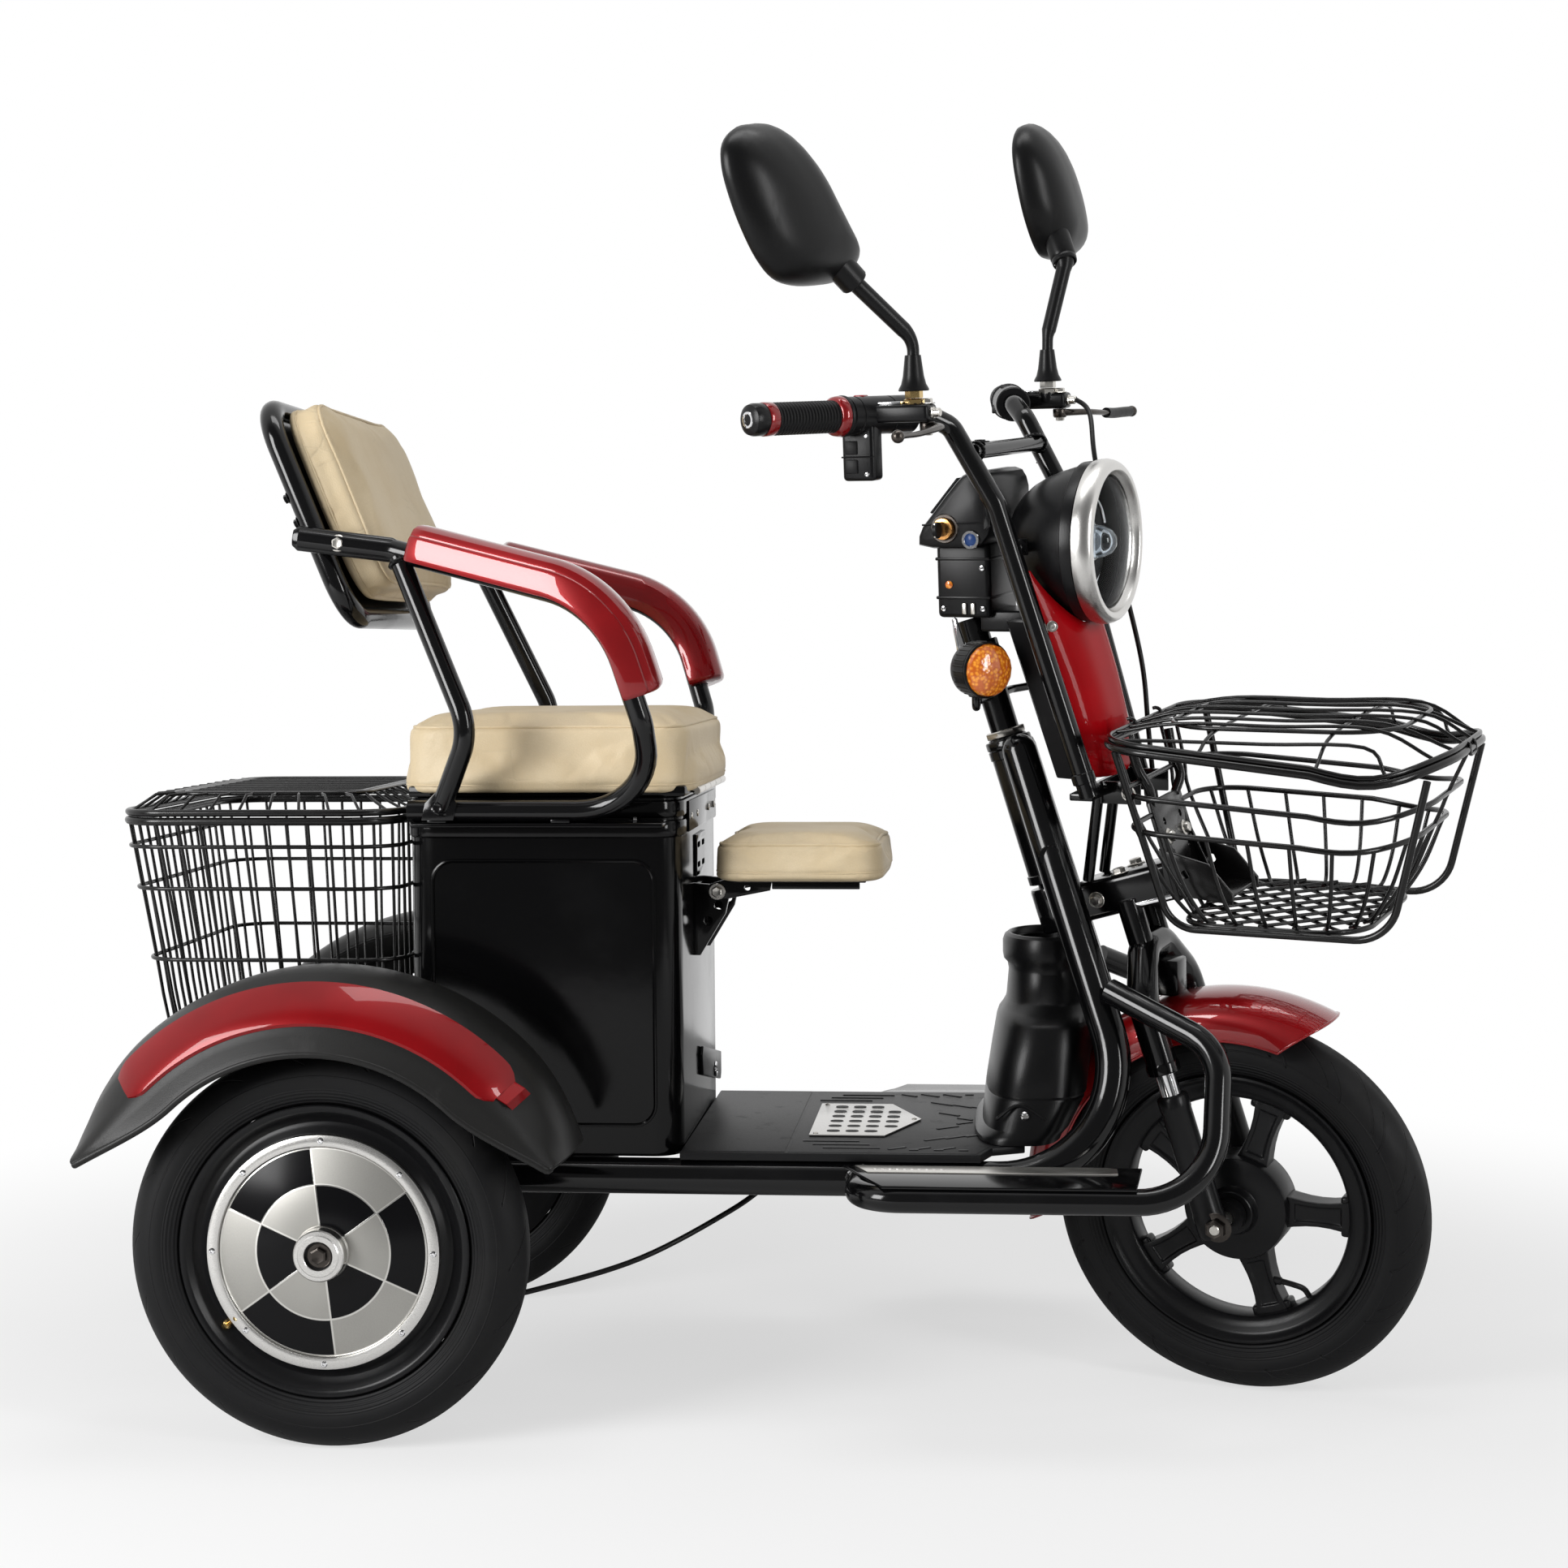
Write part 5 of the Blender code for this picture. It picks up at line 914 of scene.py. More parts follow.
def front_wheel():
    """Cast wheel: stepped rim, five ribbed spokes and a drum hub, with its treaded tyre."""
    centre = FRONT_AXLE
    seen = TURNED @ Matrix.Translation(centre)
    tyre = turned(tyre_section(), centre, SIDE, 144)
    settle("front_tyre_rubber", "front_wheel", tyre, ["front_tyre"], tyre_rubber("front_tread_rubber", seen, 17, 1.0),
           steered=True, sharp=50)
    half = mm((149.6, 24), (149.2, 28.5), (147, 29), (144, 27), (142, 24), (138.5, 22.5),
            (134, 21.5), (127.5, 19), (124.5, 16.5), (122.8, 14))
    ring = half + [(r, -h) for r, h in reversed(half)]
    pieces = [turned(ring + [half[0]], centre, SIDE, 120)]
    hub = mm((9.2, 37.5), (23, 37.5), (24, 36.5), (24.5, 30), (27.5, 26.2), (52, 24.8),
           (56, 22.5), (57.8, 18))
    hub = hub + [(r, -h) for r, h in reversed(hub)]
    pieces.append(turned(hub + [hub[0]], centre, SIDE, 96))
    pieces.append(turned(mm((40, 24.5), (41, 25.8), (43.5, 26.2), (46, 25.6), (47, 24.2), (40, 24.5)),
                         centre, SIDE, 96))
    arm = block((-0.015, -0.0125, 0.05), (0.015, 0.0125, 0.1265))
    with Bench(arm) as bench:
        bench.all()
        bpy.ops.mesh.subdivide(number_cuts=5)
    for vert in arm.data.vertices:
        rise = (vert.co.z - 0.05) / 0.0765
        vert.co.x *= 1.22 - 0.62 * math.sin(math.pi * min(1.0, rise * 1.02)) * 0.55 + 0.35 * max(0.0, rise - 0.82)
        vert.co.y *= 1.12 - 0.22 * rise
    with Bench(arm) as bench:
        bench.pick("FACE", lambda f: abs(f.normal.y) > 0.8 and abs(f.calc_center_median().x) < 0.0095
                   and 0.06 < f.calc_center_median().z < 0.112)
        bpy.ops.mesh.inset(thickness=0.0014, depth=-0.0026)
        bench.pick("EDGE", lambda e: len(e.link_faces) == 2 and e.calc_face_angle() > 0.6)
        bpy.ops.mesh.bevel(offset=0.0012, segments=2, affect="EDGES", clamp_overlap=True)
    for k in range(5):
        turn = Matrix.Translation(centre) @ Matrix.Rotation(2 * math.pi * (k + 0.25) / 5, 4, "Y")
        pieces.append(copy_of(arm, turn))
        lug = block((-0.0225, -0.01, 0.112), (0.0225, 0.01, 0.124), 0.0035, 3)
        lug.data.transform(turn)
        pieces.append(lug)
    bpy.data.objects.remove(arm)
    for piece in pieces:
        dress(piece, SATIN_BLACK)
    angle = math.radians(-52)
    spoke = Vector((math.cos(angle), 0, math.sin(angle)))
    foot = centre + spoke * 0.123
    stem = pipes([flowing([foot, foot - spoke * 0.01, foot - spoke * 0.016 - Vector((0.006, 0.004, 0)),
                           foot - spoke * 0.02 - Vector((0.017, 0.006, 0))], 6)], 0.0032, 12)
    cap = bar(foot - spoke * 0.02 - Vector((0.0165, 0.006, 0)), foot - spoke * 0.021 - Vector((0.0275, 0.007, 0)),
              0.0044)
    pieces += [dress(stem, CABLE), dress(cap, GRIP_RUBBER)]
    settle("cast_front_wheel", "front_wheel", pieces, ["front_wheel"], steered=True)


# ---------------------------------------------------------------- mudguards

def arch_point(angle, radius, y, side):
    """A point of a rear mudguard, which flares at both tips."""
    tip = max(0.0, abs(angle - 90.0) - 42.0) / 26.0
    high = (radius - 0.206) / 0.077
    reach = radius + tip * tip * (0.05 * (1 - high) - 0.012 * high)
    turn = math.radians(angle)
    return Vector((reach * math.cos(turn), side * y, WHEEL_R + reach * math.sin(turn)))


def rear_mudguard(side, word):
    """Moulded arch with a rolled lip and curled tips, and the glossy red band let into its shoulder."""
    rows = mm((267.2, 232), (274.8, 239.5), (280.5, 252), (282.8, 264), (283, 283), (282.6, 298.5),
            (279.5, 311.5), (274, 324), (268.8, 334.5), (260, 344), (248, 357), (236, 365.5),
            (226, 368.2), (216, 369.8), (210.5, 371.5))
    angles = [22 + 136 * k / 68 for k in range(69)]
    shell = skin([[arch_point(angle, r, y, side) for angle in angles] for r, y in rows])
    if side < 0:
        turn_out(shell)
    apply_modifier(shell, "SOLIDIFY", thickness=0.0028, offset=-1.0)
    lip = [arch_point(angle, 0.2085, 0.372, side) for angle in angles]
    front, rear = lip[0], lip[-1]
    ends = [front + Vector((0.002, -side * 0.01, -0.001)), front + Vector((0.001, -side * 0.022, 0.001))]
    tails = [rear + Vector((-0.002, -side * 0.01, -0.001)), rear + Vector((-0.001, -side * 0.022, 0.001))]
    bead = pipes([flowing(list(reversed(ends)) + lip + tails, 2)], 0.0037, 16)
    rolls = []
    for angle in (22, 158):
        edge = [arch_point(angle, r, y, side) for r, y in rows]
        rolls.append(pipes([flowing(edge, 3)], 0.0027, 14))
    inner = pipes([[arch_point(angle, 0.2672, 0.232, side) for angle in angles]], 0.0024, 12)
    settle("moulded_mudguard_" + word, "frame", [shell, bead, inner] + rolls, ["rear_mudguard_" + word], GUARD_GREY,
           sharp=40)
    section = mm((273, 333), (274.5, 337.2), (271.2, 341.2), (262.5, 350), (253, 359.2), (243, 366.3),
               (239.2, 368), (237, 366.8))
    sweep = []
    for k in range(61):
        angle = 41.5 + 97.0 * k / 60
        near = min(angle - 41.5, 138.5 - angle) / 4.0
        draw = 1.0 - 0.35 * (1 - min(1.0, near)) ** 2
        middle_r, middle_y = 0.256, 0.35
        sweep.append([arch_point(angle, middle_r + (r - middle_r) * draw, middle_y + (y - middle_y) * draw, side)
                      for r, y in section])
    band = skin([list(column) for column in zip(*sweep)])
    if side < 0:
        turn_out(band)
    apply_modifier(band, "SOLIDIFY", thickness=0.0022, offset=-1.0)
    fold = sweep[0]
    facet = skin([[fold[1], fold[3], fold[5]],
                  [p + Vector((0.011, side * 0.002, -0.006)) for p in (fold[1], fold[3], fold[5])],
                  [p + Vector((0.015, -side * 0.004, -0.012)) for p in (fold[1], fold[3], fold[5])]], wall=0.0018)
    settle("red_band_" + word, "frame", [band, facet], ["mudguard_band_" + word], BAND_RED,
           sharp=40)


def front_mudguard():
    """Domed red mudguard hugging the front tyre, with a turned-out edge."""
    rows = mm((193.5, 49.8), (199, 50), (208, 49.4), (218, 47.2), (226.5, 42.5), (233.5, 34.8),
            (237.5, 24.5), (239.3, 13), (239.8, 0))
    rows = rows + [(r, -y) for r, y in reversed(rows[:-1])]
    sweep = []
    for k in range(61):
        line = []
        for r, y in rows:
            deep = (0.24 - r) / 0.046
            angle = 64 + 125 * k / 60
            angle += 9.0 * deep * max(0.0, 1 - k / 9)
            angle -= 5.0 * deep * max(0.0, 1 - (60 - k) / 9)
            line.append(FRONT_AXLE + Vector((r * math.cos(math.radians(angle)), y,
                                             r * math.sin(math.radians(angle)))))
        sweep.append(line)
    shell = skin(sweep)
    turn_out(shell)
    apply_modifier(shell, "SOLIDIFY", thickness=0.002, offset=-1.0)
    rims = [pipes([[row[0] for row in sweep], [row[-1] for row in sweep]], 0.0015, 10),
            pipes([sweep[0], sweep[-1]], 0.0015, 10)]
    settle("domed_front_mudguard", "steering", [shell] + rims, ["front_mudguard"], RED, steered=True,
           sharp=50)


for side, word in SIDES:
    rear_wheel(side, word)
    rear_mudguard(side, word)
front_wheel()
front_mudguard()


# ---------------------------------------------------------------- frame, step tubes and floor

RAIL_PATH = rounded([steer_point(0.009, -0.046, -0.01), (0.84, -RAIL_Y, RAIL_Z), (-0.06, -RAIL_Y, RAIL_Z)], [0.12],
                    20)


def weld_bead(centre, facing, radius, thick=0.0022):
    """A rippled weld bead round a tube's end."""
    facing = Vector(facing).normalized()
    arm = facing.orthogonal().normalized()
    ring = []
    for k in range(48):
        turn = Matrix.Rotation(2 * math.pi * k / 48, 3, facing)
        ring.append(Vector(centre) + turn @ arm * (radius + 0.0004 * math.sin(k * 2.1)))
    return pipes([ring], thick, 8, closed=True)


def bare_frame():
    """Head tube, bent down tubes, cross bars, axle beam with its plates, and the mudguard stays."""
    right = pipes([RAIL_PATH], 0.019, 24)
    pieces = [both(right)]
    head = mm((16.3, -158), (22.8, -158), (25, -157), (25, -148), (23.5, -147), (23.5, -15),
            (25, -14), (25, -5), (24, -4), (16.3, -4), (16.3, -158))
    pieces.append(turned(head, STEER_BASE, ALONG, 48))
    for side in (-1, 1):
        top = steer_point(0.009, side * 0.046, -0.01)
        pieces.append(turned(mm((0, 19), (7, 17.7), (13.5, 13.4), (17.7, 7), (19, 0), (17.7, -7),
                              (0, -12)), top, ALONG, 28))
    for up in (-0.03, -0.125):
        reach = 0.046 + 0.42 * (-0.01 - up)
        pieces.append(bar(steer_point(0.007, -reach, up), steer_point(0.007, reach, up), 0.012))
        for side in (-1, 1):
            pieces.append(weld_bead(steer_point(0.007, side * (reach - 0.0195), up), SIDE, 0.0125))
    for x in (-0.045, 0.095, 0.464, 0.61):
        pieces.append(bar((x, -RAIL_Y, RAIL_Z), (x, RAIL_Y, RAIL_Z), 0.012))
        for side in (-1, 1):
            pieces.append(weld_bead((x, side * 0.1535, RAIL_Z), SIDE, 0.0125))
    pieces.append(plate(mm((456, 222), (460, 222), (460, 252), (456, 252)), -0.072, -0.048, edge=0.0006))
    pieces.append(block((-0.02, -0.249, 0.215), (0.02, 0.249, 0.255), 0.003, 3))
    for side in (-1, 1):
        pieces.append(plate(mm((-32, 261), (-32, 240), (-18, 179), (18, 179), (32, 240), (32, 261)),
                            side * 0.245, side * 0.253, edge=0.001))
        pieces.append(block((0.01, side * 0.245, 0.186), (0.042, side * 0.253, 0.198), 0.001))
        pieces.append(bar((0, side * 0.249, WHEEL_R), (0, side * 0.34, WHEEL_R), 0.009))
        under = WHEEL_R + math.sqrt((0.28 - 0.0003 - 0.006) ** 2 - 0.0009)
        stay = rounded([(0.03, side * RAIL_Y, RAIL_Z), (0.03, side * 0.214, 0.44), (0.03, side * 0.262, under),
                        (0.03, side * 0.292, under)], [0.03, 0.015])
        pieces.append(pipes([stay], 0.006, 12))
        pieces.append(dress(bolt((0.0, side * 0.2535, 0.243), SIDE * side, 0.0055), ZINC))
    carrier = rounded([(-0.045, -0.11, RAIL_Z), (-0.045, -0.11, 0.3868), (-0.045, 0.11, 0.3868),
                       (-0.045, 0.11, RAIL_Z)],
                      [0.03, 0.03])
    pieces.append(pipes([carrier], 0.009, 14))
    settle("enamelled_frame", "frame", pieces, ["frame"], FRAME_BLACK)


def step_tube(side, word):
    """The tube that runs round the step and rises in front of the floor, with the bright step plate on it."""
    points = [(0.536, side * 0.1913, 0.258), (0.536, side * 0.288, 0.258), (0.892, side * 0.288, 0.258),
              (0.903, side * 0.215, 0.4), (0.794, side * 0.148, 0.4505)]
    tube = pipes([rounded(points, [0.045, 0.08, 0.06], 14)], 0.0135, 22)
    pieces = [tube, weld_bead((0.536, side * 0.1935, 0.258), SIDE, 0.014)]
    low = 0.258 + 0.0125
    outline = [(0.518, side * 0.196), (0.826, side * 0.196), (0.816, side * 0.298), (0.563, side * 0.298)]
    pieces.append(plate(outline, low, low + 0.003, "XY", 0.0008))
    strip = plate([(0.53, side * 0.2), (0.79, side * 0.2), (0.8, side * 0.2045), (0.8, side * 0.23),
                   (0.78, side * 0.234), (0.545, side * 0.234)],
                  low + 0.0026, low + 0.004, "XY", 0.0006)
    studs = [dress(strip, BARE_STEEL)]
    for k in range(10):
        studs.append(dress(turned(mm((0, 0), (3.2, 0), (2.6, 0.5), (0, 0.7)),
                                  (0.552 + 0.0076 * k, side * 0.217, low + 0.0038), UP, 16), BARE_STEEL))
    settle("step_tube_" + word, "frame", pieces + studs, ["front_guard_" + word], FRAME_BLACK)


def floor():
    """Rubber floor mat with raised dashes and a smooth rear panel, and the pierced tread plate."""
    outline = mm((345.3, -186), (660, -186), (672, -148), (706, -130), (706, 130), (672, 148),
               (660, 186), (345.3, 186))
    board = plate(outline, 0.2745, FLOOR_TOP - 0.0006, "XY", 0.0016)
    pieces = [board]
    pieces.append(block((0.347, -0.182, 0.2828), (0.4555, 0.182, FLOOR_TOP), 0.001))
    mat = plate(mm((458.5, -182.5), (656, -182.5), (668, -145), (702, -128), (702, 128),
                 (668, 145), (656, 182.5), (458.5, 182.5)), 0.2828, FLOOR_TOP - 0.0002, "XY", 0.0008)
    pieces.append(mat)
    dash = block((-0.0085, -0.0016, 0.0), (0.0085, 0.0016, 0.001), 0.0007, 2)
    strokes = []
    for side in (-1, 1):
        for k in range(3):
            strokes.append((0.5 + 0.012 * k, side * (0.122 + 0.018 * k), 0, 3.6))
            strokes.append((0.612 + 0.022 * k, side * (0.105 - 0.012 * k), side * -38, 1.9))
            strokes.append((0.572 + 0.026 * k, side * 0.158, side * -38, 1.3))
            strokes.append((0.59 + 0.026 * k, side * 0.166, 0, 0.6))
        strokes.append((0.622, side * 0.04, side * -38, 1.7))
        strokes.append((0.64, side * 0.012, side * -38, 1.2))
    for x, y, turn, length in strokes:
        stroke = copy_of(dash, Matrix.Translation((x, y, FLOOR_TOP - 0.0003)) @ Matrix.Rotation(math.radians(turn), 4,
                "Z") @ Matrix.Diagonal((length, 1.5, 1.0, 1.0)))
        pieces.append(stroke)
    bpy.data.objects.remove(dash)
    settle("rubber_floor", "frame", pieces, ["floor_board"], MAT_RUBBER)
    outline = mm((474, -98), (556, -98), (592, 0), (556, 90), (474, 90))
    sheet = dress(plate(outline, FLOOR_TOP + 0.0003, FLOOR_TOP + 0.0022, "XY", 0.0006), SILVER)
    pieces = [sheet]
    hole = turned(mm((0, 0), (4.6, 0), (5, 0.3), (5.3, 0.7), (5, 0.8), (4.4, 0.4), (0, 0.2)),
                  (0, 0, 0), UP, 20)
    for vert in hole.data.vertices:
        vert.co.x += math.copysign(0.002, vert.co.x) if abs(vert.co.x) > 0.0001 else 0.0
    for row in range(6):
        for column in range(4):
            x = 0.499 + 0.0205 * column
            y = -0.0765 + 0.029 * row
            if x > 0.552 and abs(y) > 0.05:
                continue
            pieces.append(dress(copy_of(hole, Matrix.Translation((x, y, FLOOR_TOP + 0.002))), GRIP_RUBBER))
    bpy.data.objects.remove(hole)
    for x, y in ((0.481, -0.091), (0.481, 0.083), (0.584, -0.002)):
        pieces.append(dress(screw((x, y, FLOOR_TOP + 0.0021), UP, 0.003, 0.0013), ZINC))
    settle("pierced_tread_plate", "frame", pieces, ["tread_plate"])


bare_frame()
for side, word in SIDES:
    step_tube(side, word)
floor()


# ---------------------------------------------------------------- seat box and what it carries

def pierce(piece, *cutters):
    """Holes of the cutters' shapes through a piece."""
    for cutter in cutters:
        apply_modifier(piece, "BOOLEAN", operation="DIFFERENCE", solver="EXACT", object=cutter)
        bpy.data.objects.remove(cutter)
    return piece


def loop_line(outline, flat, level):
    """An outline of two numbers laid on a plane as a closed line of points."""
    if flat == "XZ":
        return [Vector((a, level, b)) for a, b in outline]
    if flat == "YZ":
        return [Vector((level, a, b)) for a, b in outline]
    return [Vector((a, b, level)) for a, b in outline]


def moved_outline(outline, first, second):
    return [(a + first, b + second) for a, b in outline]


def box_ring(grow, z):
    return [Vector((x, y, z)) for x, y in oblong(0.145 + grow, 0.17 + grow, 0.03 + grow, 0.2, 8)]


def seat_box():
    """Pressed steel box: two collars, outlined panels, side lips, the child seat's hinge plates
    and a lock plate."""
    steps = mm((-3, 277.3), (-3, 654), (-2.2, 654.9), (-0.8, 654.9), (0, 654), (0, 651.8),
             (2.4, 650.4), (3, 648.6), (3, 636.2), (2.4, 634.4), (0.6, 633.2), (0.6, 630.8),
             (2.4, 629.6), (3, 627.8), (3, 615.5), (2.4, 613.7), (0, 612.2), (0, 280),
             (-1, 275), (-4, 274.3))
    pieces = [skin([box_ring(grow, z) for grow, z in steps], around=True, close=True)]
    panel = moved_outline(oblong(0.118, 0.14, 0.022, 0.0, 6), 0.2, 0.448)
    for side in (-1, 1):
        pieces.append(pipes([loop_line(panel, "XZ", side * 0.1701)], 0.0021, 8, closed=True))
        pieces.append(block((0.07, side * 0.169, 0.6262), (0.335, side * 0.217, 0.6312), 0.0016, 3))
        for x in (0.086, 0.2, 0.3):
            pieces.append(bolt((x, side * 0.183, 0.6312), UP, 0.004, 0.003))
    back = moved_outline(oblong(0.12, 0.13, 0.022, 0.0, 6), 0.0, 0.44)
    pieces.append(pipes([loop_line(back, "YZ", 0.0549)], 0.0018, 8, closed=True))
    for side in (-1, 1):
        cheek = plate(mm((344, 474), (352, 474), (380, 520), (384.5, 540), (383.5, 550), (344, 553.5)),
                      side * 0.0402, side * 0.05, edge=0.0012)
        holes = [bar((x, side * 0.03, z), (x, side * 0.06, z), 0.0052, steps=20) for x,
                 z in ((0.361, 0.512), (0.3725, 0.529))]
        pieces.append(pierce(cheek, *holes))
    pieces.append(block((0.344, -0.04, 0.478), (0.3475, 0.04, 0.55), 0.001))
    pieces.append(dress(bar((CHILD_PIVOT_X, -0.062, CHILD_PIVOT_Z), (CHILD_PIVOT_X, 0.062, CHILD_PIVOT_Z), 0.004),
                        ZINC))
    for side in (-1, 1):
        pieces.append(dress(bolt((CHILD_PIVOT_X, side * 0.0578, CHILD_PIVOT_Z), SIDE * side, 0.0064, 0.0042), ZINC))
    slotted = plate(mm((-38, 560), (38, 560), (38, 606), (-38, 606)), 0.3449, 0.3476, "YZ", 0.0008)
    slots = [plate(moved_outline(oblong(0.012, 0.0032, 0.0031, 0.0, 4), y, z), 0.34, 0.352, "YZ")
             for y in (-0.019, 0.019) for z in (0.572, 0.594)]
    pieces.append(dress(pierce(slotted, *slots), BOX_BLACK))
    leaf = plate(mm((-118, 615), (118, 615), (118, 648), (-118, 648)), 0.3478, 0.3502, "YZ", 0.0008)
    pieces.append(leaf)
    for y in (-0.1, -0.05, 0.05, 0.1):
        pieces.append(dress(screw((0.35, y, 0.631), (1, 0, 0), 0.004, 0.0018), ZINC))
    guard = plate(mm((-4, 334), (160, 302), (166, 309), (166, 334), (-2, 366), (-10, 358)),
                  0.3448, 0.349, "YZ", 0.0014)
    pieces.append(dress(guard, SATIN_BLACK))
    pieces.append(dress(turned(mm((0, 0), (8.5, 0), (9, 1), (8, 2.6), (5, 2.6), (4.6, 1.2),
                                (1.2, 1.2), (0, 1.2)), (0.3488, 0.103, 0.323), (1, 0, 0), 28), CHROME))
    settle("pressed_seat_box", "frame", pieces, ["seat_box"], BOX_BLACK, sharp=32)


def battery():
    """Battery case with ribs, a carrying handle and terminals, and the finned controller on it."""
    case = block((0.085, -0.14, 0.2776), (0.315, 0.14, 0.4436), 0.006, 3)
    pieces = [case]
    for k in range(9):
        x = 0.105 + 0.0235 * k
        pieces.append(block((x, -0.14, 0.295), (x + 0.006, 0.14, 0.425), 0.0012, 1))
    grip = rounded(mm((145, -105, 443), (145, -105, 447), (255, -105, 447), (255, -105, 443)), [0.0015, 0.0015], 3)
    pieces.append(dress(pipes([grip], 0.0028, 12), GRIP_RUBBER))
    body = block((0.12, -0.055, 0.4436), (0.28, 0.055, 0.478), 0.003, 2)
    pieces.append(dress(body, SILVER))
    for k in range(9):
        y = -0.048 + 0.0115 * k
        pieces.append(dress(block((0.122, y, 0.476), (0.278, y + 0.0035, 0.4924), 0.0008, 1), SILVER))
    for y in (0.085, 0.112):
        pieces.append(dress(bar((0.15, y, 0.443), (0.15, y, 0.4474), 0.007), BRASS))
    settle("ribbed_battery", "frame", pieces, ["battery_pack"], SATIN_BLACK, sharp=32)


def seat_pan():
    """Folded pan under the seat cushion, with a knuckled hinge along its front."""
    pan = block((0.0575, -0.1715, 0.6556), (0.353, 0.1715, 0.6673), 0.003, 2)
    leaf = block((0.341, -0.12, 0.657), (0.3565, 0.12, 0.6592), 0.0008, 1)
    knuckles = []
    for k in range(5):
        y = -0.12 + 0.048 * k
        knuckles.append(bar((0.358, y + 0.0006, 0.6593), (0.358, y + 0.0474, 0.6593), 0.0045, edge=0.0007))
    settle("folded_seat_pan", "seat", [pan, leaf] + [dress(k, ZINC) for k in knuckles], ["seat_pan"], BOX_BLACK)


def arm_corners(side):
    return [Vector(p) for p in ((-0.045, side * 0.2029, 0.928), (0.055, side * 0.2029, 0.9145),
                                (0.285, side * 0.283, 0.855),
                                (0.3215, side * 0.262, 0.735), (0.326, side * 0.205, 0.643),
                                (0.066, side * 0.205, 0.643))]


def armrest(side, word):
    """Bent arm tube with its flattened rear end, the strut, their brackets, and the hollow red
    pad over it."""
    corners = arm_corners(side)
    tube = pipes([rounded(corners, [0.05, 0.1, 0.04, 0.078], 12)], 0.0115, 20)
    strap = pipes([mm((-52, 0, 928.9), (-46, 0, 928.1), (52, 0, 914.9), (58, 0, 914.1))], 0.013, 20,
                  radii=[0.0085, 0.013, 0.013, 0.0105])
    for vert in strap.data.vertices:
        vert.co.y = vert.co.y * 0.46 + side * 0.205
    strut = rounded([(0.06, side * 0.206, 0.907), (0.14, side * 0.245, 0.728), (0.1, side * 0.207, 0.643)], [0.05],
                    12)
    pieces = [tube, strap, pipes([strut], 0.011, 20)]
    pieces.append(weld_bead(strut[0].lerp(strut[1], 0.035), strut[1] - strut[0], 0.0112, 0.0026))
    pieces.append(weld_bead(strut[-1].lerp(strut[-2], 0.06), strut[-2] - strut[-1], 0.0112, 0.0026))
    for x in (0.098, 0.228):
        pieces.append(block((x - 0.01, side * 0.1935, 0.6315), (x + 0.01, side * 0.2165, 0.635), 0.001))
    tab = plate(mm((82, 634), (116, 634), (120, 652), (112, 664), (98, 664), (86, 652)),
                side * 0.215, side * 0.2178, edge=0.001)
    pieces += [tab, bolt((0.1005, side * 0.2178, 0.648), (0, side, 0), 0.0056, 0.004)]
    pieces.append(dress(bolt((-0.003, side * 0.2108, 0.9223), (0, side, 0), 0.0062, 0.003), ZINC))
    settle("arm_tube_" + word, "frame", pieces, ["armrest_frame_" + word], FRAME_BLACK, sharp=40)
    section = [(25.5, -7), (26.6, -4), (27, 2), (27, 17), (26.2, 19.5), (24.6, 20.6), (24.4, 23), (22.4, 28),
               (16, 32.2), (8, 33.7),
               (0, 34), (-8, 33.7), (-16, 32.2), (-24, 25), (-26.5, 15), (-26.5, -4), (-25, -7), (-13, -7), (-13, -2)]
    section += [(12.5 * math.cos(math.radians(a)), 12.5 * math.sin(math.radians(a))) for a in range(172, 0, -18)]
    section += [(13, -2), (13, -7)]
    spine = rounded([corners[1].lerp(corners[2], 0.13), corners[2], corners[2].lerp(corners[3], 0.717)], [0.1], 16)
    line = [spine[0]]
    for before, after in zip(spine, spine[1:]):
        count = max(1, round((after - before).length / 0.012))
        line += [before.lerp(after, (k + 1) / count) for k in range(count)]
    frames = []
    for k, place in enumerate(line):
        along = (line[min(k + 1, len(line) - 1)] - line[max(k - 1, 0)]).normalized()
        out = SIDE * side
        out = (out - along * out.dot(along)).normalized()
        frames.append((place, along, out, out.cross(along) * -side))
    first, last = frames[0], frames[-1]
    stations = [(first, -0.0055, 0.55), (first, -0.005, 0.8), (first, -0.003, 0.93), (first, 0.0, 0.99)]
    stations += [(f, 0.0, 1.0) for f in frames[1:-1]]
    stations += [(last, 0.0, 0.99), (last, 0.003, 0.93), (last, 0.005, 0.8), (last, 0.0055, 0.55)]
    rows = []
    for (place, along, out, up), shift, scale in stations:
        row = []
        for a, b in section:
            far = math.hypot(a, b)
            near = min(1.0, 13.4 / far)
            a, b = a * (near + (1 - near) * scale), b * (near + (1 - near) * scale)
            row.append(place + along * shift + out * (a * 0.001) + up * (b * 0.001))
        rows.append(row)
    pad = skin(rows, around=True, close=True)
    settle("red_arm_pad_" + word, "frame", pad, ["armrest_pad_" + word], RED, sharp=34)


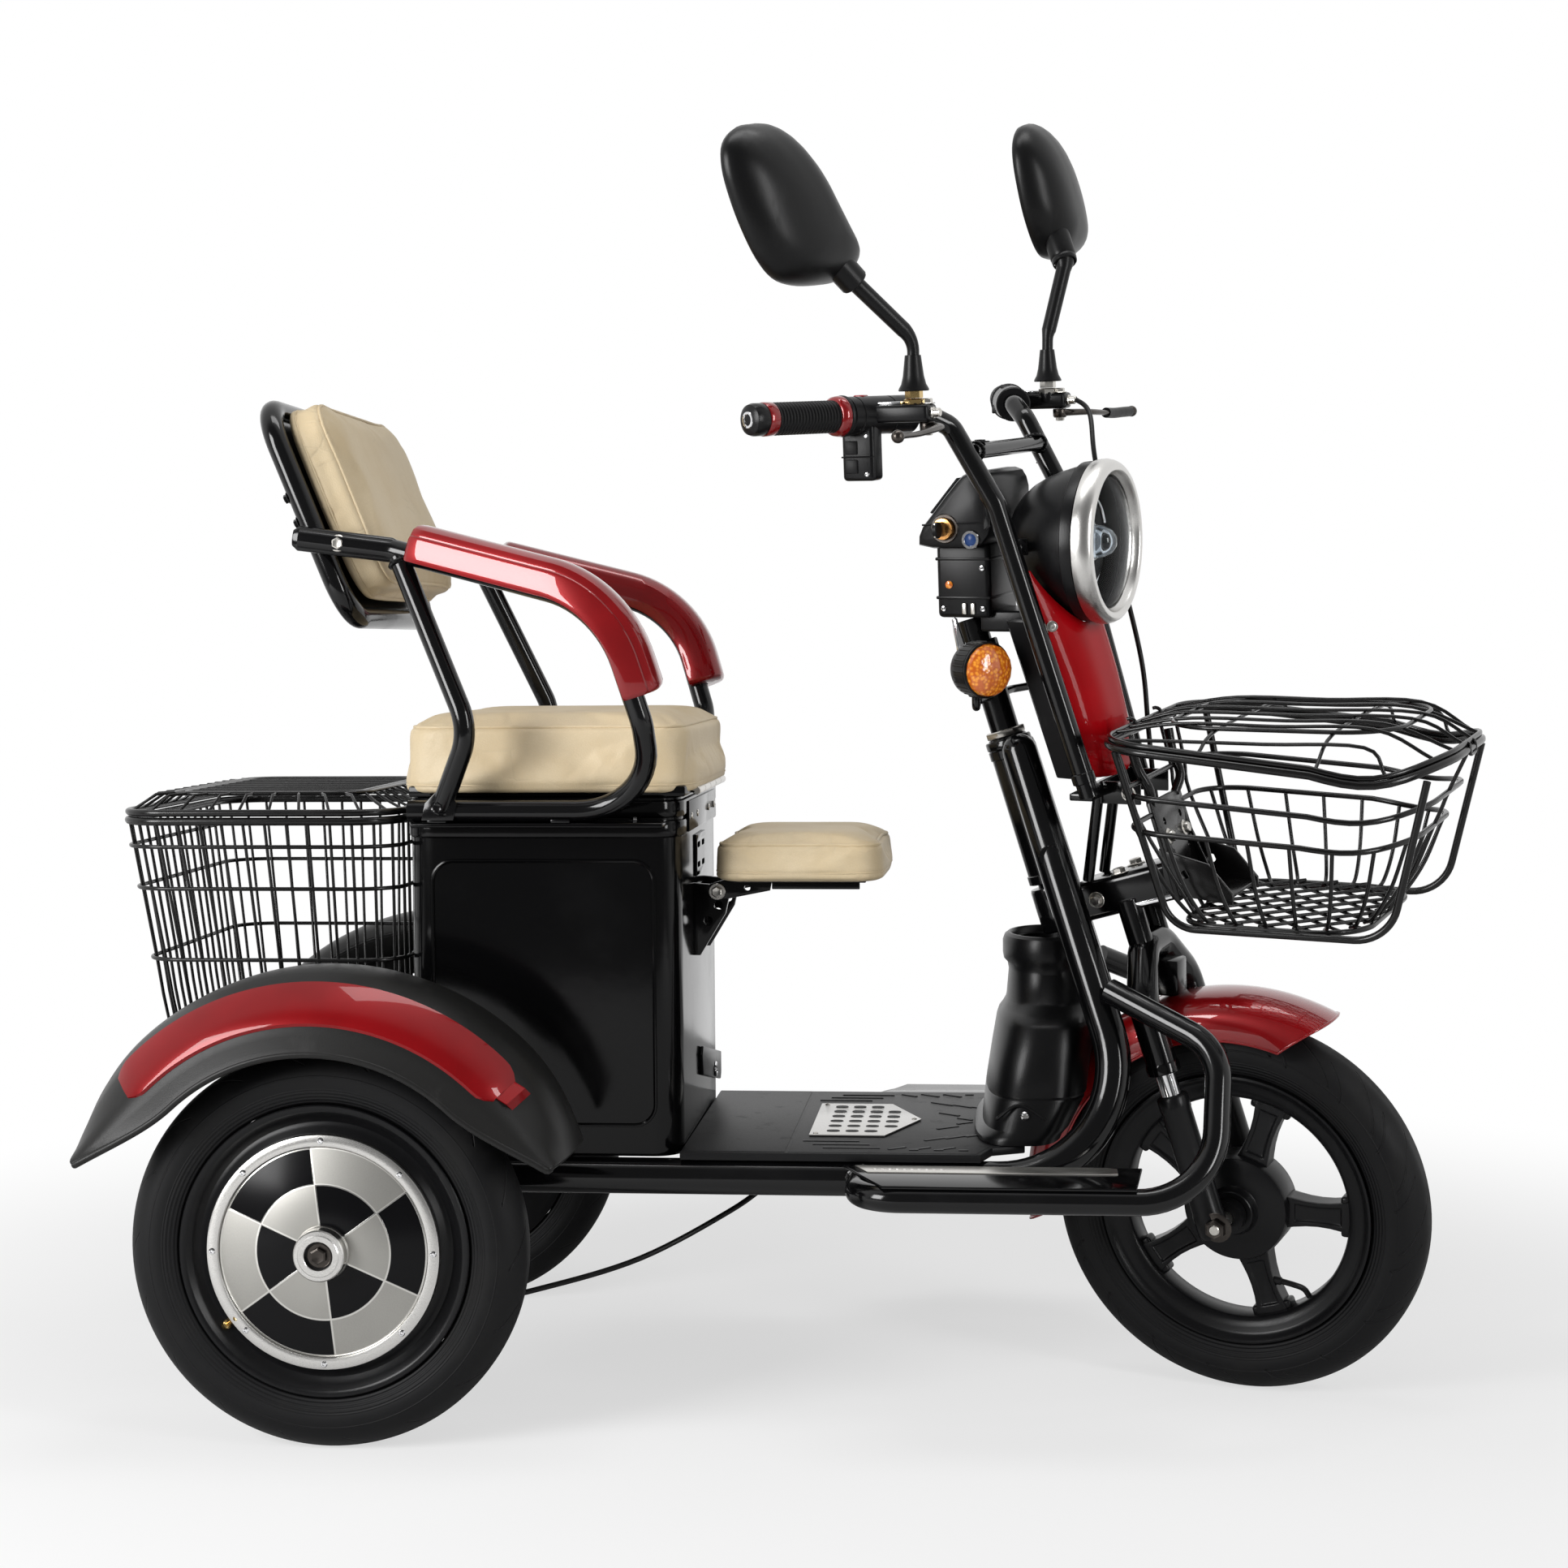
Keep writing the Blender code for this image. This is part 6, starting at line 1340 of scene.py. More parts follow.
def backrest_frame():
    """Thick loop round the backrest, its back sheet, and the clamps with their bolts."""
    corners = [(0.1185 + x, y) for x, y in oblong(0.1185, 0.18, 0.045, 0.0, 10)]
    loop = pipes([[back_point(up, side, 0.0) for up, side in corners]], 0.012, 20, closed=True)
    sheet = [(0.1185 + x, y) for x, y in oblong(0.115, 0.175, 0.042, 0.0, 8)]
    panel = skin([[back_point(up, side, out) for up, side in sheet] for out in (-0.003, 0.003)], around=True,
                 close=True)
    pieces = [loop, panel]
    facing = back_point(0, 0, 1) - back_point(0, 0, 0)
    for up in (0.06, 0.118, 0.176):
        pieces.append(pipes([[back_point(up, -0.153, -0.003), back_point(up, 0.153, -0.003)]], 0.0022, 10))
    for side in (-0.08, 0.08):
        pieces.append(turned(mm((0, 0), (14, 0), (14, 10.5), (13.2, 11.7), (0, 11.7)), back_point(0.1185, side, 0.0),
                             facing, 28))
        pieces.append(dress(bolt(back_point(0.1185, side, -0.003), -facing, 0.0072, 0.0045), ZINC))
    for side in (-1, 1):
        for up in (0.112, 0.14):
            pieces.append(bolt(back_point(up, side * 0.18, -0.0112), -facing, 0.0048, 0.0036))
    settle("backrest_loop", "frame", pieces, ["backrest_frame"], FRAME_BLACK)


# ---------------------------------------------------------------- cushions

def stuffed(form, cap, resting):
    """The form as upholstery swollen by its filling: no point moves further than the cap, what
    rests is held."""
    apply_modifier(form, "REMESH", mode="VOXEL", voxel_size=0.005)
    before = [vert.co.copy() for vert in form.data.vertices]
    held = form.vertex_groups.new(name="resting")
    held.add([vert.index for vert in form.data.vertices if resting(vert.co)], 1.0, "REPLACE")
    take(form)
    cloth = form.modifiers.new("swell", "CLOTH")
    cloth.settings.quality = 4
    cloth.settings.mass = 0.25
    cloth.settings.vertex_group_mass = "resting"
    cloth.settings.use_pressure = True
    cloth.settings.uniform_pressure_force = 4
    cloth.settings.tension_stiffness = 12
    cloth.settings.compression_stiffness = 12
    cloth.settings.effector_weights.gravity = 0
    cloth.collision_settings.use_collision = False
    cloth.point_cache.frame_end = 20
    for step in range(1, 21):
        bpy.context.scene.frame_set(step)
    bpy.ops.object.modifier_apply(modifier="swell")
    bpy.context.scene.frame_set(1)
    form.vertex_groups.clear()
    for vert, old in zip(form.data.vertices, before):
        step = vert.co - old
        if step.length > cap:
            vert.co = old + step.normalized() * cap
    apply_modifier(form, "SUBSURF", levels=1, render_levels=1)
    return form


def cushion(name, body, node, half_x, half_y, corner, height, crown, matrix, swell, skirt=0.0):
    """A boxed cushion: flat bottom with a skirt round it, border drawn in a little, piped top
    seam, crowned top."""
    small = swell * 0.8
    steps = [(0.06, 0.0), (0.0138, 0.0), (0.013, -skirt * 0.5), (0.0115, -skirt), (0.0045, 0.0006 - skirt),
             (0.0012, 0.0042 - skirt),
             (0.0, 0.009 - skirt * 0.5), (0.0012, height * 0.3),
             (0.0016, height * 0.5), (0.0008, height * 0.72), (0.0006, height - 0.0075), (0.003, height - 0.0028),
             (0.009, height - 0.0004), (0.022, height + crown * 0.45), (0.042, height + crown * 0.8),
             (0.07, height + crown)]
    rings = []
    for inset, z in steps:
        inset += small
        rings.append([Vector((x, y, max(z - small * z / height, -skirt))) for x, y in
                      oblong(half_x - inset, half_y - inset, max(0.006, corner - inset * 0.7), 0.0, 10)])
    form = skin(rings, around=True, close=True)
    form = stuffed(form, swell,
                   lambda co: co.z < 0.004 and (abs(co.x) < half_x - 0.012 and abs(co.y) < half_y - 0.012))
    seam = height - 0.0085
    low = 0.01 - skirt
    for vert in form.data.vertices:
        co = vert.co
        co.x = max(-half_x, min(half_x, co.x))
        co.y = max(-half_y, min(half_y, co.y))
        co.z = max(-skirt, min(height + crown, co.z))
        flat = Vector((co.x, co.y, 0)).length
        edge = max(abs(co.x) / half_x, abs(co.y) / half_y)
        if edge > 0.8 and flat:
            for level, deep in ((seam, 0.0022), (low, 0.0014)):
                near = 1 - abs(co.z - level) / 0.0045
                if near > 0:
                    co.x -= co.x / flat * deep * near * near
                    co.y -= co.y / flat * deep * near * near
    tree = BVHTree.FromPolygons([vert.co.copy() for vert in form.data.vertices],
                                [list(face.vertices) for face in form.data.polygons])
    lines = []
    for level, reach in ((seam, 0.0006), (low, 0.0002)):
        line = []
        for x, y in oblong(half_x + 0.02, half_y + 0.02, corner + 0.02, 0.0, 12):
            aim = Vector((math.copysign(max(0.0, abs(x) - corner - 0.02), x),
                          math.copysign(max(0.0, abs(y) - corner - 0.02), y), level))
            spot = tree.ray_cast(Vector((x, y, level)), (aim - Vector((x, y, level))).normalized())[0]
            if spot:
                line.append(spot + (Vector((x, y, level)) - aim).normalized() * reach)
        lines.append(line)
    trims = [pipes([lines[0]], 0.0019, 12, closed=True), pipes([lines[1]], 0.001, 8, closed=True)]
    whole = join(form, *trims)
    whole.data.transform(matrix)
    made = settle(name, body, whole, [node], CREAM, sharp=60)
    return made


def child_bracket():
    """Folding bracket: base plate under the child's cushion and two cheeks on the hinge pin."""
    pieces = [block((0.384, -0.0605, 0.555), (0.535, 0.0605, 0.5595), 0.0012, 2)]
    for side in (-1, 1):
        cheek = plate(mm((364, 537), (384, 537), (430, 546), (432, 556), (384, 559), (364, 553)),
                      side * 0.0503, side * 0.0565, edge=0.0012)
        pieces.append(pierce(cheek, bar((0.405, side * 0.04, 0.549), (0.405, side * 0.07, 0.549), 0.0034, steps=18)))
        pieces.append(block((0.432, side * 0.0503, 0.5475), (0.528, side * 0.0565, 0.5555), 0.001))
        for x in (0.452, 0.51):
            pieces.append(dress(bolt((x, side * 0.035, 0.5552), -UP, 0.005, 0.0034), ZINC))
    settle("child_seat_hinge", "child_seat", pieces, ["child_seat_bracket"], BOX_BLACK)


seat_box()
battery()
seat_pan()
for side, word in SIDES:
    armrest(side, word)
backrest_frame()
child_bracket()
cushion("driver_cushion", "seat", "seat_cushion", 0.161, 0.187, 0.048, 0.07, 0.007,
        Matrix.Translation((0.204, 0, 0.6676)), 0.006, 0.0095)
BACK_TURN = Matrix(((-math.sin(BACK_LEAN), 0, math.cos(BACK_LEAN)), (0, -1, 0),
                    (math.cos(BACK_LEAN), 0, math.sin(BACK_LEAN)))).to_4x4()
cushion("back_cushion", "frame", "backrest_cushion", 0.1145, 0.174, 0.045, 0.044, 0.006,
        Matrix.Translation(back_point(0.1225, 0, 0.0123)) @ BACK_TURN, 0.005)
cushion("child_cushion", "child_seat", "child_seat_cushion", 0.096, 0.115, 0.035, 0.048, 0.005,
        Matrix.Translation((0.465, 0, 0.5598)), 0.005)


# ---------------------------------------------------------------- wire baskets

def spaced(ring, count, first=0.0):
    """Points at equal steps round a closed line, from the middle of its front side."""
    start = ring[-1].lerp(ring[0], 0.5)
    loop = [start] + list(ring) + [start]
    lengths = [0.0]
    for before, after in zip(loop, loop[1:]):
        lengths.append(lengths[-1] + (after - before).length)
    points = []
    for k in range(count):
        want = lengths[-1] * (k + first) / count
        at = max(j for j in range(len(lengths) - 1) if lengths[j] <= want + 1e-9)
        share = (want - lengths[at]) / max(lengths[at + 1] - lengths[at], 1e-9)
        points.append(loop[at].lerp(loop[at + 1], share))
    return points


def rear_ring(z, grow=0.0):
    """The rear basket's wall line at a height."""
    down = (0.632 - z) / 0.234
    half_x = 0.149 - 0.018 * down
    half_y = 0.2 - 0.035 * down
    return round_ring(half_x + grow, half_y + grow, 0.05 - 0.01 * down, REAR_BASKET_X + 0.014 * down, z)


def rear_basket():
    """Dipped wire basket: tube rim, close uprights bent under its floor, three girdles and the
    bracket to the carrier."""
    count = 56
    walls = [spaced(rear_ring(z), count, 0.5) for z in (0.632, 0.56, 0.483, 0.408)]
    foot = spaced(rear_ring(0.398, -0.01), count, 0.5)
    uprights = []
    for k in range(count):
        uprights.append(flowing([walls[0][k], walls[1][k], walls[2][k], walls[3][k], foot[k]], 2))
    across = []
    for k in range(count // 2):
        a, b = foot[k], foot[count - 1 - k]
        if abs(a.x - b.x) < 0.002 and abs(a.y) > 0.1:
            across.append([a, b])
    along = []
    for k in range(count // 4):
        for a, b in ((foot[k], foot[count // 2 - 1 - k]), (foot[-1 - k], foot[count // 2 + k])):
            if abs(a.y - b.y) < 0.002:
                along.append([a + Vector((0, 0, 0.003)), b + Vector((0, 0, 0.003))])
    pieces = [pipes([rear_ring(0.632)], 0.0044, 14, closed=True)]
    pieces.append(pipes([rear_ring(0.56, 0.0022), rear_ring(0.483, 0.0022), rear_ring(0.605, 0.0022)], 0.0022, 10,
                        closed=True))
    pieces.append(pipes([rear_ring(0.4, -0.004)], 0.003, 12, closed=True))
    pieces.append(pipes(uprights, 0.0017, 8))
    pieces.append(pipes(across + along, 0.0017, 8))
    for side in (-1, 1):
        hook = [(0.0395, side * 0.12, 0.633), (0.0475, side * 0.12, 0.633), (0.051, side * 0.12, 0.629),
                (0.051, side * 0.12, 0.605)]
        pieces.append(pipes([hook], 0.003, 10))
        shelf = plate(mm((-5, 468), (42, 468), (42, 450), (20, 438), (-5, 455)), side * 0.17, side * 0.1745,
                      edge=0.001)
        pieces.append(dress(shelf, BOX_BLACK))
    for y in (-0.062, 0.062):
        pieces.append(dress(block((-0.15, y - 0.009, 0.3945), (-0.03, y + 0.009, 0.3975), 0.0008), BOX_BLACK))
        pieces.append(dress(bolt((-0.045, y, 0.402), UP, 0.0052, 0.0032), ZINC))
    settle("wire_rear_basket", "frame", pieces, ["rear_basket"], WIRE_BLACK, sharp=60)


def rear_lid():
    """Basket lid: ring, raised inner pair of rings, legs, and lengthwise and crossing wires."""
    ring = round_ring(0.149, 0.2, 0.05, REAR_BASKET_X, 0.6409)
    inner = round_ring(0.149 * 0.72, 0.2 * 0.78, 0.036, REAR_BASKET_X, 0.6589)
    second = round_ring(0.149 * 0.72 - 0.01, 0.2 * 0.78 - 0.01, 0.03, REAR_BASKET_X, 0.6589)
    pieces = [pipes([ring], 0.0038, 14, closed=True), pipes([inner, second], 0.0024, 12, closed=True)]
    wires = []
    count = 40
    for a, b in zip(spaced(ring, count, 0.5), spaced(inner, count, 0.5)):
        wires.append([a, a.lerp(b, 0.55) + Vector((0, 0, 0.0075 if a.x < 0.035 else -0.001)), b])
    half_x, half_y = 0.149 * 0.72 - 0.01, 0.2 * 0.78 - 0.01
    for k in range(11):
        y = half_y * (k - 5) / 5.6
        wires.append([(REAR_BASKET_X - half_x, y, 0.6589), (REAR_BASKET_X + half_x, y, 0.6589)])
    for k in range(7):
        x = REAR_BASKET_X + half_x * (k - 3) / 3.7
        wires.append([(x, -half_y, 0.6565), (x, half_y, 0.6565)])
    pieces.append(pipes(wires, 0.0016, 8))
    for side in (-1, 1):
        curl = [(0.0472 + 0.0058 * math.cos(math.radians(a)), side * 0.09,
                 0.6409 + 0.0058 * math.sin(math.radians(a))) for a in range(-150, 151, 30)]
        pieces.append(pipes([curl], 0.002, 10))
    latch = rounded(mm((-250.8, -14, 640.9), (-260, -14, 640.9), (-260, 14, 640.9), (-250.8, 14, 640.9)),
                    [0.004, 0.004], 4)
    pieces.append(pipes([latch], 0.0018, 10))
    settle("wire_rear_lid", "rear_basket_lid", pieces, ["rear_basket_lid"], WIRE_BLACK, sharp=60)


def front_ring(half_x, half_y, corner, nose, shift, z, dip=1.0):
    """A line round the front basket, rounder in front, rising to the rear and dipping at its
    front corners."""
    ahead, behind = oblong(half_x, half_y, nose, 0.0, 12), oblong(half_x, half_y, corner, 0.0, 12)
    ring = []
    for x, y in ahead[:13] + behind[13:39] + ahead[39:]:
        turn = abs(math.degrees(math.atan2(y, x)))
        rise = 0.0125 * ((0.172 - x) / 0.335) ** 2 - 0.017 * math.exp(-((turn - 55) / 20) ** 2)
        ring.append(Vector((1.018 + shift + x, y, z + rise * dip)))
    return ring


def front_basket():
    """Bent-tube basket: wavy rim, two wavy girdles, a bent side frame on each side and crossing
    floor wires."""
    rim = front_ring(0.172, 0.166, 0.06, 0.12, 0.0, 0.7155)
    upper = front_ring(0.1545, 0.153, 0.055, 0.105, -0.0035, 0.67, 0.65)
    middle = front_ring(0.143, 0.1465, 0.05, 0.1, -0.0065, 0.635, 0.45)
    low = front_ring(0.094, 0.1185, 0.04, 0.055, -0.004, 0.5405, 0.0)
    pieces = [pipes([rim], 0.0043, 18, closed=True), pipes([upper, middle], 0.0029, 14, closed=True),
              pipes([low], 0.003, 14, closed=True)]
    for side in (-1, 1):
        frame = rounded([(0.866, side * 0.153, 0.724), (0.913, side * 0.1225, 0.537), (1.138, side * 0.1225, 0.537),
                         (1.176, side * 0.127, 0.701)],
                        [0.034, 0.045], 10)
        pieces.append(pipes([frame], 0.0039, 16))
    count = 48
    rows = [spaced(ring, count) for ring in (rim, upper, middle, low)]
    thin = []
    for k in range(count):
        if k % 2 == 0 and not 18 < k < 30:
            inward = (Vector((1.014, 0, rows[3][k].z)) - rows[3][k]).normalized()
            thin.append(flowing([rows[2][k], rows[2][k].lerp(rows[3][k], 0.55) - inward * 0.004,
                                 rows[3][k] + Vector((0, 0, 0.008)) - inward * 0.001,
                                 rows[3][k] + inward * 0.014], 5))
        if k in (0, 20, 22, 26, 28):
            thin.append(flowing([rows[0][k], rows[1][k], rows[2][k], rows[3][k]], 4))
    pieces.append(pipes(thin, 0.0021, 10))
    floor_wires = []
    edge = spaced(low, 240)
    for lean, lift in ((1, 0.0), (-1, 0.0032)):
        for k in range(-4, 5):
            level = [point.x - 1.014 + lean * point.y - 0.036 * k for point in edge]
            ends = [edge[n] + Vector((0, 0, lift)) for n in range(240) if level[n] * level[n - 1] < 0]
            if len(ends) == 2:
                floor_wires.append(ends)
    pieces.append(pipes(floor_wires, 0.0019, 8))
    back = [steer_point(0.1503, y, up) for y, up in ((-0.05, -0.209), (0.05, -0.209), (0.05, -0.1), (-0.05, -0.1))]
    sheet = skin([back, [point + AHEAD * 0.0057 for point in back]], around=True, close=True)
    with Bench(sheet) as bench:
        bench.all()
        bpy.ops.mesh.bevel(offset=0.0012, segments=2, affect="EDGES", clamp_overlap=True)
    slots = []
    for side in (-1, 1):
        for up in (-0.125, -0.16):
            slots.append(turned(mm((0, -10), (4.2, -10), (4.2, 12), (0, 12)), steer_point(0.15, side * 0.026, up),
                                AHEAD, 18))
    pieces.append(pierce(sheet, *slots))
    for side in (-1, 1):
        pieces.append(dress(bolt(steer_point(0.156, side * 0.026, -0.142), AHEAD, 0.0062, 0.0042), ZINC))
        cheek = plate(mm((884, 556), (956, 548), (956, 560), (930, 590), (876, 604)), side * 0.044, side * 0.049,
                      edge=0.0012)
        pieces.append(pierce(cheek, bar((0.905, side * 0.03, 0.578), (0.905, side * 0.06, 0.578), 0.0048, steps=18)))
        strap = flowing([steer_point(0.152, side * 0.04, -0.104), (0.868, side * 0.052, 0.668),
                         (0.858, side * 0.058, 0.69), (0.852, side * 0.062, 0.716)], 5)
        pieces.append(pipes([strap], 0.0052, 14))
    pieces.append(block((0.89, -0.044, 0.5535), (0.954, 0.044, 0.5572), 0.001))
    settle("wire_front_basket", "steering", pieces, ["front_basket"], WIRE_BLACK, steered=True,
           sharp=60)


def front_lid():
    """Lid of the front basket: thin wavy ring, lengthwise wires lifted by a raised inner ring,
    hinge loops and a catch."""
    centre = 1.018
    ring = [point + Vector((0, 0, 0.0068)) for point in front_ring(0.172 * 0.99, 0.166 * 0.99, 0.06, 0.119, 0.0,
            0.7155)]
    inner = round_ring(0.172 * 0.7, 0.166 * 0.66, 0.06, centre, 0.744)
    pieces = [pipes([ring], 0.0028, 14, closed=True), pipes([inner], 0.0024, 12, closed=True)]
    wires = []
    count = 120
    edge = spaced(ring, count)
    for k in range(8):
        y = -0.142 + 0.0406 * k
        front = min(edge, key=lambda p: abs(p.y - y) + (1 if p.x < centre else 0))
        rear = min(edge, key=lambda p: abs(p.y - y) + (1 if p.x > centre else 0))
        lift = 0.744 if abs(y) < 0.105 else 0.732
        a = Vector((centre + (0.118 if abs(y) < 0.06 else 0.1), y, lift + 0.0028))
        b = Vector((centre - (0.118 if abs(y) < 0.06 else 0.1), y, lift + 0.0028))
        wires.append(flowing([rear, b, (a + b) / 2, a, front], 5))
    for x in (-0.06, 0.06):
        ends = sorted((p for p in edge if abs(p.x - centre - x) < 0.006), key=lambda p: p.y)
        wires.append(flowing([ends[0], Vector((centre + x, -0.105, 0.7415)), Vector((centre + x, 0.105, 0.7415)),
                              ends[-1]], 5))
    pieces.append(pipes(wires, 0.0019, 10))
    hinge = Vector((centre - 0.172 * 0.99 - 0.003, 0.0, 0.7355))
    for side in (-1, 1):
        curl = [hinge + Vector((0.0062 * math.cos(math.radians(a)), side * 0.042,
                                0.0062 * math.sin(math.radians(a)))) for a in range(-120, 121, 24)]
        pieces.append(pipes([curl], 0.002, 10))
    tip = centre + 0.172 * 0.99
    hook = flowing([(tip, -0.012, 0.7225), (tip + 0.004, -0.012, 0.7205), (tip + 0.005, -0.012, 0.711),
                    (tip + 0.005, 0.012, 0.711),
                    (tip + 0.004, 0.012, 0.7205), (tip, 0.012, 0.7225)], 4)
    pieces.append(pipes([hook], 0.0019, 10))
    settle("wire_front_lid", "front_basket_lid", pieces, ["front_basket_lid"], WIRE_BLACK, steered=True,
           sharp=60)


rear_basket()
rear_lid()
front_basket()
front_lid()


# ---------------------------------------------------------------- storage bucket

def bucket_ring(z, rear, front, half_y, square, count=64):
    middle, reach = (rear + front) / 2, (front - rear) / 2
    ring = []
    for k in range(count):
        angle = 2 * math.pi * k / count
        c, s = math.cos(angle), math.sin(angle)
        ring.append(Vector((middle + reach * math.copysign(abs(c) ** square, c),
                            half_y * math.copysign(abs(s) ** square, s), z)))
    return ring


def bucket():
    """Moulded bucket between the down tubes: flared shoulders, creases, a rolled rim and a set-in mouth."""
    rows = [(0.2843, 0.656, 0.744, 0.139, 0.62), (0.2846, 0.652, 0.748, 0.143, 0.62),
            (0.2893, 0.652, 0.75, 0.143, 0.62),
            (0.293, 0.6545, 0.753, 0.1425, 0.62), (0.2983, 0.66, 0.758, 0.14, 0.62),
            (0.33, 0.6635, 0.775, 0.1382, 0.65),
            (0.3322, 0.665, 0.7745, 0.137, 0.65), (0.335, 0.6642, 0.7765, 0.138, 0.65),
            (0.372, 0.67, 0.78, 0.131, 0.7),
            (0.404, 0.6755, 0.7845, 0.1232, 0.75), (0.41, 0.6775, 0.7845, 0.118, 0.76),
            (0.416, 0.6815, 0.7835, 0.103, 0.8),
            (0.424, 0.6855, 0.7825, 0.087, 0.85), (0.428, 0.6865, 0.7815, 0.0815, 0.85),
            (0.456, 0.689, 0.7745, 0.067, 0.9),
            (0.464, 0.6875, 0.7755, 0.068, 0.95), (0.468, 0.6835, 0.7785, 0.071, 1.0),
            (0.474, 0.6825, 0.78, 0.0722, 1.0),
            (0.488, 0.6825, 0.7802, 0.0723, 1.0), (0.4935, 0.6845, 0.7785, 0.0706, 1.0),
            (0.4965, 0.6885, 0.7745, 0.0668, 1.0),
            (0.4965, 0.6905, 0.7725, 0.0645, 1.0), (0.494, 0.6925, 0.7705, 0.0622, 1.0),
            (0.489, 0.6935, 0.7695, 0.0605, 1.0),
            (0.488, 0.6955, 0.768, 0.059, 1.0), (0.455, 0.6965, 0.766, 0.057, 1.0), (0.378, 0.683, 0.712, 0.04, 1.0)]
    shell = skin([bucket_ring(*row) for row in rows], around=True, close=True)
    swing = turned(mm((0, -318), (58, -318), (63, -335), (93, -377), (126, -426), (151, -483),
                    (156, -620), (0, -620)), STEER_BASE, ALONG, 96)
    pierce(shell, swing)
    pieces = [shell]
    for side in (-1, 1):
        pieces.append(dress(screw((0.706, side * 0.1395, 0.316), (0, side, -0.15), 0.005, 0.0026), CHROME))
        rib = flowing([(0.676, side * 0.1375, 0.312), (0.7, side * 0.138, 0.327), (0.728, side * 0.1378, 0.312)], 8)
        pieces.append(pipes([rib], 0.0018, 10))
    settle("moulded_bucket", "frame", pieces, ["storage_bucket"], BUCKET_BLACK, sharp=32)


bucket()


# ---------------------------------------------------------------- fork

def fork_crown():
    """Upper fork: arched tube, twin stems, rods, crown block with its collar and bolts, neck and
    mudguard hanger."""
    arch = rounded([steer_point(LEG_AHEAD, side, up) for side, up in ((-0.072, -0.38), (-0.072, -0.3),
            (-0.026, -0.252), (0.026, -0.252),
                                                                  (0.072, -0.3), (0.072, -0.38))],
                                                                  [0.035, 0.03, 0.03, 0.035], 10)
    pieces = [pipes([arch], 0.017, 24)]
    for side in (-1, 1):
        pieces.append(bar(steer_point(LEG_AHEAD, side * 0.027, -0.262), steer_point(LEG_AHEAD, side * 0.027, -0.196),
                          0.0135))
        pieces.append(dress(bar(steer_point(LEG_AHEAD, side * LEG_Y, -0.472),
                                steer_point(LEG_AHEAD, side * LEG_Y, -0.374), 0.0113), CHROME))
        pieces.append(turned(mm((17.2, -379.8), (18.2, -378.8), (18.2, -370), (17.2, -368)),
                             steer_point(LEG_AHEAD, side * LEG_Y, 0), ALONG, 32))
    crown = block((0.03, -0.034, -0.209), (0.15, 0.034, -0.167), 0.007, 4)
    crown.data.transform(Matrix.Translation(STEER_BASE) @ STEERING_AXES)
    pieces.append(crown)
    pieces.append(turned(mm((16.5, -213), (23, -213), (25.5, -211), (26, -190), (26, -166), (25, -163),
                          (16.5, -162.5), (16.5, -213)), STEER_BASE, ALONG, 48))
    neck = block((0.005, -0.024, -0.205), (0.045, 0.024, -0.171), 0.005, 3)
    neck.data.transform(Matrix.Translation(STEER_BASE) @ STEERING_AXES)
    pieces.append(neck)
    for side in (-1, 1):
        pieces.append(dress(bolt(steer_point(LEG_AHEAD, side * 0.027, -0.167), ALONG, 0.0072, 0.0046), ZINC))
        pieces.append(dress(bolt(steer_point(0.058, side * 0.034, -0.188), SIDE * side, 0.0062, 0.0042), ZINC))
        strip = plate(mm((0, 0), (56, 0), (56, 4.5), (0, 4.5)), 0.0, 0.0012, "XZ", 0.0004)
        place = steer_point(0.086, side * 0.034 + (0 if side > 0 else -0.0012), -0.206)
        strip.data.transform(Matrix.Translation(place) @ STEERING_AXES)
        pieces.append(dress(strip, CHROME))
    hanger = block((0.8548, -0.016, 0.4352), (0.8848, 0.016, 0.475), 0.003, 2)
    pieces.append(hanger)
    pieces.append(dress(bolt((0.8548, 0.0, 0.456), (-1, 0, 0), 0.0058, 0.0036), ZINC))
    settle("arched_fork_crown", "steering", pieces, ["fork_crown"], FRAME_BLACK, steered=True,
           sharp=38)


def fork_lower():
    """Sliders with dust seals, axle lugs, the axle with its nuts, and the mudguard's stays."""
    axle_up = (FRONT_AXLE - STEER_BASE).dot(ALONG)
    pieces = []
    for side in (-1, 1):
        pieces.append(turned([(0.0115, -0.405), (0.0158, -0.4052), (0.017, -0.407), (0.017, -0.42), (0.0164, -0.4215),
                              (0.0164, axle_up + 0.016),
                              (0.0172, axle_up + 0.013), (0.0172, axle_up - 0.008), (0.015, axle_up - 0.0122),
                              (0, axle_up - 0.0125)],
                             steer_point(LEG_AHEAD, side * LEG_Y, 0), ALONG, 40))
        pieces.append(dress(turned(mm((11.8, -406), (15, -405.2), (14.2, -404.6), (11.8, -404.2)),
                                   steer_point(LEG_AHEAD, side * LEG_Y, 0), ALONG, 32), GRIP_RUBBER))
        nut = bolt(FRONT_AXLE + SIDE * side * 0.0865, SIDE * side, 0.0112, 0.008)
        pieces.append(dress(nut, DARK_METAL))
        pieces.append(dress(bar(FRONT_AXLE + SIDE * side * 0.092, FRONT_AXLE + SIDE * side * 0.0975, 0.0058,
                                edge=0.001), ZINC))
        pieces.append(turned(mm((8.5, 39.2), (18, 39.5), (18.6, 41), (18.6, 54.8), (8.5, 55.2)), FRONT_AXLE,
                             SIDE * side, 36))
    pieces.append(dress(bar(FRONT_AXLE - SIDE * 0.088, FRONT_AXLE + SIDE * 0.088, 0.008), ZINC))
    settle("fork_sliders_satin", "fork_sliders", pieces, ["fork_lower"], SATIN_BLACK, steered=True,
           sharp=38)


fork_crown()
fork_lower()


# ---------------------------------------------------------------- handlebar, column and what hangs on them

def side_tube_x(z):
    """How far forward the handlebar's side tubes are at a height."""
    return 0.722 + (0.9715 - z) / 0.3085 * 0.09


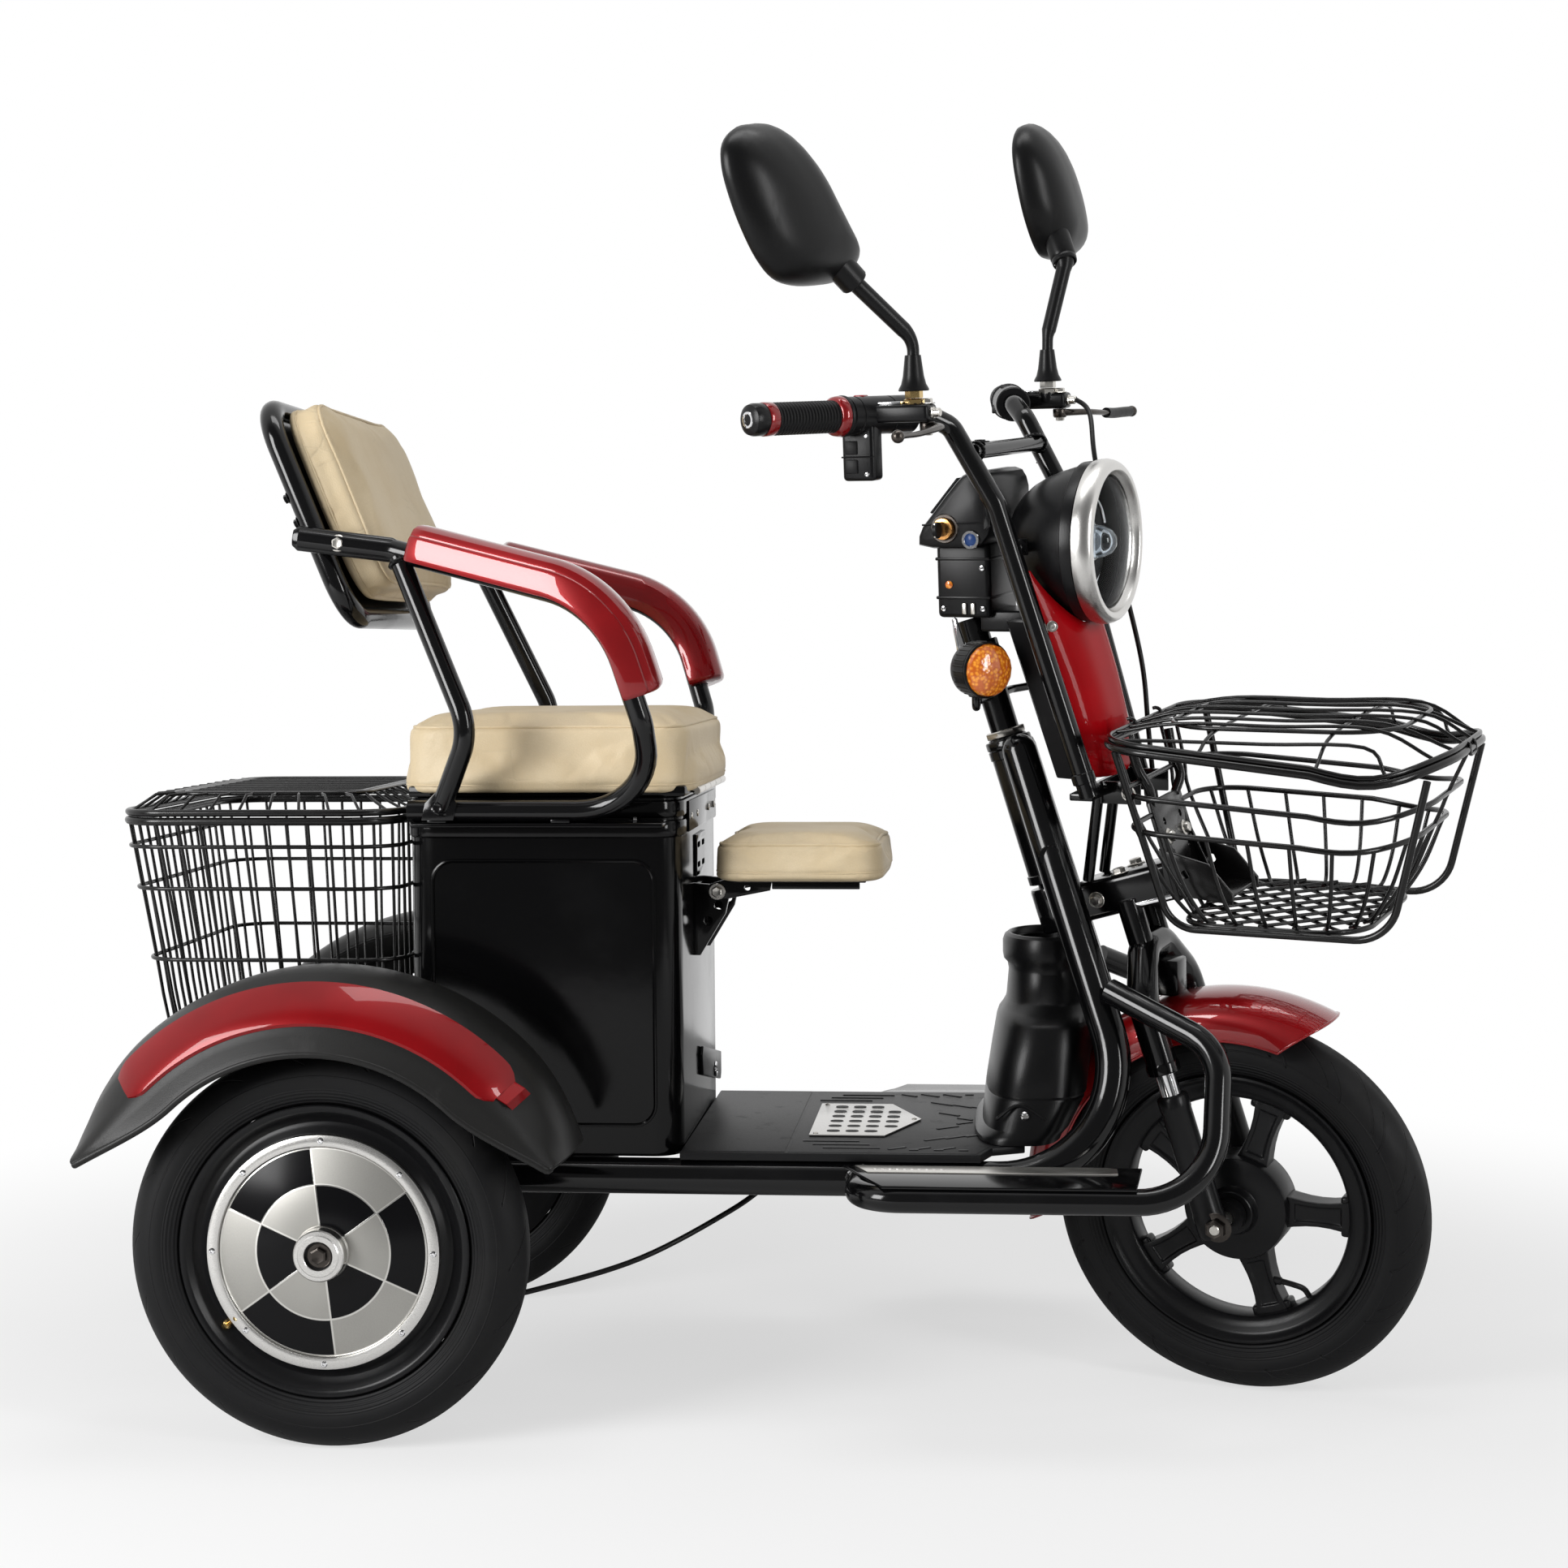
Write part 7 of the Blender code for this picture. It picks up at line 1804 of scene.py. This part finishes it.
def side_tube_line(side):
    return rounded([(0.812, side * 0.08, 0.663), (0.722, side * 0.1, 0.9715), (0.676, side * 0.107, 1.054),
                    (0.655, side * 0.128, 1.069), (0.563, side * 0.326, 1.072)], [0.06, 0.018, 0.022], 14)


def handlebar():
    """Two bent side tubes, cross tube with gussets, foot plate, straps, struts and their bolts."""
    pieces = [pipes([side_tube_line(-1)], 0.011, 22), pipes([side_tube_line(1)], 0.011, 22)]
    pieces.append(bar((0.697, -0.1, 1.027), (0.697, 0.1, 1.027), 0.0085))
    for side in (-1, 1):
        pieces.append(weld_bead((0.697, side * 0.0905, 1.027), SIDE, 0.009, 0.002))
        pieces.append(plate(mm((690, 1005), (704, 996), (708, 970), (708, 945), (716, 950), (716, 984), (702, 1018)),
                            side * 0.099, side * 0.103, edge=0.001))
        button = turned(mm((0, 0), (10, 0), (10.4, 0.8), (10, 1.6), (6, 1.6), (5.6, 3), (0, 3.4)),
                        (0.6975, side * 0.08, 1.0356), UP, 28)
        pieces.append(dress(button, SATIN_BLACK))
        pieces.append(block((0.812, side * 0.044, 0.65), (0.8565, side * 0.048, 0.674), 0.001))
        pieces.append(bar(steer_point(0.052, side * 0.026, -0.1664), (0.803, side * 0.026, 0.662), 0.006))
        pieces.append(dress(bolt((0.844, side * 0.0482, 0.662), SIDE * side, 0.0058, 0.004), ZINC))
        pieces.append(dress(bolt((0.803, side * 0.066, 0.666), UP, 0.006, 0.0042), ZINC))
        pieces.append(turned(mm((11.2, -6), (12.6, -5), (12.6, 5), (11.2, 6)), (0.8055, side * 0.0813, 0.683),
                             side_tube_line(side)[1] - side_tube_line(side)[0], 32))
    pieces.append(block((0.79, -0.084, 0.658), (0.816, 0.084, 0.666), 0.0018))
    pieces.append(block((0.811, -0.05, 0.65), (0.8145, 0.05, 0.674), 0.001))
    settle("bent_handlebar", "steering", pieces, ["handlebar"], FRAME_BLACK, steered=True,
           sharp=38)


def column():
    """Steering column: bearing nuts, clamp with its bolt, and the bar that carries the turn lamps."""
    pieces = [bar(steer_point(0, 0, -0.187), steer_point(0, 0, 0.143), 0.016, steps=40)]
    pieces.append(turned(mm((16, -3.7), (24, -3.7), (25.5, -2.5), (25.5, 4.5), (24.5, 6), (21.5, 6.2),
                          (20.5, 8), (16, 8.5)), STEER_BASE, ALONG, 48))
    nut = turned(mm((16, 8.5), (22.2, 8.7), (23, 9.8), (23, 15), (22, 16), (16, 16.2)), STEER_BASE, ALONG, 8)
    pieces.append(dress(nut, ZINC))
    pieces.append(turned(mm((16, 85), (20.5, 85), (21.5, 86), (21.5, 115), (20.5, 116), (16, 116)), STEER_BASE, ALONG,
                         48))
    ears = block((-0.024, -0.015, 0.088), (-0.006, 0.015, 0.113), 0.0022)
    ears.data.transform(Matrix.Translation(STEER_BASE) @ STEERING_AXES)
    pieces.append(ears)
    lamp_bar = rounded(mm((693.5, -100, 768.8), (693.5, -100, 757), (674.5, -50, 757), (674.5, 50, 757),
                        (693.5, 100, 757), (693.5, 100, 768.8)), [0.006, 0.02, 0.02, 0.006], 6)
    pieces.append(pipes([lamp_bar], 0.0045, 14))
    pin = steer_point(-0.012, 0, 0.1)
    pieces.append(dress(bar(pin - SIDE * 0.0225, pin + SIDE * 0.026, 0.0045), CHROME))
    pieces.append(dress(bolt(pin + SIDE * 0.0205, SIDE, 0.008, 0.0048), CHROME))
    settle("steering_stem", "steering", pieces, ["steering_column"], FRAME_BLACK, steered=True,
           sharp=38)
    outline = mm((-6.2, -6), (-3, -8.8), (3, -8.8), (6.4, -6), (6.2, 4), (2, 18),
               (-4, 36), (-6.8, 47), (-9.5, 48.6), (-12.6, 46.2), (-11, 33), (-8, 16))
    lever = plate([(pin.x + a, pin.z + b) for a, b in outline], pin.y - 0.0268, pin.y - 0.0228, edge=0.001)
    cap = turned(mm((0, 0), (5.2, 0), (5.4, 1), (4, 2), (0, 2.2)), pin - SIDE * 0.0266, -SIDE, 24)
    settle("quick_lever", "stem_lever", [lever, cap], ["stem_lever"], CHROME, steered=True)


def headlight():
    """Round headlight: satin bowl with ribs and ears, silver bezel, and a dark reflector with a
    glass projector behind the lens."""
    centre = LAMP_CENTRE
    ahead = Vector((1, 0, 0))
    outer = mm((0, 702.2), (20, 703), (34, 707.2), (44, 713), (54, 721.5), (63, 732.5), (70, 745.5),
             (75.5, 760), (80, 776), (82.5, 788), (83.8, 796))
    rim = mm((81.5, 797), (79, 788), (73, 760), (67, 750), (0, 748))
    bowl = turned(outer + rim, centre, ahead, 96)
    pieces = [bowl]
    pieces.append(turned(mm((83.8, 784), (85, 785), (85.5, 790), (85, 796.5), (83.8, 797)), centre, ahead, 96))
    for side in (-1, 1):
        pieces.append(bar((0.7365, side * 0.0625, 0.925), (0.7365, side * 0.0851, 0.925), 0.007))
        pieces.append(block((0.7285, side * 0.064, 0.916), (0.7445, side * 0.07, 0.934), 0.002))
    shield = turned(mm((69, 756), (68, 766), (60, 772), (59, 780), (50, 783), (49, 787), (35, 785),
                     (33, 778), (24, 776), (0, 776)), centre, ahead, 96)
    pieces.append(dress(shield, SATIN_BLACK))
    for radius, x, first, last in ((0.064, 0.779, -60, 60), (0.064, 0.779, 120, 240), (0.05, 0.788, 20, 160)):
        arc = [centre + Vector((x, radius * math.cos(math.radians(a)),
                                radius * math.sin(math.radians(a)))) for a in range(first, last + 1, 6)]
        pieces.append(dress(pipes([arc], 0.002, 12), CHROME))
    for k in range(3):
        angle = math.radians(90 + 120 * k)
        place = centre + Vector((0.78, 0.042 * math.cos(angle), 0.042 * math.sin(angle)))
        pieces.append(dress(screw(place, ahead, 0.0032, 0.002), CHROME))
    settle("headlight_shell", "steering", pieces, ["headlight_bowl"], SATIN_BLACK, steered=True,
           sharp=40)
    bezel = mm((70, 797.5), (85, 797.5), (86.8, 798.5), (87.6, 803), (87.8, 808), (86.6, 813), (84.5, 817),
             (82, 819.2), (79, 820), (76.2, 819.6), (74.5, 817.2), (73.8, 814), (71.2, 812), (70.2, 810), (70, 797.5))
    pieces = [turned(bezel, centre, ahead, 128)]
    settle("silver_bezel", "steering", pieces, ["headlight_bezel"], SILVER, steered=True, sharp=50)
    cover = mm((0, 822.5), (20, 821.8), (38, 819.8), (52, 816.8), (64, 813), (69.2, 810.6), (69.4, 808.5),
             (64, 810.5), (52, 814.4), (38, 817.5), (20, 819.6), (0, 820.3))
    glass = dress(turned(cover, centre, ahead, 96), GLASS)
    ball = mm((0, 817.5), (6.6, 816.4), (12.1, 812.6), (15.9, 806.6), (17.6, 799), (17.8, 790), (0, 789))
    eye = dress(turned(ball, centre, ahead, 48), PROJECTOR)
    collar = dress(turned(mm((18, 778), (22.6, 778), (23.1, 790), (21.6, 792.5), (19.4, 792.5), (18, 790)), centre,
                          ahead, 64), CHROME)
    wall = dress(turned(mm((25.2, 776.5), (25, 783), (23.6, 785)), centre, ahead, 64), SATIN_BLACK)
    liner = dress(turned(mm((69.9, 798), (69, 798.4), (68.8, 807), (69.6, 807.8)), centre, ahead, 96), SATIN_BLACK)
    settle("headlight_optics", "steering", [glass, eye, collar, wall, liner], ["headlight_lens"], steered=True,
           sharp=60)


def shield():
    """Glossy red leg shield, bulging between the side tubes, with turned-in edges and its cut-out
    for the headlight."""
    levels = mm((900, 82.6, 28), (880, 82.4, 31.5), (850, 81.6, 34), (815, 79, 35.5), (780, 75.5, 36),
              (745, 71.5, 34.5), (715, 67.2, 32), (700, 63.5, 29), (690, 59, 26), (682, 53, 23), (677, 47, 20))
    rows = []
    for z, half, bulge in levels:
        row = []
        for k in range(33):
            across = math.sin(math.pi * (k / 32 - 0.5))
            row.append(Vector((side_tube_x(z) - 0.008 + bulge * (1 - across ** 4), half * across, z)))
        rows.append(row)
    shell = skin(rows)
    with Bench(shell) as bench:
        bench.tidy()
        bench.all()
        bpy.ops.mesh.subdivide(number_cuts=1, smoothness=0.6)
    shape = bmesh.new()
    shape.from_mesh(shell.data)
    facing = sum((face.normal for face in shape.faces), Vector())
    shape.free()
    if facing.x < 0:
        turn_out(shell)
    apply_modifier(shell, "SOLIDIFY", thickness=0.0028, offset=-1.0)
    lamp = turned(mm((0, 690), (60.5, 690), (88.5, 796.5), (90.5, 796.6), (90.5, 870), (0, 870)), LAMP_CENTRE,
                  (1, 0, 0), 96)
    pierce(shell, lamp)
    pieces = [shell]
    for side in (-1, 1):
        edge = [Vector((side_tube_x(z) - 0.0085, side * half, z)) for z, half, bulge in levels if z < 0.86]
        pieces.append(pipes([flowing(edge, 3)], 0.0018, 12))
        pieces.append(dress(bolt((side_tube_x(0.842) + 0.012, side * 0.0752, 0.842), (0.5, side, 0), 0.0042, 0.0026),
                            ZINC))
    settle("red_shield", "steering", pieces, ["leg_shield"], SHIELD_RED, steered=True, sharp=50)


def dash():
    """Instrument pod with its domed top and lower box, lock surround, charging port, clips, and
    the panel behind the shield."""
    outline = mm((613, 926), (613.5, 936), (618, 946), (630, 960), (646, 979), (659, 993.5), (666, 1000),
                 (674, 1003.5),
               (684, 1003.5), (692, 1000.5), (696.5, 993), (699, 983), (699, 946), (696, 936), (688, 926.2),
               (670, 922.5), (630, 922.5))
    pod = plate(outline, -0.06, 0.06, edge=0.0065)
    pieces = [pod]
    pieces.append(block((0.626, -0.04, 0.8458), (0.688, 0.04, 0.927), 0.0055, 4))
    pieces.append(block((0.672, -0.03, 0.83), (0.73, 0.03, 0.853), 0.003, 3))
    for z in (0.866, 0.908):
        pieces.append(block((0.6252, -0.0408, z), (0.6888, 0.0408, z + 0.0035), 0.0012, 2))
    glass = [(0.6262, 0.958), (0.658, 0.9945)]
    slope = skin([[Vector((glass[0][0] - 0.0012, -0.046, glass[0][1] + 0.0012)),
                   Vector((glass[1][0] - 0.0012, -0.046, glass[1][1] + 0.0012))],
                  [Vector((glass[0][0] - 0.0012, 0.046, glass[0][1] + 0.0012)),
                   Vector((glass[1][0] - 0.0012, 0.046, glass[1][1] + 0.0012))]], wall=0.002)
    pieces.append(dress(slope, DARK_GLASS))
    for side in (-1, 1):
        seam = [Vector((x, side * 0.0604, z)) for x, z in ((0.62, 0.948), (0.65, 0.949), (0.688, 0.95),
                                                           (0.698, 0.951))]
        pieces.append(pipes([seam], 0.001, 8))
    ring = turned(mm((6.2, 0), (10, 0), (10.4, 1.2), (9.6, 2.6), (7, 2.6), (6.2, 1.2)), (0.676, -0.06, 0.932), -SIDE,
                  32)
    pieces.append(dress(ring, CHROME))
    pieces.append(dress(turned(mm((0, 0.6), (6.4, 0.6), (5, 1.4), (0, 2)), (0.676, -0.06, 0.932), -SIDE, 28),
                        BLUE_PORT))
    dot = turned(mm((0, 0), (4.2, 0), (4.2, 1.2), (2.6, 2), (0, 2.2)), (0.641, -0.04, 0.882), -SIDE, 20)
    pieces.append(dress(dot, AMBER))
    for x, z in ((0.634, 0.856), (0.68, 0.856), (0.68, 0.9)):
        pieces.append(dress(screw((x, -0.0402, z), -SIDE, 0.0034, 0.0018), CHROME))
    for x in (0.656, 0.666):
        pieces.append(dress(block((x, -0.0424, 0.85), (x + 0.005, -0.0398, 0.862), 0.0008), ZINC))
    surround = turned(mm((12.5, 0), (15.5, 0), (16, 1), (15, 2.6), (12.5, 2.6)), (LOCK_X, -0.059, LOCK_Z), -SIDE, 36)
    pieces.append(dress(surround, DARK_METAL))
    rows = []
    for z in (0.846, 0.82, 0.79, 0.76, 0.72, 0.678):
        share = (0.9715 - z) / 0.3085
        half = 0.1 - 0.02 * share - 0.014
        rear = side_tube_x(z) - 0.042
        front = side_tube_x(z) - 0.0125
        rows.append([Vector(p) for p in ((front, half, z), (rear + 0.004, half - 0.006, z), (rear, half - 0.012, z),
                                         (rear - 0.001, 0.0, z), (rear, -half + 0.012, z),
                                         (rear + 0.004, -half + 0.006, z), (front, -half, z))])
    panel = skin(rows, around=True, close=True)
    pieces.append(panel)
    for z in (0.83, 0.7):
        for side in (-1, 1):
            share = (0.9715 - z) / 0.3085
            half = 0.1 - 0.02 * share - 0.014
            pieces.append(dress(screw((side_tube_x(z) - 0.0415, side * (half - 0.02), z), (-1, 0, -0.29), 0.004,
                                      0.002), ZINC))
    settle("dash_pod", "steering", pieces, ["dash_housing"], SATIN_BLACK, steered=True,
           sharp=38)
    lock = Vector((LOCK_X, 0.0, LOCK_Z))
    barrel = dress(turned(mm((0, 60.3), (11.8, 60.3), (12, 66), (11.2, 67.6), (8, 68), (7.6, 67), (0, 67)), lock,
                          -SIDE, 36), BRONZE)
    blade = dress(block(lock + Vector((-0.0012, -0.088, -0.008)), lock + Vector((0.0012, -0.067, 0.008)), 0.001),
                  ZINC)
    head = dress(turned(mm((0, -2.6), (8.2, -2.6), (8.8, -1.8), (8.8, 1.8), (8.2, 2.6), (0, 2.6)),
                        lock + Vector((0, -0.0815, 0)), (1, 0, 0), 28), GRIP_RUBBER)
    settle("bronze_lock", "ignition_key", [barrel, blade, head], ["ignition_key"], steered=True)


def turn_lamps():
    """Turn lamps: ribbed black barrels with faceted amber lenses, on the ends of the column's bar."""
    for side, word in SIDES:
        out = Vector((math.cos(math.radians(32)), side * math.sin(math.radians(32)), 0.0))
        centre = Vector((0.6935, side * 0.1, 0.7991))
        barrel = turned(mm((0, -16), (14, -15.5), (20, -13.8), (25.5, -9.5), (28.6, -4), (29.4, 4), (29.8, 15),
                         (30, 19.5), (29, 20.3), (0, 20.3)), centre, out, 60)
        pieces = [dress(barrel, SATIN_BLACK)]
        across = out.cross(UP).normalized()
        for k in range(30):
            angle = 2 * math.pi * k / 30
            spoke = across * math.cos(angle) + UP * math.sin(angle)
            pieces.append(dress(bar(centre + spoke * 0.0288, centre + out * 0.0185 + spoke * 0.0294, 0.001, steps=6,
                                    edge=0.0003), SATIN_BLACK))
        lens = turned(mm((0, 20.4), (27.8, 20.4), (28, 24), (27, 28.5), (22.5, 32.2), (18, 34.2), (9, 36.2),
                         (0, 36.8)),
                      centre, out, 18)
        ring = turned(mm((27.6, 20), (29.8, 20), (30, 22.5), (28.5, 23.6), (27.6, 23)), centre, out, 60)
        pieces += [dress(lens, AMBER), dress(ring, SATIN_BLACK)]
        foot = Vector((0.6935, side * 0.1, 0.7688))
        pieces.append(dress(bar(foot + Vector((0, 0, 0.0004)), foot + Vector((0, 0, 0.006)), 0.0078, steps=28),
                            SATIN_BLACK))
        settle("amber_turn_lamp_" + word, "steering", pieces, ["turn_lamp_" + word], steered=True,
               sharp=24)


# ---------------------------------------------------------------- controls and mirrors

def on_bar(side, y, shift=0.0):
    """A point on the grip part of the bar, and the bar's outward direction there."""
    inner = Vector((0.655, side * 0.128, 1.069))
    outer = Vector((0.563, side * 0.326, 1.072))
    out = (outer - inner).normalized()
    return inner.lerp(outer, (y - 0.128) / 0.198) + out * shift, out


def grips():
    """Ribbed grips with a red ring, a flange and an end cap with a bright rosette."""
    for side, name, node, body in ((-1, "twist_throttle", "throttle_grip", "throttle"),
                                   (1, "rubber_grip", "left_grip", "steering")):
        start, out = on_bar(side, 0.226)
        profile = mm((11.3, 0), (20, 0), (21, 1), (21, 4), (20, 5.2), (17.2, 6))
        for k in range(22):
            at = 0.0075 + 0.004 * k
            profile += [(0.0164, at), (0.0165, at + 0.0012), (0.0154, at + 0.0024), (0.0154, at + 0.0034)]
        profile += mm((16.4, 96.5), (16, 98.5), (15, 99), (0, 99))
        pieces = [dress(turned(profile, start, out, 44), GRIP_RUBBER)]
        ring = RED if side < 0 else SATIN_BLACK
        pieces.append(dress(turned(mm((0, 93.8), (16.4, 93.8), (16.9, 94.8), (16.9, 104.4), (16.2, 105.4),
                                      (0, 105.4)), start, out, 44), ring))
        pieces.append(dress(turned(mm((15, 5), (20.5, 5), (20.8, 6.5), (19.6, 13), (17.2, 15), (15, 15)), start, out,
                                   44), ring))
        pieces.append(dress(turned(mm((0, 105.2), (15.6, 105.2), (16.3, 106.2), (16.3, 116.5), (15, 120.5),
                                      (11, 122.8), (0, 123.4)), start, out, 44), SATIN_BLACK))
        pieces.append(dress(turned(mm((5.2, 122.8), (6, 123.8), (8, 123.6), (8.6, 122.6)), start, out, 32), CHROME))
        settle(name, body, pieces, [node], steered=True, sharp=40)


def housings():
    """Switch housings round the bar, with clamp seams and screws, perches, mirror sockets,
    buttons and the hanging switch box."""
    for side, word in SIDES:
        first, out = on_bar(side, 0.146)
        reach = (0.2255 - 0.146) / abs(out.y) - 0.0006
        sleeve = turned([(0.0113, 0.0), (0.018, 0.0), (0.0195, 0.0014), (0.0195, 0.03), (0.0188, 0.0306),
                         (0.0188, 0.0318), (0.0195, 0.0324), (0.0195, reach - 0.013),
                         (0.0188, reach - 0.0124), (0.0188, reach - 0.011), (0.0195, reach - 0.0104),
                         (0.0195, reach - 0.0012), (0.0183, reach), (0.0113, reach)], first, out, 48)
        pieces = [dress(sleeve, SATIN_BLACK)]
        pieces.append(dress(block((0.632, side * 0.1825, 1.062), (0.694, side * 0.2085, 1.08), 0.004, 3),
                            SATIN_BLACK))
        seat = Vector((0.672, side * 0.19, 1.07))
        pieces.append(dress(turned(mm((0, 0), (9.2, 0), (9.6, 10), (8.8, 14), (0, 14.5)), seat, UP, 32), SATIN_BLACK))
        pieces.append(dress(bolt(seat + Vector((0, 0, 0.0095)), UP, 0.0108, 0.0048, washer=False),
                            BRASS if side < 0 else ZINC))
        barrel = bar((0.6935, side * 0.1955, 1.071), (0.703, side * 0.1955, 1.071), 0.0046)
        pieces.append(dress(barrel, ZINC))
        pieces.append(dress(bar((0.693, side * 0.1955, 1.071), (0.6965, side * 0.1955, 1.071), 0.0062, steps=10),
                            ZINC))
        pieces.append(dress(block((0.624, side * 0.185, 1.08), (0.662, side * 0.202, 1.083), 0.001), CHROME))
        for shift in (0.015, 0.045):
            spot = first + out * shift
            pieces.append(dress(screw(spot + Vector((-0.0185 * abs(out.y), 0, 0.001)), (-1, 0, 0.05), 0.003, 0.0016),
                                CHROME))
        spot = first + out * 0.06
        keys = RED if side < 0 else GRIP_RUBBER
        pieces.append(dress(block(spot + Vector((-0.0215, -0.0055, -0.012)), spot + Vector((-0.014, 0.0055, -0.002)),
                                  0.0014), keys))
        pieces.append(dress(block(spot + Vector((-0.01, -0.006, 0.016)), spot + Vector((0.002, 0.006, 0.0208)),
                                  0.0014), keys))
        pieces.append(dress(bolt((0.686, side * 0.19, 1.08), UP, 0.006, 0.0036), ZINC))
        if side < 0:
            pod = block((0.6, -0.214, 1.004), (0.636, -0.19, 1.062), 0.0045, 4)
            pieces.append(dress(pod, SATIN_BLACK))
            pieces.append(dress(block((0.6045, -0.2158, 1.012), (0.618, -0.2136, 1.026), 0.0014), GRIP_RUBBER))
            pieces.append(dress(block((0.6045, -0.2158, 1.031), (0.618, -0.2136, 1.045), 0.0014), GRIP_RUBBER))
            pieces.append(dress(screw((0.628, -0.214, 1.05), -SIDE, 0.0026, 0.0014), CHROME))
            pieces.append(dress(screw((0.628, -0.214, 1.011), -SIDE, 0.0026, 0.0014), CHROME))
            rib = pipes([[(0.6002, -0.2144, 1.0285), (0.6358, -0.2144, 1.0285)]], 0.0009, 8)
            pieces.append(dress(rib, SATIN_BLACK))
        settle("control_body_" + word, "steering", pieces, ["control_housing_" + word], steered=True,
               sharp=35)


def levers():
    """Brake levers: flat forged blades that sweep out to a ball, on a bossed pivot."""
    for side, word in SIDES:
        hinge = Vector((0.686, side * 0.19, 1.0617))
        line = flowing([hinge + Vector(p) for p in ((0.0, 0.0, -0.0045), (0.012, side * 0.008, -0.0045),
                                                    (0.0235, side * 0.026, -0.005), (0.0285, side * 0.06, -0.007),
                                                    (0.03, side * 0.095, -0.009), (0.032, side * 0.125, -0.009),
                                                    (0.034, side * 0.15, -0.009))], 8)
        radii = [0.0068 - 0.0022 * min(1.0, k / len(line) * 1.6) for k in range(len(line))]
        blade = pipes([line], 0.006, 16, radii=radii)
        for vert in blade.data.vertices:
            middle = min(line, key=lambda p: (p - vert.co).length_squared)
            vert.co.z = middle.z + (vert.co.z - middle.z) * 0.62
        eye = turned(mm((0, -9), (7.2, -9), (8, -8.2), (8, -1), (7.4, 0), (0, 0)), hinge, UP, 32)
        tip = turned([(0.0065 * math.sin(math.radians(a)), -0.0065 * math.cos(math.radians(a))) for a in range(0, 181,
                15)], line[-1], SIDE, 28)
        nut = dress(bolt(hinge - Vector((0, 0, 0.009)), -UP, 0.005, 0.003), ZINC)
        pieces = [blade, eye, tip, nut]
        if side > 0:
            pieces.append(dress(pipes([line[-22:-2]], 0.006, 16), GRIP_RUBBER))
        settle("forged_lever_" + word, "brake_lever_" + word, pieces, ["brake_lever_" + word], DARK_METAL,
               steered=True, sharp=50)


def mirrors():
    """Mirrors: teardrop shells with a bright glass, a collared neck, and a tapered boot on a flanged foot."""
    heads = {-1: (Vector((0.584, -0.292, 1.279)), Vector((0.63, -0.232, 1.202)), -10),
             1: (Vector((0.64, 0.268, 1.309)), Vector((0.684, 0.222, 1.226)), 2)}
    for side, word in SIDES:
        foot = Vector((0.672, side * 0.19, 1.0848))
        centre, neck, swung = heads[side]
        facing = Matrix.Translation(centre) @ Matrix.Rotation(math.radians(swung), 4,
                                                              "Z") @ Matrix.Rotation(math.radians(-8), 4, "Y")
        knots = {-1: mm((30, 78), (61, 73), (83, 58), (89, 36), (84, 8), (73, -22), (56, -52), (34, -72),
                      (4, -79), (-34, -79), (-66, -75), (-86, -64), (-90, -50), (-72, -20), (-52, 12), (-31, 45),
                      (-10, 66), (8, 76)),
                 1: mm((-16, 78), (-46, 72), (-66, 56), (-74, 34), (-73, 4), (-66, -28), (-50, -58), (-30, -74),
                     (0, -78), (36, -77), (62, -70), (74, -52), (74, -24), (66, 6), (52, 34), (34, 58),
                     (12, 73))}[side]
        outline = flowing([(o, r, 0) for o, r in knots + knots[:2]], 4)[:4 * len(knots)]

        def slice_at(depth, scale):
            drop = -0.03 * (1 - scale)
            return [facing @ Vector((depth, side * (point.x * scale - (0.03 * (1 - scale) if side < 0 else 0.0)),
                                     point.y * scale + drop)) for point in outline]

        shell = skin([slice_at(*step) for step in ((-0.002, 0.935), (-0.0048, 0.95), (-0.005, 0.97), (-0.003, 0.99),
                                                   (0.002, 1.0), (0.008, 0.985), (0.014, 0.95),
                                                   (0.02, 0.895), (0.026, 0.815), (0.031, 0.72), (0.035, 0.61),
                                                   (0.038, 0.48), (0.04, 0.33), (0.041, 0.17))],
                     around=True, close=True)
        glass = skin([slice_at(-0.0018, 0.93), slice_at(-0.0026, 0.92), slice_at(-0.0034, 0.6),
                      slice_at(-0.0036, 0.2)], around=True, close=True)
        path = rounded([foot + Vector((0, 0, 0.03)), foot + Vector((0.001, 0, 0.06)), neck,
                        centre + (neck - centre) * 0.45], [0.03, 0.03], 10)
        radii = [0.0062 + 0.0098 * (k / (len(path) - 1)) ** 2.2 for k in range(len(path))]
        pieces = [dress(shell, MIRROR_SHELL), dress(glass, MIRROR_GLASS),
                  dress(pipes([path], 0.0066, 20, radii=radii), MIRROR_SHELL)]
        ends = centre + (neck - centre) * 0.98
        facing_in = (centre - neck).normalized()
        pieces.append(dress(turned(mm((12.8, -3), (14, -2.2), (14.4, 0), (14.6, 3), (13.8, 4)), ends, facing_in, 40),
                            MIRROR_SHELL))
        skirt = mm((8, 8.2), (15, 8.2), (15.8, 9.2), (15, 11.2), (12.8, 15), (10.8, 23), (9.4, 34), (8.2, 44),
                   (0, 45))
        pieces.append(dress(turned(skirt, foot, UP, 40), MIRROR_SHELL))
        pieces.append(dress(bolt(foot + Vector((0, 0, 0.0012)), UP, 0.0092, 0.0074, washer=False),
                            BRASS if side < 0 else ZINC))
        settle("teardrop_mirror_" + word, "mirror_" + word, pieces, ["mirror_" + word], steered=True,
               sharp=45)


handlebar()
column()
headlight()
shield()
dash()
turn_lamps()
grips()
housings()
levers()
mirrors()
